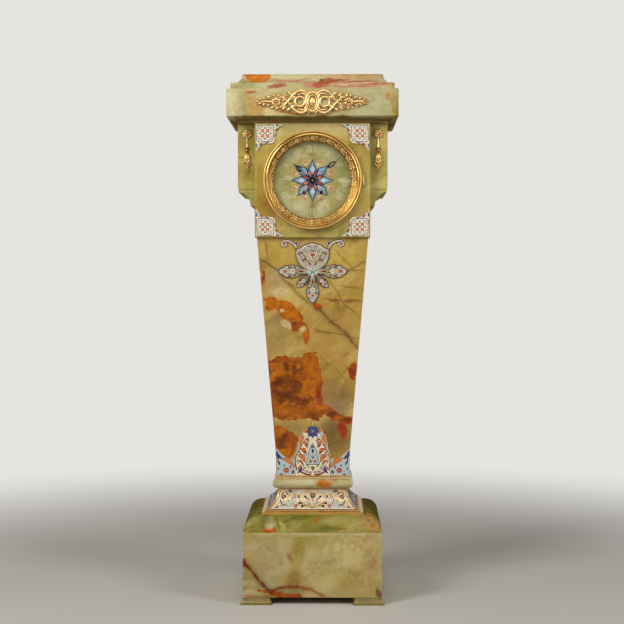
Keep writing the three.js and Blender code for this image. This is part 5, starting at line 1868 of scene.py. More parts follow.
# The feet's gilt is painted darker and duller than the other gilt: painted shade and dark reflection on
# their front faces.
FOOT_GILT = Gilding("gilt of the feet darkened with painted shade", "#9c8c58", "#685a32", 0.34, 0.5, metal=0.7)
PALE_GILT = Gilding("pale gilt bronze", "#eccb90", "#bf9150", 0.3, 0.46, metal=0.8)
LEDGE_GILT = Gilding("gilt of the ledge", "#dfb25c", "#b98838", 0.3, 0.46, metal=0.8)
CHASED_GILT = Gilding("chased gilt", "#8f6a2a", "#3a240c", 0.28, 0.46, 380.0, 0.0002, 0.9)
RING_GILT = Gilding("polished gilt ring", "#d8b062", "#c0934a", 0.1, 0.17, 300.0, 0.000004, 0.96)
BRASS = Steelwork("brass", "#c9a154", "#a47f38", 0.28, 0.42)
STEEL = Steelwork("steel", "#9a9ca0", "#6f7278", 0.28, 0.42)
# The winding squares' steel is painted near black: painted shade deep in the winding holes, over the steel's
# own grey.
SHADED_WINDING_STEEL = Steelwork("dark steel of the winding squares", "#3c3e44", "#26282c", 0.34, 0.46)
BLUED = Steelwork("blued steel", "#1d2340", "#12162c", 0.24, 0.36)
BELL = Steelwork("bell metal", "#b9a684", "#93805e", 0.22, 0.36)
IRON = Steelwork("iron", "#4a4643", "#302c2a", 0.5, 0.7, 300.0)
WALNUT = Timber("walnut")
GLASS = Glazing("dial glass")
CREAM = EnamelGround("cream enamel ground", "#faf0d4", "#c09c58", line_share=0.45)
SKY_GROUND = EnamelGround("sky enamel ground", "#cdd5cd", "#b0844c", scale=250.0, line_share=0.8)
FINE_CREAM = EnamelGround("fine cream enamel ground", "#f2e2bc", "#a8763a", cool="#6f8fae", scale=240.0,
                          line_share=0.85)
# The blue ground is blue enamel on the shaft's collar and painted shade standing in for cream on the
# spreader's left and right panels; the slate ground is those panels' white cells in painted shade.
BLUE_GROUND_AND_SIDE_SHADE = EnamelGround("blue enamel ground", "#71838f", "#36435a", "#8e2f3a", "#b9b29c", "#6a7444",
                           gloss=0.0, coat=0.0)
SIDE_SHADE_WHITE_GROUND = EnamelGround("slate enamel ground", "#5d6c7a", "#39465a", gloss=0.0, coat=0.0)
PENDANT_GROUND = EnamelGround("grey enamel ground", "#c9bda2", "#8c7a58", "#a8443a", "#7d9fb4", "#7d8a54",
                              250.0)
FINE_GILT = Gilding("fine gilt lines", "#c9a05a", "#8f6a30", 0.34, 0.5, metal=0.6)
DIAL_GOLD = Enamel("gold paint of the dial", "#d2c79a", "#b8ac7a", 0.35)
STAR_BLUE = Enamel("blue enamel of the star", "#86abc8", "#6c90b2")
STAR_WHITE = Enamel("white enamel of the star", "#cdcdd2", "#b2b8c6")
PALE_BLUE = Enamel("pale blue enamel", "#c2d6da", "#a6c0ca")
NAVY = Enamel("navy enamel", "#1e2444", "#151a34")
COBALT = Enamel("cobalt enamel", "#3a3f94", "#2a2e74")
CRIMSON = Enamel("crimson enamel", "#8c2430", "#701b26")
RED = Enamel("red enamel", "#b5402c", "#983222")
ORANGE = Enamel("orange enamel", "#e5842c", "#cc6a1e")
PINK = Enamel("pink enamel", "#d79a90", "#c48478")
GREEN = Enamel("green enamel", "#5f7a3e", "#4c6630")
LIME = Enamel("yellow green enamel", "#b7b348", "#9c9a38")
WHITE = Enamel("white enamel", "#ece4d2", "#dcd2bc")
PLUM = Enamel("plum enamel", "#43283a", "#321c2a")
COLLAR_RED = Enamel("red lacquer of the collars", "#8c3a24", "#6c2a1a", 0.3)


def quarter(start: Point, end: Point, upright: bool, steps: int = 12) -> list[Point]:
    """Draws a quarter curve of a moulding.

    Args:
        start: Where it starts, as inset and height.
        end: Where it ends.
        upright: Whether it starts upright, or level.
        steps: Its number of steps.

    Returns:
        The curve's points.
    """
    points: list[Point] = []
    for number in range(steps + 1):
        angle = math.pi / 2 * number / steps
        slow, fast = 1 - math.cos(angle), math.sin(angle)
        across, up = (slow, fast) if upright else (fast, slow)
        points.append((start[0] + (end[0] - start[0]) * across, start[1] + (end[1] - start[1]) * up))
    return points


@dataclass
class Courses:
    """The moulded courses: feet, hood, bullnose slab and cap, with their curves drawn in full."""

    edge: float = 1.0
    foot_half: float = 37.0
    foot_middle: float = 131.0
    hood_half: float = 162.5
    torus_half: float = 95.5
    cap_half: Point = (200.0, 165.0)
    step_half: Point = (191.0, 156.0)

    def build(self) -> None:
        """Makes all the courses."""
        self.add_feet()
        self.add_course("hood_course", "plinth_hood", HOOD_ONYX,
                        quarter((0, 169), (40.5, 204), True), (self.hood_half, self.hood_half), 2.0)
        bullnose = []
        for number in range(17):
            angle = math.pi * (number / 16 - 0.5)
            bullnose.append((11 - 11 * math.cos(angle), 273 + 11 * math.sin(angle)))
        self.add_course("bullnose_course", "shaft_torus", TORUS_ONYX, bullnose,
                        (self.torus_half, self.torus_half), 1.5)
        slab = quarter((23.5, 1125), (self.edge, 1138), True)
        slab += [(0, 1139), (0, 1202 - self.edge), (self.edge, 1202)]
        self.add_course("cap_course", "cap_slab", CAP_ONYX, slab, self.cap_half, 6.0, 1)
        step = [(0, 1202), (0, 1217 - self.edge), (self.edge, 1217), (self.edge + 1.5, 1217)]
        step += quarter((self.edge + 1.5, 1217), (26, 1239.2), False) + [(26.8, 1240)]
        self.add_course("cap_step_course", "cap_top", STEP_ONYX, step, self.step_half, 6.0, 1)

    def add_course(self, name: str, node: str, finish: Finish, profile: Sequence[Point],
                   half: Point, corner: float, steps: int = 3) -> None:
        """Makes one course in place of its node.

        Args:
            name: The piece's name.
            node: The node that it stands for.
            finish: Its finish.
            profile: Its profile, as inset and height.
            half: Half its width and half its depth.
            corner: The radius of its corners.
            steps: The steps in each corner.
        """
        course = Relief(name)
        course.course(profile, half, corner, finish, steps)
        course.piece(Body.CASE, replaces=(node,))

    def add_feet(self) -> None:
        """Makes the four bracket feet."""
        shoulder = quarter((1.2, 4.3), (5, 16.5), False, 8)
        profile = [(0.5, 0), (0, 0.5), (0, 3.6), (0.5, 4.1), *shoulder, (5.5, 17)]
        for end, sign_y in (("front", -1), ("back", 1)):
            for side, sign_x in (("left", -1), ("right", 1)):
                foot = Relief(f"bracket_foot_{end}_{side}")
                middle = (sign_x * self.foot_middle, sign_y * self.foot_middle)
                foot.course(profile, (self.foot_half, self.foot_half), 1.2, FOOT_GILT, 3, middle)
                foot.piece(Body.CASE, replaces=(f"foot_{end}_{side}",))


@dataclass
class Spreader:
    """The flared casing with an enamel panel in a gilt frame on each side."""

    foot_z: float = 210.0
    height: float = 52.0
    top_half: float = 81.5
    flare: float = 34.0
    power: float = 2.5
    sheet: float = 0.8
    levels: int = 24

    def half(self, up: float) -> float:
        """Gives half the casing's width at a height above its foot."""
        return self.top_half + self.flare * (1 - up / self.height) ** self.power

    def seat(self, across: float, up: float, rise: float) -> Spot:
        """Lays a drawing on the flared front face.

        Args:
            across: Its place across, as it would be at the top.
            up: Its height above the foot.
            rise: How far it stands off the gilt.

        Returns:
            The spot in millimetres.
        """
        up = min(max(up, 0.0), self.height)
        half = self.half(up)
        steep = self.flare * self.power / self.height * (1 - up / self.height) ** (self.power - 1)
        lean = 1 / math.hypot(1, steep)
        out = half + (rise - self.sheet) * lean
        return across * half / self.top_half, -out, self.foot_z + up + rise * steep * lean

    def build(self) -> None:
        """Makes the casing and its four panels."""
        casing = Relief("flared_casing")
        outer = self.top_half + self.flare
        ups = [self.height * number / self.levels for number in range(self.levels + 1)]
        profile = [(outer - self.half(up) + self.sheet, self.foot_z + up) for up in ups]
        casing.course(profile, (outer, outer), 1.2, GILT, 2)
        casing.piece(Body.CASE, replaces=("spreader_casing",))
        for side in Side:
            panel = Relief(f"flared_panel_{side.name.lower()}", zipped=True)
            # The left and right panels take a blue-grey ground instead of the front's cream: painted shade
            # on the sides.
            ground = FINE_CREAM if side in (Side.FRONT, Side.BACK) else BLUE_GROUND_AND_SIDE_SHADE
            self.add_panel(panel, turned_seat(self.seat, side), ground)
            panel.piece(Body.CASE)

    def add_panel(self, panel: Relief, seat: Seat, ground: Finish) -> None:
        """Draws one panel.

        Args:
            panel: The piece that gets it.
            seat: The face.
            ground: The enamel of its ground.
        """
        panel.sheet(seat, (-78.4, 78.4), (3.6, 49.2), 0.5, PLUM)
        panel.sheet(seat, (-77.3, 77.3), (4.6, 48.2), 0.8, ground)
        frame = [(-79.6, 2.2), (79.6, 2.2), (79.6, 50.2), (-79.6, 50.2)]
        for start, end in zip(frame, frame[1:] + frame[:1]):
            spine = [tuple(a + (b - a) * number / STRIPS for a, b in zip(start, end))
                     for number in range(STRIPS + 1)]
            panel.drawn_wire(spine, seat, 0.9, 0.9, PALE_GILT)
        draw = Brush(panel, seat, 0.8)
        if ground is FINE_CREAM:
            sky = [leaf((35, 30), (60, 11), 11, 0.5, -0.1), leaf((31, 11), (64, 9), 6),
                   leaf((38, 44), (50, 40), 5)]
            draw.cells(SKY_GROUND, sky, line=FINE_GILT, edge=0.8)
        dots = ((32.5, 31, 2.6, 3.0), (27, 17, 3.0, 2.6), (20, 11, 2.6, 2.4))
        draw.cells(PLUM, [oval(*dot, 12) for dot in dots], line=FINE_GILT)
        draw.flower((54, 44), 4.6, 8, PLUM, ORANGE, True)
        heart = [(0, 8), (13, 13), (25, 20), (31, 30), (26, 40), (12, 43), (0, 39)]
        # On the left and right panels the white cells are painted slate: painted shade.
        pale = WHITE if ground is FINE_CREAM else SIDE_SHADE_WHITE_GROUND
        draw.cells(pale, [leaf((28, 8), (66, 7), 5, 0.5), leaf((12, 45), (40, 46), 4, 0.5)], line=PALE_BLUE)
        draw.line(heart, 2.2, FINE_GILT, both=True)
        draw.line(heart, 0.7, PLUM, both=True)
        draw.line([(0, 12), (11, 17), (20, 24), (24, 31), (19, 37), (9, 38), (0, 34)], 1.0, GILT, both=True)
        for finish, x, z, reach, count in (
            (NAVY, 0, 34, 7.0, 8), (RED, 0, 34, 4.6, 8), (NAVY, 66, 30, 5.6, 8), (RED, 34, 10, 4.8, 6),
        ):
            draw.flower((x, z), reach, count, finish, ORANGE, both=x > 0)
        draw.line([(49, 40), (53, 33), (62, 24), (72, 13)], 3.0, GILT, both=True, end=1.6)
        draw.line([(46, 43), (58, 43), (70, 40), (73, 31)], 1.4, PLUM, both=True)
        draw.line([(40, 16), (46, 24), (44, 33), (38, 38)], 1.6, PLUM, both=True)
        draw.line([(72, 24), (62, 15), (54, 13), (46, 8)], 1.5, NAVY, both=True)
        draw.leaves(NAVY, 3.6, (20, 15, 27, 19), (50, 8, 60, 11), (14, 27, 20, 33))
        draw.leaves(RED, 3.2, (6, 22, 15, 27), (56, 34, 64, 40), (38, 24, 41, 31), (64, 9, 71, 8))
        draw.leaves(PALE_BLUE, 3.0, (4, 15, 12, 20), (30, 42, 40, 44), (60, 18, 69, 20), (27, 12, 33, 18))
        draw.leaves(LIME, 2.4, (12, 10, 20, 11), (50, 20, 56, 24), (34, 29, 36, 37))
        draw.leaves(ORANGE, 2.6, (0.5, 20, 3, 28), (42, 42, 47, 37), (70, 33, 73, 42))


class Brush:
    """Lays enamel cells and metal lines on one face of a relief."""

    def __init__(self, relief: Relief, seat: Seat, rise: float) -> None:
        """Takes the face.

        Args:
            relief: The piece that gets the cells.
            seat: The face.
            rise: The rise of the ground.
        """
        self.relief = relief
        self.seat = seat
        self.rise = rise

    def cells(self, finish: Finish, outlines: Iterable[Outline], both: bool = True,
              line: Finish | None = None, edge: float = 0.5) -> None:
        """Lays cells.

        Args:
            finish: Their finish.
            outlines: Their outlines.
            both: Whether each one is repeated on the other side of the middle line.
            line: The finish of the line round each cell.
            edge: The width of that line.
        """
        for outline in outlines:
            for drawn in ((outline, mirrored(outline)) if both else (outline,)):
                self.relief.cell(drawn, self.seat, self.rise, finish, line or PLUM, edge)

    def leaves(self, finish: Finish, width: float, *ends: Sequence[float], both: bool = True,
               line: Finish | None = None) -> None:
        """Lays leaves.

        Args:
            finish: Their finish.
            width: Their greatest width.
            ends: The stem and the tip of each, across and up.
            both: Whether each one is repeated on the other side of the middle line.
            line: The finish of the line round each leaf.
        """
        self.cells(finish, [leaf(end[:2], end[2:], width, 0.55, 0.08) for end in ends], both, line, 0.4)

    def line(self, points: Sequence[Point], width: float, finish: Finish, both: bool = False,
             end: float | None = None) -> None:
        """Lays a curved line.

        Args:
            points: The points that it passes.
            width: Its width at the start.
            finish: Its finish.
            both: Whether it is repeated on the other side of the middle line.
            end: Its width at the end, if that differs.
        """
        outline = ribbon(points, width, width if end is None else end)
        for drawn in ((outline, mirrored(outline)) if both else (outline,)):
            self.relief.plate(drawn, self.seat, self.rise - CELL_ROOT, self.rise + LINE_FACE, finish)

    def flower(self, middle: Point, reach: float, count: int, finish: Finish, heart: Finish,
               both: bool = False) -> None:
        """Lays a flower with a round heart.

        Args:
            middle: Its middle.
            reach: The radius of its petals' tips.
            count: The number of petals.
            finish: The petals' finish.
            heart: The heart's finish.
            both: Whether it is repeated on the other side of the middle line.
        """
        for sign in ((1, -1) if both else (1,)):
            spot = (middle[0] * sign, middle[1])
            drawn = petals(spot, count, reach * 0.22, reach, reach * 4.2 / count)
            self.cells(finish, drawn, False, GILT, 0.25)
            boss = oval(*spot, reach * 0.3, reach * 0.3, 12)
            self.relief.dome(boss, self.seat, self.rise, self.rise + 0.6, heart, 3)


@dataclass
class Apron:
    """The enamel boot round the foot of the shaft."""

    foot_z: float = 290.3
    half: float = 88.04
    height: float = 45.0
    peak: float = 136.0
    ear: float = 1.5
    shares: tuple[Point, ...] = (
        (0.98, 0), (0.98, 0.33), (1, 0.54), (0.96, 0.5), (0.87, 0.43), (0.75, 0.36), (0.58, 0.315),
        (0.49, 0.32), (0.49, 0.37), (0.46, 0.44), (0.41, 0.52), (0.4, 0.6), (0.375, 0.665), (0.365, 0.72),
        (0.34, 0.755), (0.29, 0.76), (0.285, 0.8), (0.25, 0.84), (0.2, 0.845), (0.13, 0.822),
    )

    def build(self) -> None:
        """Makes the collar, the front and its enamel."""
        apron = Relief("enamel_apron")
        self.add_collar(apron)
        seat = shaft_seat(self.foot_z)
        right = [((self.half + self.ear) * x, self.peak * z) for x, z in self.shares]
        outline = [*right, (6, 112), (3.4, 126), (0, self.peak), (-3.4, 126), (-6, 112), *mirrored(right)]
        apron.plate(outline, seat, 0, 2.6, GILT, 0.5)
        apron.plate(grown(outline, -1.8), seat, 0.5, 2.9, PALE_BLUE, 0.1)
        draw = Brush(apron, seat, 2.9)
        dome = [(42, 2), (43, 22), (41.5, 45), (37, 58), (31, 70), (31, 80), (25.5, 92), (20.5, 100),
                (12, 106)]
        field_outline = curve_through(dome)
        full = [*field_outline, *mirrored(field_outline)]
        apron.plate(full, seat, 0.5, 3.05, CREAM, 0.05)
        apron.drawn_wire(field_outline, seat, 3.1, 0.8, GILT)
        apron.drawn_wire([(-x, z) for x, z in field_outline], seat, 3.1, 0.8, GILT)
        draw.rise = 3.05
        rim = [(38, 15), (41, 30), (40.5, 46), (36.5, 57), (30.5, 68), (24.5, 79), (15, 92)]
        draw.line(rim, 2.8, CRIMSON, True, 1.4)
        draw.cells(ORANGE, [leaf((29, 73), (20, 97), 7.5, 0.5, -0.15)], line=GILT, edge=0.9)
        flames = [leaf((21, 87), (31.4, 101), 8.5, 0.6, 0.1),
                  leaf((12.5, 104), (23.2, 113.4), 7.0, 0.6, 0.1)]
        draw.cells(ORANGE, flames, line=GILT, edge=0.7)
        draw.leaves(WHITE, 2.2, (27, 96.5, 32, 101.6), (18.5, 111.5, 24, 114))
        draw.line([(28, 82), (23, 92), (17, 98)], 2.2, PINK, True, 1.2)
        draw.cells(ORANGE, [leaf((12, 73), (22, 84), 7, 0.5, 0.2), leaf((16, 55), (31, 67), 9, 0.5, 0.2),
                            leaf((19, 35), (36, 53), 11, 0.5, 0.2)], line=CRIMSON, edge=0.9)
        draw.leaves(RED, 4.4, (12, 68, 20, 80), (14, 52, 23, 62), (22, 28, 33, 40), (8, 84, 17, 92))
        lancet = curve_through([(0.3, 81), (6, 71), (9.8, 62), (11.5, 52), (14.5, 40), (16.8, 29.5),
                                (8, 28.5), (0.3, 28.5)])
        whole = [*lancet, *mirrored(lancet)]
        apron.plate(whole, seat, 2.6, 3.3, NAVY)
        apron.plate(grown(whole, -1.4), seat, 2.6, 3.5, PALE_BLUE)
        draw.rise = 3.5
        draw.cells(NAVY, [oval(0, 62, 2.6, 5.2, 16)], False, WHITE)
        draw.flower((5.8, 37), 4.0, 6, RED, LIME, True)
        draw.leaves(WHITE, 2.6, (2, 46, 6, 55), (1, 30, 8, 31), (10, 33, 11, 44))
        draw.leaves(NAVY, 2.0, (0.5, 44, 4, 50), (3, 68, 1, 75))
        draw.rise = 3.05
        draw.cells(CRIMSON, [ribbon([(4, 3), (18, 6), (30, 13), (35, 22)], 3.6, 2.0)])
        scales = ((6, 10), (15, 12), (23.5, 16.5), (29.5, 24))
        draw.cells(PINK, [oval(x, z, 4.2, 3.6, 14) for x, z in scales], line=WHITE, edge=0.9)
        draw.cells(WHITE, [oval(x, z, 1.6, 1.5, 10) for x, z in scales], line=RED)
        draw.cells(COBALT, [leaf((38, 7), (27, 26), 6.5, 0.5, 0.15)], line=WHITE)
        draw.leaves(LIME, 4.0, (9, 22, 15, 28), (21, 25, 27, 31), (34, 30, 37, 42), (24, 44, 28, 52))
        draw.leaves(GREEN, 3.0, (0.6, 15, 5, 24), (17, 20, 23, 22), (18, 66, 25, 66), (33, 62, 28, 55))
        draw.cells(GREEN, [leaf((0, 13), (0, 26), 3.4)], False)
        draw.leaves(PALE_BLUE, 4.4, (19, 44, 16, 58), (17, 76, 12, 86), (36, 44, 35, 54), (14, 92, 9, 100))
        draw.rise = 2.9
        draw.cells(COBALT, [leaf((71, 42), (86, 65), 9, 0.45, -0.2)], line=WHITE, edge=0.9)
        draw.cells(ORANGE, [leaf((71, 43), (45, 23), 9.5, 0.4, -0.15)], line=RED, edge=1.2)
        draw.flower((63, 15), 7.2, 8, RED, ORANGE, True)
        draw.leaves(NAVY, 3.4, (78, 26, 84, 38), (50, 6, 47, 16))
        draw.leaves(WHITE, 3.0, (56, 4, 66, 5), (74, 12, 82, 8), (48, 28, 54, 41))
        draw.leaves(CRIMSON, 2.6, (70, 4, 80, 4), (83, 34, 85, 50), (52, 18, 56, 26))
        draw.leaves(GREEN, 3.0, (46, 8, 46, 14), (82, 15, 83, 22), (66, 24, 70, 28))
        apron.dome(oval(0, 109, 8, 8, 24), seat, 1.0, 3.6, GILT)
        draw.rise = 3.7
        draw.cells(COBALT, petals((0, 109), 8, 2.0, 15.5, 7.0, 0), False, NAVY, 0.4)
        apron.dome(oval(0, 109, 3.4, 3.4, 16), seat, 3.2, 5.2, LIME)
        for spike in petals((0, 109), 8, 3, 9.5, 1.6, 22.5):
            apron.dome(spike, seat, 2.0, 4.6, GILT, 2)
        apron.dome(leaf((0, 116), (0, 136), 7.0, 0.4), seat, 1.5, 4.6, GILT)
        for number in range(-12, 13):
            apron.dome(oval(number * 7.0, 1.8, 2.6, 1.5, 10), seat, 2.6, 3.9, GILT, 2)
        apron.piece(Body.CASE, replaces=("shaft_apron",))

    def add_collar(self, apron: Relief) -> None:
        """Adds the collar that wraps the shaft, gilt with a blue enamel band on three sides.

        Args:
            apron: The piece that gets it.
        """
        low, high = self.foot_z, self.foot_z + self.height
        rings = []
        for z, proud in ((low, 0.15), (low, 1.1), (high, 1.1), (high, 0.15)):
            outline = rounded(shaft_half(z) + proud, shaft_half(z) + proud, 0.8, 2)
            rings.append([(x, y, z) for x, y in outline])
        rings.append(rings[0])
        apron.shell(rings, GILT, caps=False)
        for side in (Side.RIGHT, Side.BACK, Side.LEFT):
            seat = turned_seat(shaft_seat(self.foot_z), side)
            apron.plate([(-81, 3), (81, 3), (83.5, 42), (-83.5, 42)], seat, 0.3, 1.3, BLUE_GROUND_AND_SIDE_SHADE, 0.1)
            draw = Brush(apron, seat, 1.3)
            for x in (-62, -31, 0, 31, 62):
                draw.flower((x, 22), 9, 8, CRIMSON if x % 2 else NAVY, ORANGE)
                if x < 62:
                    draw.leaves(WHITE, 4.5, (x + 15.5, 8, x + 15.5, 36), both=False)
                draw.leaves(PALE_BLUE, 4, (x - 8, 36, x + 8, 38), (x - 8, 7, x + 8, 6), both=False)


@dataclass
class Pendant:
    """The enamel pendant under the dial panel: lobed petals, a shield and scrolls."""

    hub_z: float = 779.0
    lobes: tuple[Point, ...] = (
        (0.06, 0.3), (0.16, 0.36), (0.22, 0.5), (0.3, 0.5), (0.36, 0.62), (0.44, 0.86), (0.52, 0.84),
        (0.56, 0.98), (0.64, 1.0), (0.69, 0.86), (0.75, 0.9), (0.82, 0.82), (0.85, 0.6), (0.91, 0.52),
        (1.0, 0.0),
    )

    def petal(self, ray: Ray, length: float, width: float) -> Outline:
        """Draws one lobed petal.

        Args:
            ray: The way it points.
            length: Its length from the hub.
            width: Its width.

        Returns:
            The outline.
        """
        flanks = [[ray.at(out * length, sign * wide * width / 2) for out, wide in self.lobes]
                  for sign in (-1, 1)]
        return [*flanks[0], *reversed(flanks[1][:-1])]

    def build(self) -> None:
        """Makes the mount and its enamel."""
        mount = Relief("enamel_pendant")
        seat = shaft_seat(self.hub_z)
        arms = ((0, 83, 34), (180, 82, 33), (270, 76, 32), (-46, 53, 21), (226, 53, 21))
        for degrees, length, width in arms:
            ray = Ray(math.radians(degrees))
            outline = self.petal(ray, length, width)
            mount.plate(outline, seat, 0, 2.2, PLUM, 0.4)
            mount.plate(grown(outline, -2.0), seat, 0.5, 2.5, PENDANT_GROUND, 0.2)
            self.add_petal_detail(Brush(mount, seat, 2.5), ray, length, width)
        self.add_shield(mount, seat)
        self.add_scrolls(mount, seat)
        mount.dome(oval(0, 0, 11, 11, 28), seat, 0, 4.2, PLUM)
        draw = Brush(mount, seat, 3.9)
        draw.cells(PALE_BLUE, petals((0, 0), 5, 2.0, 12.5, 8.0, -90), False, WHITE, 0.4)
        mount.dome(oval(0, 2, 3.4, 3.4, 14), seat, 3.5, 5.4, PENDANT_GROUND)
        mount.piece(Body.CASE, replaces=("pendant_mount",))

    def add_petal_detail(self, draw: Brush, ray: Ray, length: float, width: float) -> None:
        """Lays the cells of one petal.

        Args:
            draw: The brush that lays them.
            ray: The way the petal points.
            length: Its length.
            width: Its width.
        """
        def at(out: float, wide: float) -> Point:
            """Gives a point by its shares of the length and half the width."""
            return ray.at(out * length, wide * width / 2)

        draw.cells(PALE_BLUE, [leaf(at(0.86, 0), at(0.96, 0), width * 0.3, 0.45)], False, NAVY, 0.4)
        draw.cells(CRIMSON, [leaf(at(0.2, 0), at(0.42, 0), width * 0.13, 0.6)], False, GILT, 0.4)
        if abs(math.sin(ray.angle)) > 0.9:
            draw.cells(RED, [oval(*at(0.75, 0), width * 0.1, width * 0.1, 14)], False, WHITE, 0.7)
            pair = [oval(*at(0.63, wide), 3.4, 3.0, 12) for wide in (-0.66, 0.66)]
            draw.cells(PALE_BLUE, pair, False, NAVY, 0.4)
        else:
            cross = petals(at(0.79, 0), 4, 0.5, width * 0.15, width * 0.11, 0)
            draw.cells(ORANGE, cross, False, CRIMSON, 0.5)
        draw.cells(WHITE, [oval(*at(0.57, 0), width * 0.17, width * 0.17, 16)], False, PLUM, 0.5)
        draw.cells(RED, [oval(*at(0.57, 0), width * 0.07, width * 0.07, 10)], False, PLUM, 0.5)
        for sign in (-1, 1):
            for shares, thick, finish in (
                (((0.2, 0.2), (0.38, 0.42), (0.56, 0.6), (0.7, 0.45), (0.64, 0.3)), 0.9, PLUM),
                (((0.45, 0), (0.5, 0.36), (0.6, 0.5), (0.67, 0.3)), 0.8, GREEN),
            ):
                draw.line([at(out, sign * wide) for out, wide in shares], thick, finish)
            draw.cells(RED, [oval(*at(0.5, sign * 0.52), width * 0.05, width * 0.05, 10)], False)
            for finish, share, start, end, line in (
                (PALE_BLUE, 0.12, (0.72, 0.24), (0.82, 0.5), NAVY),
                (LIME, 0.09, (0.3, 0.12), (0.42, 0.3), None),
                (CRIMSON, 0.08, (0.6, 0.74), (0.7, 0.6), None),
                (GREEN, 0.08, (0.4, 0.2), (0.5, 0.2), None),
            ):
                ends = [part for out, wide in (start, end) for part in at(out, sign * wide)]
                draw.leaves(finish, width * share, ends, both=False, line=line)

    def add_shield(self, mount: Relief, seat: Seat) -> None:
        """Lays the shield with its heart.

        Args:
            mount: The piece that gets it.
            seat: The face.
        """
        right = [(9, 0), (27, 11), (35, 22), (40, 36), (39.5, 47), (36, 54.5), (28, 56), (25, 61), (13, 65),
                 (5, 68)]
        outline = [*right, *mirrored(right)]
        mount.plate(outline, seat, 0, 2.4, PLUM, 0.4)
        mount.plate(grown(outline, -1.8), seat, 0.5, 2.7, PENDANT_GROUND, 0.2)
        draw = Brush(mount, seat, 2.7)
        for points, width, finish in (
            ([(30, 51), (22, 53), (19, 58), (9, 61.5), (0, 63)], 2.0, WHITE),
            ([(24, 47), (17, 50), (13, 55), (0, 58)], 1.6, PALE_BLUE),
        ):
            draw.line(points, width, finish, True)
        heart = curve_through([(0.4, 24), (5, 31), (9.5, 39), (10.5, 46), (7.5, 50.5), (3.6, 50), (0.4, 46)])
        whole = [*heart, *mirrored(heart)]
        for amount, finish, high in ((1.4, PLUM, 3.0), (0.2, WHITE, 3.15), (-2.2, PENDANT_GROUND, 3.3)):
            mount.plate(grown(whole, amount), seat, 2.0, high, finish)
        draw.rise = 3.3
        draw.cells(RED, [oval(0, 39, 4.6, 3.0, 16)], False, ORANGE, 0.8)
        draw.cells(GREEN, [leaf((0, 30), (0, 36), 2.4)], False, LIME, 0.3)
        draw.line([(1.2, 45), (4, 48.5), (7.6, 47), (6.6, 44)], 1.3, PLUM, True)
        draw.rise = 2.7
        draw.line([(15, 30), (21, 38), (24, 47), (19, 53), (15, 48), (18, 44)], 1.1, PLUM, True)
        draw.line([(9, 22), (18, 26), (27, 34), (31, 42)], 0.9, PLUM, True)
        draw.line([(4, 58), (9, 61), (7, 65)], 0.9, PLUM, True)
        draw.leaves(RED, 3.4, (14, 24, 20, 31), (25, 40, 30, 46), (4, 14, 10, 20), (2, 55, 7, 59))
        draw.leaves(PALE_BLUE, 3.2, (8, 12, 16, 20), (24, 30, 31, 36), (13, 54, 20, 50), (1.5, 60, 4, 65))
        draw.leaves(LIME, 2.6, (5, 20, 12, 27), (16, 33, 19, 38), (27, 46, 33, 43))
        draw.leaves(NAVY, 2.4, (20, 22, 26, 28), (31, 38, 34, 44), (8, 56, 13, 60))

    def add_scrolls(self, mount: Relief, seat: Seat) -> None:
        """Lays the two scrolls that spring from the shield.

        Args:
            mount: The piece that gets them.
            seat: The face.
        """
        for sign in (-1, 1):
            curl = spiral((sign * 65.5, 64.5), 7.4, 95, -sign * 400, 2.4)
            stem = [(sign * x, z) for x, z in ((36.5, 44), (38, 53), (40, 60), (46, 66), (54, 70.5))]
            knot = spiral((sign * 37.5, 66.0), 3.6, 270, -sign * 290, 2.0)
            for points, start, tip in (([*stem, *curl], 6.4, 3.2), (knot, 4.6, 3.6)):
                for finish, share, high in ((PLUM, 1.0, 2.2), (WHITE, 0.56, 2.6)):
                    outline = ribbon(points, start * share, tip * share)
                    mount.plate(outline, seat, 0, high, finish)
            draw = Brush(mount, seat, 2.6)
            draw.cells(NAVY, [oval(sign * 37.5, 66, 2.2, 2.2, 12)], False, PLUM, 0.6)
            draw.cells(PINK, [oval(sign * 65.5, 64.5, 2.6, 2.6, 12)], False, PLUM, 0.8)
            draw.cells(PALE_BLUE, [leaf((sign * 45, 64), (sign * 55, 70), 1.8)], False, PLUM, 0.2)
            draw.cells(CRIMSON, [leaf((sign * 36.8, 46), (sign * 39.2, 57), 2.2)], False, PLUM, 0.2)


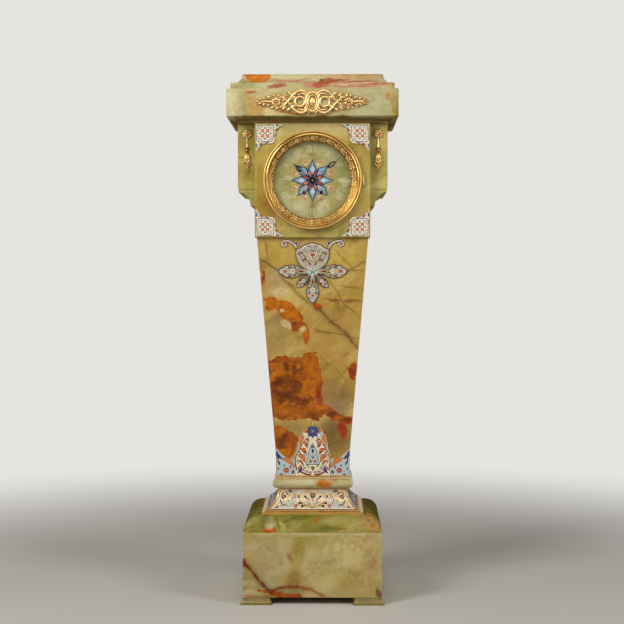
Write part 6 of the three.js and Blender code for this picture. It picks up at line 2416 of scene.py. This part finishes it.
@dataclass
class Spandrels:
    """Four enamel corner plates round the bezel."""

    leg: float = 65.0
    face: float = -140.3
    reach: Point = (133.0, 131.5)
    shares: tuple[Point, ...] = (
        (0, 0), (1, 0), (1, 0.06), (0.93, 0.11), (0.86, 0.13), (0.8, 0.2), (0.73, 0.22), (0.7, 0.34),
        (0.74, 0.42), (0.71, 0.52), (0.72, 0.6), (0.66, 0.66), (0.6, 0.72), (0.52, 0.71), (0.42, 0.74),
        (0.34, 0.7), (0.22, 0.73), (0.2, 0.8), (0.13, 0.86), (0.11, 0.93), (0.06, 1), (0, 1),
    )

    def build(self) -> None:
        """Makes the four plates."""
        for level, sign_z in (("upper", 1), ("lower", -1)):
            for side, sign_x in (("left", -1), ("right", 1)):
                plate = Relief(f"enamel_corner_{level}_{side}")
                self.draw(plate, self.corner_seat(sign_x, sign_z))
                plate.piece(Body.CASE, replaces=(f"spandrel_{level}_{side}",))

    def corner_seat(self, sign_x: int, sign_z: int) -> Seat:
        """Gives the seat of one corner, with its zero at the panel's corner."""
        return lambda across, along, rise: (
            sign_x * (self.reach[0] - across), self.face - rise, DIAL_Z + sign_z * (self.reach[1] - along))

    def draw(self, plate: Relief, seat: Seat) -> None:
        """Draws one corner.

        Args:
            plate: The piece that gets it.
            seat: The face.
        """
        outline = [(x * self.leg, z * self.leg) for x, z in self.shares]
        plate.plate(outline, seat, 0, 1.9, GILT, 0.3)
        inner = grown(outline, -1.5)
        plate.plate(inner, seat, 0.5, 2.1, CREAM, 0.1)
        draw = Brush(plate, seat, 2.1)
        square = [(3.2, 3.2), (24, 2.6), (41.5, 4), (42.5, 24), (40, 40), (24, 42.5), (4, 41.5), (2.6, 24)]
        ring = curve_through([*square, square[0]])
        plate.plate(ring[:-1], seat, 0.5, 2.25, NAVY)
        plate.plate(grown(ring[:-1], -1.5), seat, 0.5, 2.4, WHITE)
        draw.rise = 2.4
        for x in (16.5, 28.5):
            for z in (16.5, 28.5):
                draw.cells(RED, petals((x, z), 4, 0.6, 5.2, 3.4, 45), False, GILT, 0.3)
                draw.cells(ORANGE, [oval(x, z, 1.2, 1.2, 8)], False, CRIMSON, 0.3)
        draw.cells(CRIMSON, [oval(22.5, 22.5, 1.7, 1.7, 8)], False, NAVY, 0.5)
        dots = [(22.5, 10), (22.5, 35), (10, 22.5), (35, 22.5)]
        draw.cells(GREEN, [oval(x, z, 1.7, 1.7, 8) for x, z in dots], False)
        corners = [(9.5, 9.5), (35.5, 9.5), (9.5, 35.5), (35.5, 35.5)]
        draw.cells(PALE_BLUE, [oval(x, z, 2.6, 2.6, 10) for x, z in corners], False, NAVY, 0.5)
        small = [(15, 7), (30, 7), (7, 15), (7, 30), (15, 38), (30, 38), (38, 15), (38, 30)]
        draw.cells(ORANGE, [oval(x, z, 1.3, 1.3, 8) for x, z in small], False, CRIMSON, 0.3)
        draw.rise = 2.1
        sprig = (
            (PALE_BLUE, 5.0, (45.5, 8.5, 57, 4.8)), (RED, 3.2, (44.5, 16, 52, 10)),
            (NAVY, 2.2, (46, 3, 55, 2.6)), (ORANGE, 2.0, (57, 5.6, 62, 3)),
            (PALE_BLUE, 3.4, (44, 24, 48, 17)), (CRIMSON, 2.4, (43.5, 31, 46, 24)),
        )
        for order in ((0, 1, 2, 3), (1, 0, 3, 2)):
            for finish, width, ends in sprig:
                draw.leaves(finish, width, [ends[place] for place in order], both=False, line=NAVY)


@dataclass
class StarDial:
    """The dial's enamel star and its gilt numerals."""

    face: float = -133.0
    numeral_inner: float = 65.0
    numeral_outer: float = 81.0
    thin: float = 0.8
    holes: tuple[Point, Point] = ((-20.6, -28.2), (20.6, -28.2))
    hole_radius: float = 5.3
    widest: float = 31.5
    numerals: tuple[str, ...] = ("XII", "I", "II", "III", "IIII", "V", "VI", "VII", "VIII", "IX", "X", "XI")

    def build(self) -> None:
        """Makes the star and the numerals."""
        seat = front_seat(self.face, DIAL_Z)
        self.add_numerals(seat)
        star = Relief("enamel_star")
        diagonals = [Ray(math.radians(22.5 + 45 * number)) for number in range(8)]
        for ray in diagonals:
            for out, across, size in ((41, 0, 4.6), (46.5, -4.4, 3.4), (46.5, 4.4, 3.4), (50.5, 0, 3.6)):
                spot = ray.at(out, across)
                star.dome(oval(*spot, size, size, 14), seat, 0, 0.5, FINE_GILT, 2)
                inner = WHITE if out < 42 else PINK
                star.dome(oval(*spot, size * 0.66, size * 0.66, 12), seat, 0.2, 0.7, inner, 2)
            star.dome(oval(*ray.at(41), 1.5, 1.5, 10), seat, 0.3, 0.85, CRIMSON, 2)
            star.plate(leaf(ray.at(43), ray.at(49), 2.2, 0.5), seat, 0.2, 0.75, CRIMSON)
        for number in (1, 3, 5, 7, 0, 2, 4, 6):
            self.add_point(star, seat, Ray(math.radians(45 * number)), number % 2 == 0)
        for number, ray in enumerate(diagonals):
            for finish, low, high, wide, rise in (
                (NAVY, 6.0, 27.0, 9.0, self.thin),
                (RED if number % 2 else ORANGE, 9.5, 23.5, 5.0, self.thin + 0.1),
            ):
                star.plate(leaf(ray.at(low), ray.at(high), wide, 0.55), seat, 0.3, rise, finish)
        star.plate(self.hub_ring(), seat, 0.3, self.thin + 0.1, NAVY)
        star.piece(Body.CASE, replaces=("dial_star",))

    def hub_ring(self) -> Outline:
        """Draws the small collar round the arbor's hole.

        Returns:
            The outline, a ring that is cut at one place.
        """
        outer = oval(0, 0, 8.4, 8.4, 25)
        inner = oval(0, 0, 5.0, 5.0, 25)
        return [*outer, outer[0], inner[0], *reversed(inner[1:]), inner[0]]

    def add_point(self, star: Relief, seat: Seat, ray: Ray, cardinal: bool) -> None:
        """Lays one point of the star.

        Args:
            star: The piece that gets it.
            seat: The face.
            ray: The way it points.
            cardinal: Whether it is one of the four upright and level ones.
        """
        layers = (
            (NAVY, 7.0, 51.0, 11.2, 0.6), (STAR_BLUE, 14.0, 46.0, 8.0, 0.72),
            (STAR_WHITE, 19.0, 34.0, 4.2, 0.8),
        ) if cardinal else (
            (NAVY, 8.0, 52.5, 11.2, 0.5), (STAR_BLUE, 15.0, 47.5, 8.2, 0.62), (PINK, 19.0, 27.5, 3.6, 0.74),
        )
        widest = 26.5 if cardinal else self.widest
        x, z = ray.at(30)
        for finish, low, high, half, rise in layers:
            if not cardinal and z < 0 and high > 30:
                hole = min(self.holes, key=lambda spot: abs(spot[0] - x))
                self.add_holed(star, seat, ray, hole, (finish, low, high, half, rise))
                continue
            ends = (low, min(widest, (low + high) / 2), high)
            reaches = [low + (high - low) * step / 14 for step in range(15)]
            rims = [(reach, self.half_width(reach, ends, half)) for reach in reaches]
            flank = [ray.at(out, -wide) for out, wide in rims]
            other = [ray.at(out, wide) for out, wide in rims[1:-1]]
            star.plate([*flank, *reversed(other)], seat, 0, rise, finish)

    def half_width(self, reach: float, ends: Spot, half: float) -> float:
        """Gives half a point's width at a distance from the dial's middle.

        Args:
            reach: The distance.
            ends: Where the point starts, is widest and ends.
            half: Half its greatest width.

        Returns:
            Half its width there.
        """
        low, widest, high = ends
        if reach < widest:
            return half * max((reach - low) / (widest - low), 0.0) ** 0.8
        return half * max((high - reach) / (high - widest), 0.0) ** 1.25

    def add_holed(self, star: Relief, seat: Seat, ray: Ray, hole: Point,
                  layer: tuple[Finish, float, float, float, float]) -> None:
        """Lays a point of the star round a winding hole, as two halves that leave it open.

        Args:
            star: The piece that gets it.
            seat: The face.
            ray: The way the point points.
            hole: The hole's middle.
            layer: Finish, start, end, half width and rise.
        """
        finish, low, high, half, rise = layer
        middle, across = Ray(-ray.angle).at(*hole)
        for sign in (-1, 1):
            rings = []
            for number in range(29):
                along = low + (high - low) * number / 28
                out = self.half_width(along, (low, self.widest, high), half)
                gap = math.sqrt(max(self.hole_radius ** 2 - (along - middle) ** 2, 0.0))
                near = (across + sign * gap) if gap > 0 else 0.0
                far = sign * max(out, sign * near + 0.6 if gap > 0 else 0.0)
                corners = ((near, 0), (far, 0), (far, rise), (near, rise))
                rings.append([seat(*ray.at(along, wide), high_at) for wide, high_at in corners])
            star.shell(rings, finish)

    def add_numerals(self, seat: Seat) -> None:
        """Lays the numerals and the fine rays between them.

        Args:
            seat: The dial's face.
        """
        figures = Relief("dial_numerals")
        low, high = self.numeral_inner, self.numeral_outer
        widths = {"I": 4.2, "V": 8.4, "X": 8.4}
        strokes = {
            "I": ((0, 0, 2.1),),
            "V": ((-2.9, 0, 2.1), (2.9, 0, 1.1)),
            "X": ((-2.9, 2.9, 2.1), (2.9, -2.9, 1.1)),
        }
        for hour, word in enumerate(self.numerals):
            ray = Ray(math.radians(90 - 30 * hour))
            place = -sum(widths[letter] for letter in word) / 2
            for letter in word:
                middle = place + widths[letter] / 2
                for top, foot, width in strokes[letter]:
                    ends = [ray.at(low, -middle - foot), ray.at(high, -middle - top)]
                    figures.plate(ribbon(ends, width, width), seat, 0, 0.12, DIAL_GOLD)
                place += widths[letter]
        for number in range(60):
            ray = Ray(math.radians(6 * number))
            ends = [ray.at(86.6 if number % 5 else 85.0), ray.at(88.2)]
            figures.plate(ribbon(ends, 0.5, 0.5), seat, 0, 0.1, DIAL_GOLD)
        figures.piece(Body.CASE)


@dataclass
class Bezel:
    """The hinged gilt bezel: a bead, a convex polished ring and a sloped, chased band of flowers."""

    outer: float = 115.0
    front: float = -153.0
    back: float = -142.3
    ring_outer: float = 110.5
    band_outer: float = 105.0
    sight: float = 89.3
    floor: float = -145.6
    lip: float = -144.6
    rebate: float = 93.0
    slope: float = 0.36
    crown: float = 0.8
    swell: float = 4.4
    flowers: int = 32
    beads: int = 160
    sides: int = 192

    def build(self) -> None:
        """Makes the ring with its relief and hinge."""
        ring = Relief("bezel_ring_chased")
        middle = (0.0, 0.0, DIAL_Z)
        radius = (self.outer - self.ring_outer) / 2
        bead = [(self.outer, self.back)]
        for number in range(13):
            turn = math.pi * number / 12
            inset, sunk = radius * (1 - math.cos(turn)), radius * (1 - math.sin(turn))
            bead.append((self.outer - inset, self.front + sunk))
        valley = self.front + self.crown + self.swell
        bead.append((self.ring_outer, valley))
        ring_width = self.ring_outer - self.band_outer - 1.0
        polished = []
        for number in range(15):
            turn = math.pi / 2 * number / 14
            inset = ring_width * (1 - math.cos(turn))
            polished.append((self.ring_outer - inset, valley - self.swell * math.sin(turn)))
        rim = self.floor - self.slope * (self.band_outer - self.sight)
        polished += [(self.band_outer + 0.3, self.front + 1.1), (self.band_outer, self.front + 1.5),
                     (self.band_outer, rim)]
        band = [(self.band_outer, rim), (self.band_outer - 1.6, rim + 1.1), (self.sight + 1.6, self.floor),
                (self.sight, self.floor + 0.3), (self.sight, self.lip), (self.rebate, self.lip),
                (self.rebate, self.back)]
        rear = [(self.rebate, self.back), (self.outer, self.back)]
        skins = ((bead, GILT), (polished, RING_GILT), (band, CHASED_GILT), (rear, CHASED_GILT))
        for profile, finish in skins:
            ring.turning(profile, middle, finish, self.sides)
        self.add_chasing(ring)
        self.add_hinge(ring)
        ring.piece(Body.BEZEL, replaces=("bezel_ring",))

    def add_chasing(self, ring: Relief) -> None:
        """Lays the flowers, leaves and beaded edges on the band.

        Args:
            ring: The piece that gets them.
        """
        plane = front_seat(self.floor, DIAL_Z)

        def seat(across: float, up: float, rise: float) -> Spot:
            """Gives the spot of a drawing's point on the sloped band."""
            proud = self.slope * (math.hypot(across, up) - self.sight - 1.6)
            return plane(across, up, rise + max(proud, 0.0))

        middle_radius = (self.band_outer + self.sight) / 2
        half_step = math.pi / self.flowers

        def place(angle: float, along: float, out: float) -> Point:
            """Gives a point by its flower's angle, half steps along the band and its way out."""
            return Ray(angle + half_step * along).at(middle_radius + out)

        sprays = ((0.6, 1.8, 0.96, 6.8, 2.4), (0.92, 0.8, 1.36, 5.2, 2.8), (1.42, 1.6, 1.72, 6.8, 2.2))
        for number in range(self.flowers):
            angle = 2 * math.pi * number / self.flowers
            large = number % 2 == 0
            count, reach = (6, 5.4) if large else (5, 3.8)
            spot = place(angle, 0.0, 0.6 if large else -1.4)
            for petal in petals(spot, count, 0.7, reach, reach * 0.56, math.degrees(angle) + 20):
                ring.dome(petal, seat, 0, 1.9, PALE_GILT, 2)
            ring.dome(oval(*spot, 1.0, 1.0, 8), seat, 0.4, 2.3, GILT, 2)
            for sign in (-1, 1):
                for index, (start, low, end, high, width) in enumerate(sprays):
                    foot, tip = place(angle, start, sign * low), place(angle, end, sign * high)
                    rise, finish = (1.4, GILT) if index % 2 else (1.2, PALE_GILT)
                    ring.dome(leaf(foot, tip, width, 0.5, 0.25 * sign), seat, 0, rise, finish, 2)
        steps = 8 * self.flowers
        scroll = []
        for number in range(steps):
            angle = 2 * math.pi * number / steps
            scroll.append(place(angle, 0.0, 1.9 * math.cos(self.flowers / 2 * angle + math.pi / 2)))
        ring.drawn_wire(scroll, seat, 0.7, 0.6, GILT, closed=True, sides=6)
        for radius in (self.band_outer - 0.9, self.sight + 0.9):
            for number in range(self.beads):
                spot = Ray(2 * math.pi * number / self.beads).at(radius)
                ring.dome(oval(*spot, 0.75, 0.75, 6), seat, -0.4, 0.9, GILT, 2)

    def add_hinge(self, ring: Relief) -> None:
        """Adds the hinge's knuckles, leaves and pin.

        Args:
            ring: The piece that gets them.
        """
        x, y, knuckle, end = 118.5, -144.15, 6.0, 12.0
        ring.turning([(1.2, -end - 1), (1.2, end + 1)], (x, y, DIAL_Z), GILT, 16, True, True)
        for low, high in ((-end, -knuckle - 0.3), (knuckle + 0.3, end)):
            profile = [(2.4, low), (3.0, low + 0.6), (3.0, high - 0.6), (2.4, high)]
            ring.turning(profile, (x, y, DIAL_Z), GILT, 20, True, True)
            seat = front_seat(-142.3, DIAL_Z)
            ring.plate([(110.5, low), (x, low), (x, high), (110.5, high)], seat, 0, 3.0, GILT, 0.3)


@dataclass
class CapMount:
    """The gilt rococo mount on the cap's front."""

    back: float = -165.3
    middle_z: float = 1170.5

    def build(self) -> None:
        """Makes the mount."""
        mount = Relief("rococo_mount")
        seat = front_seat(self.back, self.middle_z)
        self.add_cartouche(mount, seat)
        for sign in (-1, 1):
            self.add_side(mount, seat, sign)
        mount.piece(Body.CASE, replaces=("cap_mount",))

    def stroke(self, mount: Relief, seat: Seat, points: Sequence[Point], rise: float, start: float,
               end: float) -> None:
        """Lays one swelling scroll.

        Args:
            mount: The piece that gets it.
            seat: The face.
            points: The points that it passes.
            rise: The rise of its middle.
            start: Its radius at the start.
            end: Its radius at the end.
        """
        spine = curve_through(points, 5)
        count = len(spine)
        radii = [1.25 * (start + (end - start) * n / (count - 1)) + 0.9 * math.sin(math.pi * n / (count - 1))
                 for n in range(count)]
        mount.drawn_wire(spine, seat, rise, radii, PALE_GILT, sides=10)

    def add_cartouche(self, mount: Relief, seat: Seat) -> None:
        """Lays the central oval with its frame and shell.

        Args:
            mount: The piece that gets it.
            seat: The face.
        """
        mount.plate(oval(0, 0, 17, 24, 36), seat, 0, 3.2, CHASED_GILT, 0.8)
        mount.drawn_wire(oval(0, 0, 15, 21.5, 36), seat, 3.8, 3.0, PALE_GILT, True, 10)
        mount.drawn_wire(oval(0, 0, 10.2, 15.6, 32), seat, 4.0, 1.4, PALE_GILT, True, 8)
        mount.dome(oval(0, 0, 7.6, 12.4, 28), seat, 2.5, 10.0, PALE_GILT, 6)
        for number in range(7):
            angle = math.radians(30 + 20 * number)
            for sign in (1, -1):
                start = (9 * math.cos(angle), sign * (15 + 3 * math.sin(angle)))
                end = (17 * math.cos(angle), sign * (19 + 9 * math.sin(angle)))
                mount.dome(leaf(start, end, 4.4, 0.6), seat, 1.5, 6.5, PALE_GILT, 3)

    def add_side(self, mount: Relief, seat: Seat, sign: int) -> None:
        """Lays one side: ring, scrolls, rosette and leaf sprays.

        Args:
            mount: The piece that gets it.
            seat: The face.
            sign: 1 for the right, -1 for the left.
        """
        def at(x: float, z: float) -> Point:
            """Mirrors a point for this side."""
            return sign * x, z

        mount.drawn_wire(oval(sign * 28.8, 0, 11, 11, 30), seat, 3.6, 2.8, PALE_GILT, True, 10)
        for way in (1, -1):
            curl = [at(12, 17 * way), at(18, 23.5 * way), at(29, 25.5 * way), at(40, 20 * way)]
            eye = spiral(at(42, 12 * way), 5, 90 * way, -sign * way * 300, 1.2)
            self.stroke(mount, seat, [*curl, *eye], 4.0, 2.2, 1.2)
            for points, start, end in (
                (((44, 16), (54, 4), (64, -7), (74, -11)), 1.9, 1.2),
                (((15, 10), (17, 17), (25, 19), (34, 16)), 1.6, 0.8),
            ):
                self.stroke(mount, seat, [at(x, z * way) for x, z in points], 3.0, start, end)
        self.stroke(mount, seat, [at(92, 0), at(108, 1), at(128, 0)], 2.4, 1.8, 0.7)
        flower = at(84, 0)
        mount.plate(oval(*flower, 8, 8, 20), seat, 0, 3.4, CHASED_GILT)
        for ring_reach, count, high, first in ((12.4, 6, 6.0, 90), (9.0, 6, 7.8, 60)):
            for petal in petals(flower, count, 1.5, ring_reach, ring_reach * 0.74, first):
                mount.dome(petal, seat, 1.0, high, PALE_GILT, 4)
        mount.dome(oval(*flower, 3.0, 3.0, 14), seat, 4.0, 9.6, PALE_GILT, 3)
        sprays = (
            (46, 12, 60, 24, 7), (56, 8, 72, 21, 7), (46, -12, 60, -23, 7), (56, -8, 72, -21, 7),
            (40, 3, 53, 9, 6), (42, -4, 55, -9, 6), (58, 1, 72, 4, 6), (58, -2, 70, -7, 5),
            (31, 20, 40, 28, 6), (31, -20, 41, -27, 6), (13, 21, 5, 28, 6), (13, -21, 5, -28, 6),
            (22, 23, 27, 29, 5), (22, -23, 28, -29, 5), (76, 9, 84, 20, 7), (76, -9, 86, -20, 7),
            (84, 10, 96, 17, 6), (84, -10, 98, -16, 6), (93, 5, 108, 13, 7), (93, -5, 109, -12, 7),
            (102, 4, 118, 9, 6), (102, -4, 118, -9, 6), (112, 3, 128, 6, 5), (112, -3, 128, -6, 5),
            (118, 1, 132, 0, 5), (66, 6, 66, 15, 5), (66, -6, 67, -15, 5), (50, 4, 50, 14, 4),
        )
        for x0, z0, x1, z1, width in sprays:
            blade = leaf(at(x0, z0), at(x1, z1), width, 0.6, 0.12 * sign)
            mount.dome(blade, seat, 0, 4.6, PALE_GILT, 3)
            rib = [at(x0 + (x1 - x0) * share, z0 + (z1 - z0) * share) for share in (0.08, 0.35, 0.62, 0.9)]
            mount.drawn_wire(rib, seat, 4.4, [0.7, 0.8, 0.7, 0.3], PALE_GILT, sides=6)
        for x, z in ((98, 9), (104, -9), (118, 3), (60, 14), (74, -14), (50, -5), (38, 24), (38, -24)):
            mount.dome(oval(*at(x, z), 2.6, 2.6, 10), seat, 2.0, 6.4, PALE_GILT, 3)


@dataclass
class Drops:
    """The gilt drops on the wings."""

    across: float = 154.0
    face: float = -119.7
    top: float = 1111.0
    seam_z: float = 971.0

    def build(self) -> None:
        """Makes both drops."""
        for name, sign in (("left", -1), ("right", 1)):
            drop = Relief(f"gilt_drop_{name}")
            seat = front_seat(self.face, self.top, sign * self.across)
            self.draw(drop, seat)
            drop.piece(Body.CASE, replaces=(f"drop_{name}",))
            self.add_joint_shade(sign)

    def add_joint_shade(self, sign: int) -> None:
        """Lays a dark strip at the joint between a side wing and the bracket below it: a real joint,
        darkened with painted shade under the wing's edge.

        Args:
            sign: 1 for the right, -1 for the left.
        """
        seam = Relief(f"bracket_joint_shade_{'left' if sign < 0 else 'right'}")
        outer, inner = sign * 155.5 - 20, sign * 155.5 + 20
        joint = [(outer, 0), (inner, 0), (inner, 1.3), (outer, 1.3)]
        seam.plate(joint, front_seat(self.face, self.seam_z), 0, 0.12, JOINT_SHADE_STONE)
        seam.piece(Body.CASE)

    def draw(self, drop: Relief, seat: Seat) -> None:
        """Draws one drop, from its rosette down to its berries.

        Args:
            drop: The piece that gets it.
            seat: The wing's face.
        """
        drop.plate(oval(0, -9.6, 10.0, 10.0, 24), seat, 0, 2.4, CHASED_GILT)
        for reach, count, high in ((12.4, 9, 5.4), (9.0, 7, 8.0)):
            for petal in petals((0, -9.6), count, 1.2, reach, reach * 0.6, 90 + reach):
                drop.dome(petal, seat, 0.8, high, PALE_GILT, 3)
        drop.dome(oval(-1, -8.8, 4.4, 4.4, 14), seat, 3.0, 9.6, PALE_GILT, 4)
        drop.drawn_wire([(0, -18), (0, -30), (0, -41)], seat, 1.8, [1.6, 1.0, 1.6], PALE_GILT)
        for sign in (-1, 1):
            drop.dome(leaf((0, -43), (sign * 4.6, -37), 2.6, 0.6), seat, 0.4, 2.8, PALE_GILT, 3)
        drop.dome(oval(0, -44.5, 6.4, 3.2, 18), seat, 0, 5.0, COLLAR_RED, 3)
        drop.dome(oval(0, -48.4, 5.0, 2.0, 18), seat, 0, 6.0, PALE_GILT, 3)
        for turn, width in ((-11, 6.6), (11, 6.6), (0, 7.4)):
            lean = math.radians(-90 + turn)
            tip = (math.cos(lean) * 33, -49 + math.sin(lean) * 33)
            high = 6.0 if turn else 7.6
            drop.dome(leaf((turn * 0.14, -48), tip, width, 0.6), seat, 0, high, PALE_GILT, 4)
        berries = ((-5, -74, 4.0), (5, -74, 4.0), (0, -77, 4.4), (-7, -80, 3.0), (7, -80, 3.0),
                   (-3.4, -84, 3.4), (3.4, -84, 3.4), (0, -89, 3.2), (-3.2, -92, 2.4), (3.0, -93, 2.4),
                   (0, -97, 2.2), (0, -102, 1.7))
        for x, z, size in berries:
            drop.dome(oval(x, z, size, size, 12), seat, 0, 3.0 + size, PALE_GILT, 3)
        drop.drawn_wire([(0, -70), (0, -86), (0, -105)], seat, 1.2, [1.6, 1.2, 0.6], PALE_GILT, sides=6)


@dataclass
class CarriedNodes:
    """The nodes of the frame that keep their shape and get a finish."""

    stone_edge: float = 1.2
    plain: dict[Finish, tuple[str, ...]] = field(default_factory=lambda: {
        WALNUT: ("base_board", "head_floor"),
        IRON: ("tie_rod", "tie_rod_nut", "spreader_core"),
        BRASS: ("dial_seat", "movement_front_plate", "movement_back_plate", "hour_wheel",
                "minute_wheel", "escape_wheel", "going_barrel", "strike_barrel", "centre_arbor",
                "pendulum", "door_hinge"),
        STEEL: ("pallet_anchor", "strike_hammer"),
        SHADED_WINDING_STEEL: ("winding_arbor_going", "winding_arbor_strike"),
        BELL: ("bell",),
        GLASS: ("bezel_glass",),
        PALE_GILT: ("shaft_fillet",),
        LEDGE_GILT: ("base_ledge",),
        GILT: ("foot_front_left", "foot_front_right", "foot_back_left",
               "foot_back_right", "cap_mount", "drop_left", "drop_right", "pendant_mount",
               "shaft_apron", "spandrel_upper_left", "spandrel_upper_right", "spandrel_lower_left",
               "spandrel_lower_right", "bezel_ring", "spreader_casing"),
        BLUED: ("hour_hand", "minute_hand"),
        NAVY: ("dial_star",),
        DIAL_ONYX: ("dial",),
    })
    stone: dict[Finish, tuple[str, ...]] = field(default_factory=lambda: {
        PLINTH_ONYX: ("plinth_front", "plinth_back", "plinth_left", "plinth_right"),
        HOOD_ONYX: ("plinth_hood",),
        TORUS_ONYX: ("shaft_torus",),
        SHAFT_ONYX: ("shaft_front",),
        SHAFT_SIDE_ONYX: ("shaft_back", "shaft_left", "shaft_right"),
        HEAD_ONYX: ("head_front", "head_back", "back_door"),
        WING_ONYX: ("head_left", "head_right"),
        CAP_ONYX: ("cap_slab",),
        STEP_ONYX: ("cap_top",),
    })

    def dress(self, frame: dict) -> None:
        """Gives every node of the frame a finish.

        Args:
            frame: The loaded frame.
        """
        for finish, names in self.plain.items():
            for name in names:
                dress_node(frame, name, finish)
        for finish, names in self.stone.items():
            for name in names:
                dress_node(frame, name, finish, self.stone_edge)


@dataclass
class Studio:
    """The pale floor, the soft lamps, the pale surroundings and the camera."""

    camera_place: Spot = (0.04, -3.3055, 0.755)
    camera_pitch: float = 1.29
    camera_turn: float = 0.745
    focal_share: float = 1353 / 624
    floor_size: float = 14.0

    def build(self) -> None:
        """Makes all of it."""
        self.add_floor()
        self.add_camera()
        self.add_world()
        self.add_lamp("left lamp", (-2.1, -2.3, 2.35), (1.1, 1.6), 61.0)
        self.add_lamp("right lamp", (2.5, -1.9, 2.1), (0.9, 1.5), 32.0)
        self.add_lamp("top lamp", (0.1, -1.9, 2.9), (1.5, 0.9), 14.0)

    def add_floor(self) -> None:
        """Lays the floor."""
        half = self.floor_size / 2
        mesh = bpy.data.meshes.new("studio_floor")
        corners = [(-half, -half, 0), (half, -half, 0), (half, half, 0), (-half, half, 0)]
        mesh.from_pydata(corners, [], [(0, 1, 2, 3)])
        mesh.materials.append(PaleFloor("pale floor").material())
        floor = bpy.data.objects.new("studio_floor", mesh)
        bpy.context.collection.objects.link(floor)
        floor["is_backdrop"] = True

    def add_camera(self) -> None:
        """Sets up the camera at the photograph's place."""
        data = bpy.data.cameras.new("camera")
        data.sensor_width = 36.0
        data.lens = 36.0 * self.focal_share
        data.clip_end = 60.0
        camera = bpy.data.objects.new("camera", data)
        camera.location = self.camera_place
        pitch = math.radians(90 - self.camera_pitch)
        camera.rotation_euler = (pitch, 0.0, math.radians(self.camera_turn))
        bpy.context.collection.objects.link(camera)
        bpy.context.scene.camera = camera

    def add_lamp(self, name: str, place: Spot, size: Point, power: float) -> None:
        """Hangs a soft lamp that faces the clock.

        Args:
            name: The lamp's name.
            place: Where it hangs, in metres.
            size: Its width and height in metres.
            power: Its power in watts.
        """
        data = bpy.data.lights.new(name, "AREA")
        data.shape = "RECTANGLE"
        data.size, data.size_y = size
        data.energy = power
        data.color = (1.0, 0.965, 0.91)
        lamp = bpy.data.objects.new(name, data)
        lamp.location = place
        way = Vector((0.0, 0.0, 0.65)) - Vector(place)
        lamp.rotation_euler = way.to_track_quat("-Z", "Y").to_euler()
        bpy.context.collection.objects.link(lamp)

    def add_world(self) -> None:
        """Makes the surroundings, pale to the camera, in metal and through glass."""
        world = bpy.data.worlds.new("studio")
        bpy.context.scene.world = world
        world.use_nodes = True
        graph = Graph(world.node_tree)
        graph.tree.nodes.clear()
        place = graph.node("ShaderNodeTexCoord").outputs["Generated"]
        split = graph.node("ShaderNodeSeparateXYZ")
        graph.feed(split.inputs[0], place)
        overhead = graph.step(split.outputs["Z"], 0.15, 0.75)
        around = graph.tint(overhead, "#e4e2de", "#8a8782")
        path = graph.node("ShaderNodeLightPath").outputs
        seen = graph.maths("MAXIMUM", path["Is Camera Ray"], path["Is Transmission Ray"])
        shown = graph.tint(seen, around, "#e6e4e0")
        mirrored_or_seen = graph.maths("MAXIMUM", seen, path["Is Glossy Ray"])
        background = graph.node("ShaderNodeBackground")
        graph.feed(background.inputs["Color"], shown)
        graph.feed(background.inputs["Strength"], graph.between(mirrored_or_seen, 0.42, 1.0))
        output = graph.node("ShaderNodeOutputWorld")
        graph.feed(output.inputs["Surface"], background.outputs[0])


def record_size(cad_box: object) -> None:
    """Writes the solids' box and the dressed clock's box side by side.

    Args:
        cad_box: The box from straight after loading.
    """
    boxes = {"cad": cad_box, "visual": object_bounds()}
    plain = {name: [[float(value) for value in corner] for corner in box] for name, box in boxes.items()}


def main() -> None:
    """Loads the frame and dresses the clock, part by part."""
    logging.basicConfig(level=logging.INFO, format="%(message)s")
    for stray in list(bpy.data.objects):
        bpy.data.objects.remove(stray)
    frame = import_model()
    cad_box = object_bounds()
    bpy.context.scene.view_settings.view_transform = "Standard"
    CarriedNodes().dress(frame)
    parts = (Courses, Spreader, Apron, Pendant, Spandrels, StarDial, Bezel, CapMount, Drops)
    for part in parts:
        part().build()
    Studio().build()
    record_size(cad_box)


if __name__ == "__main__":
    main()
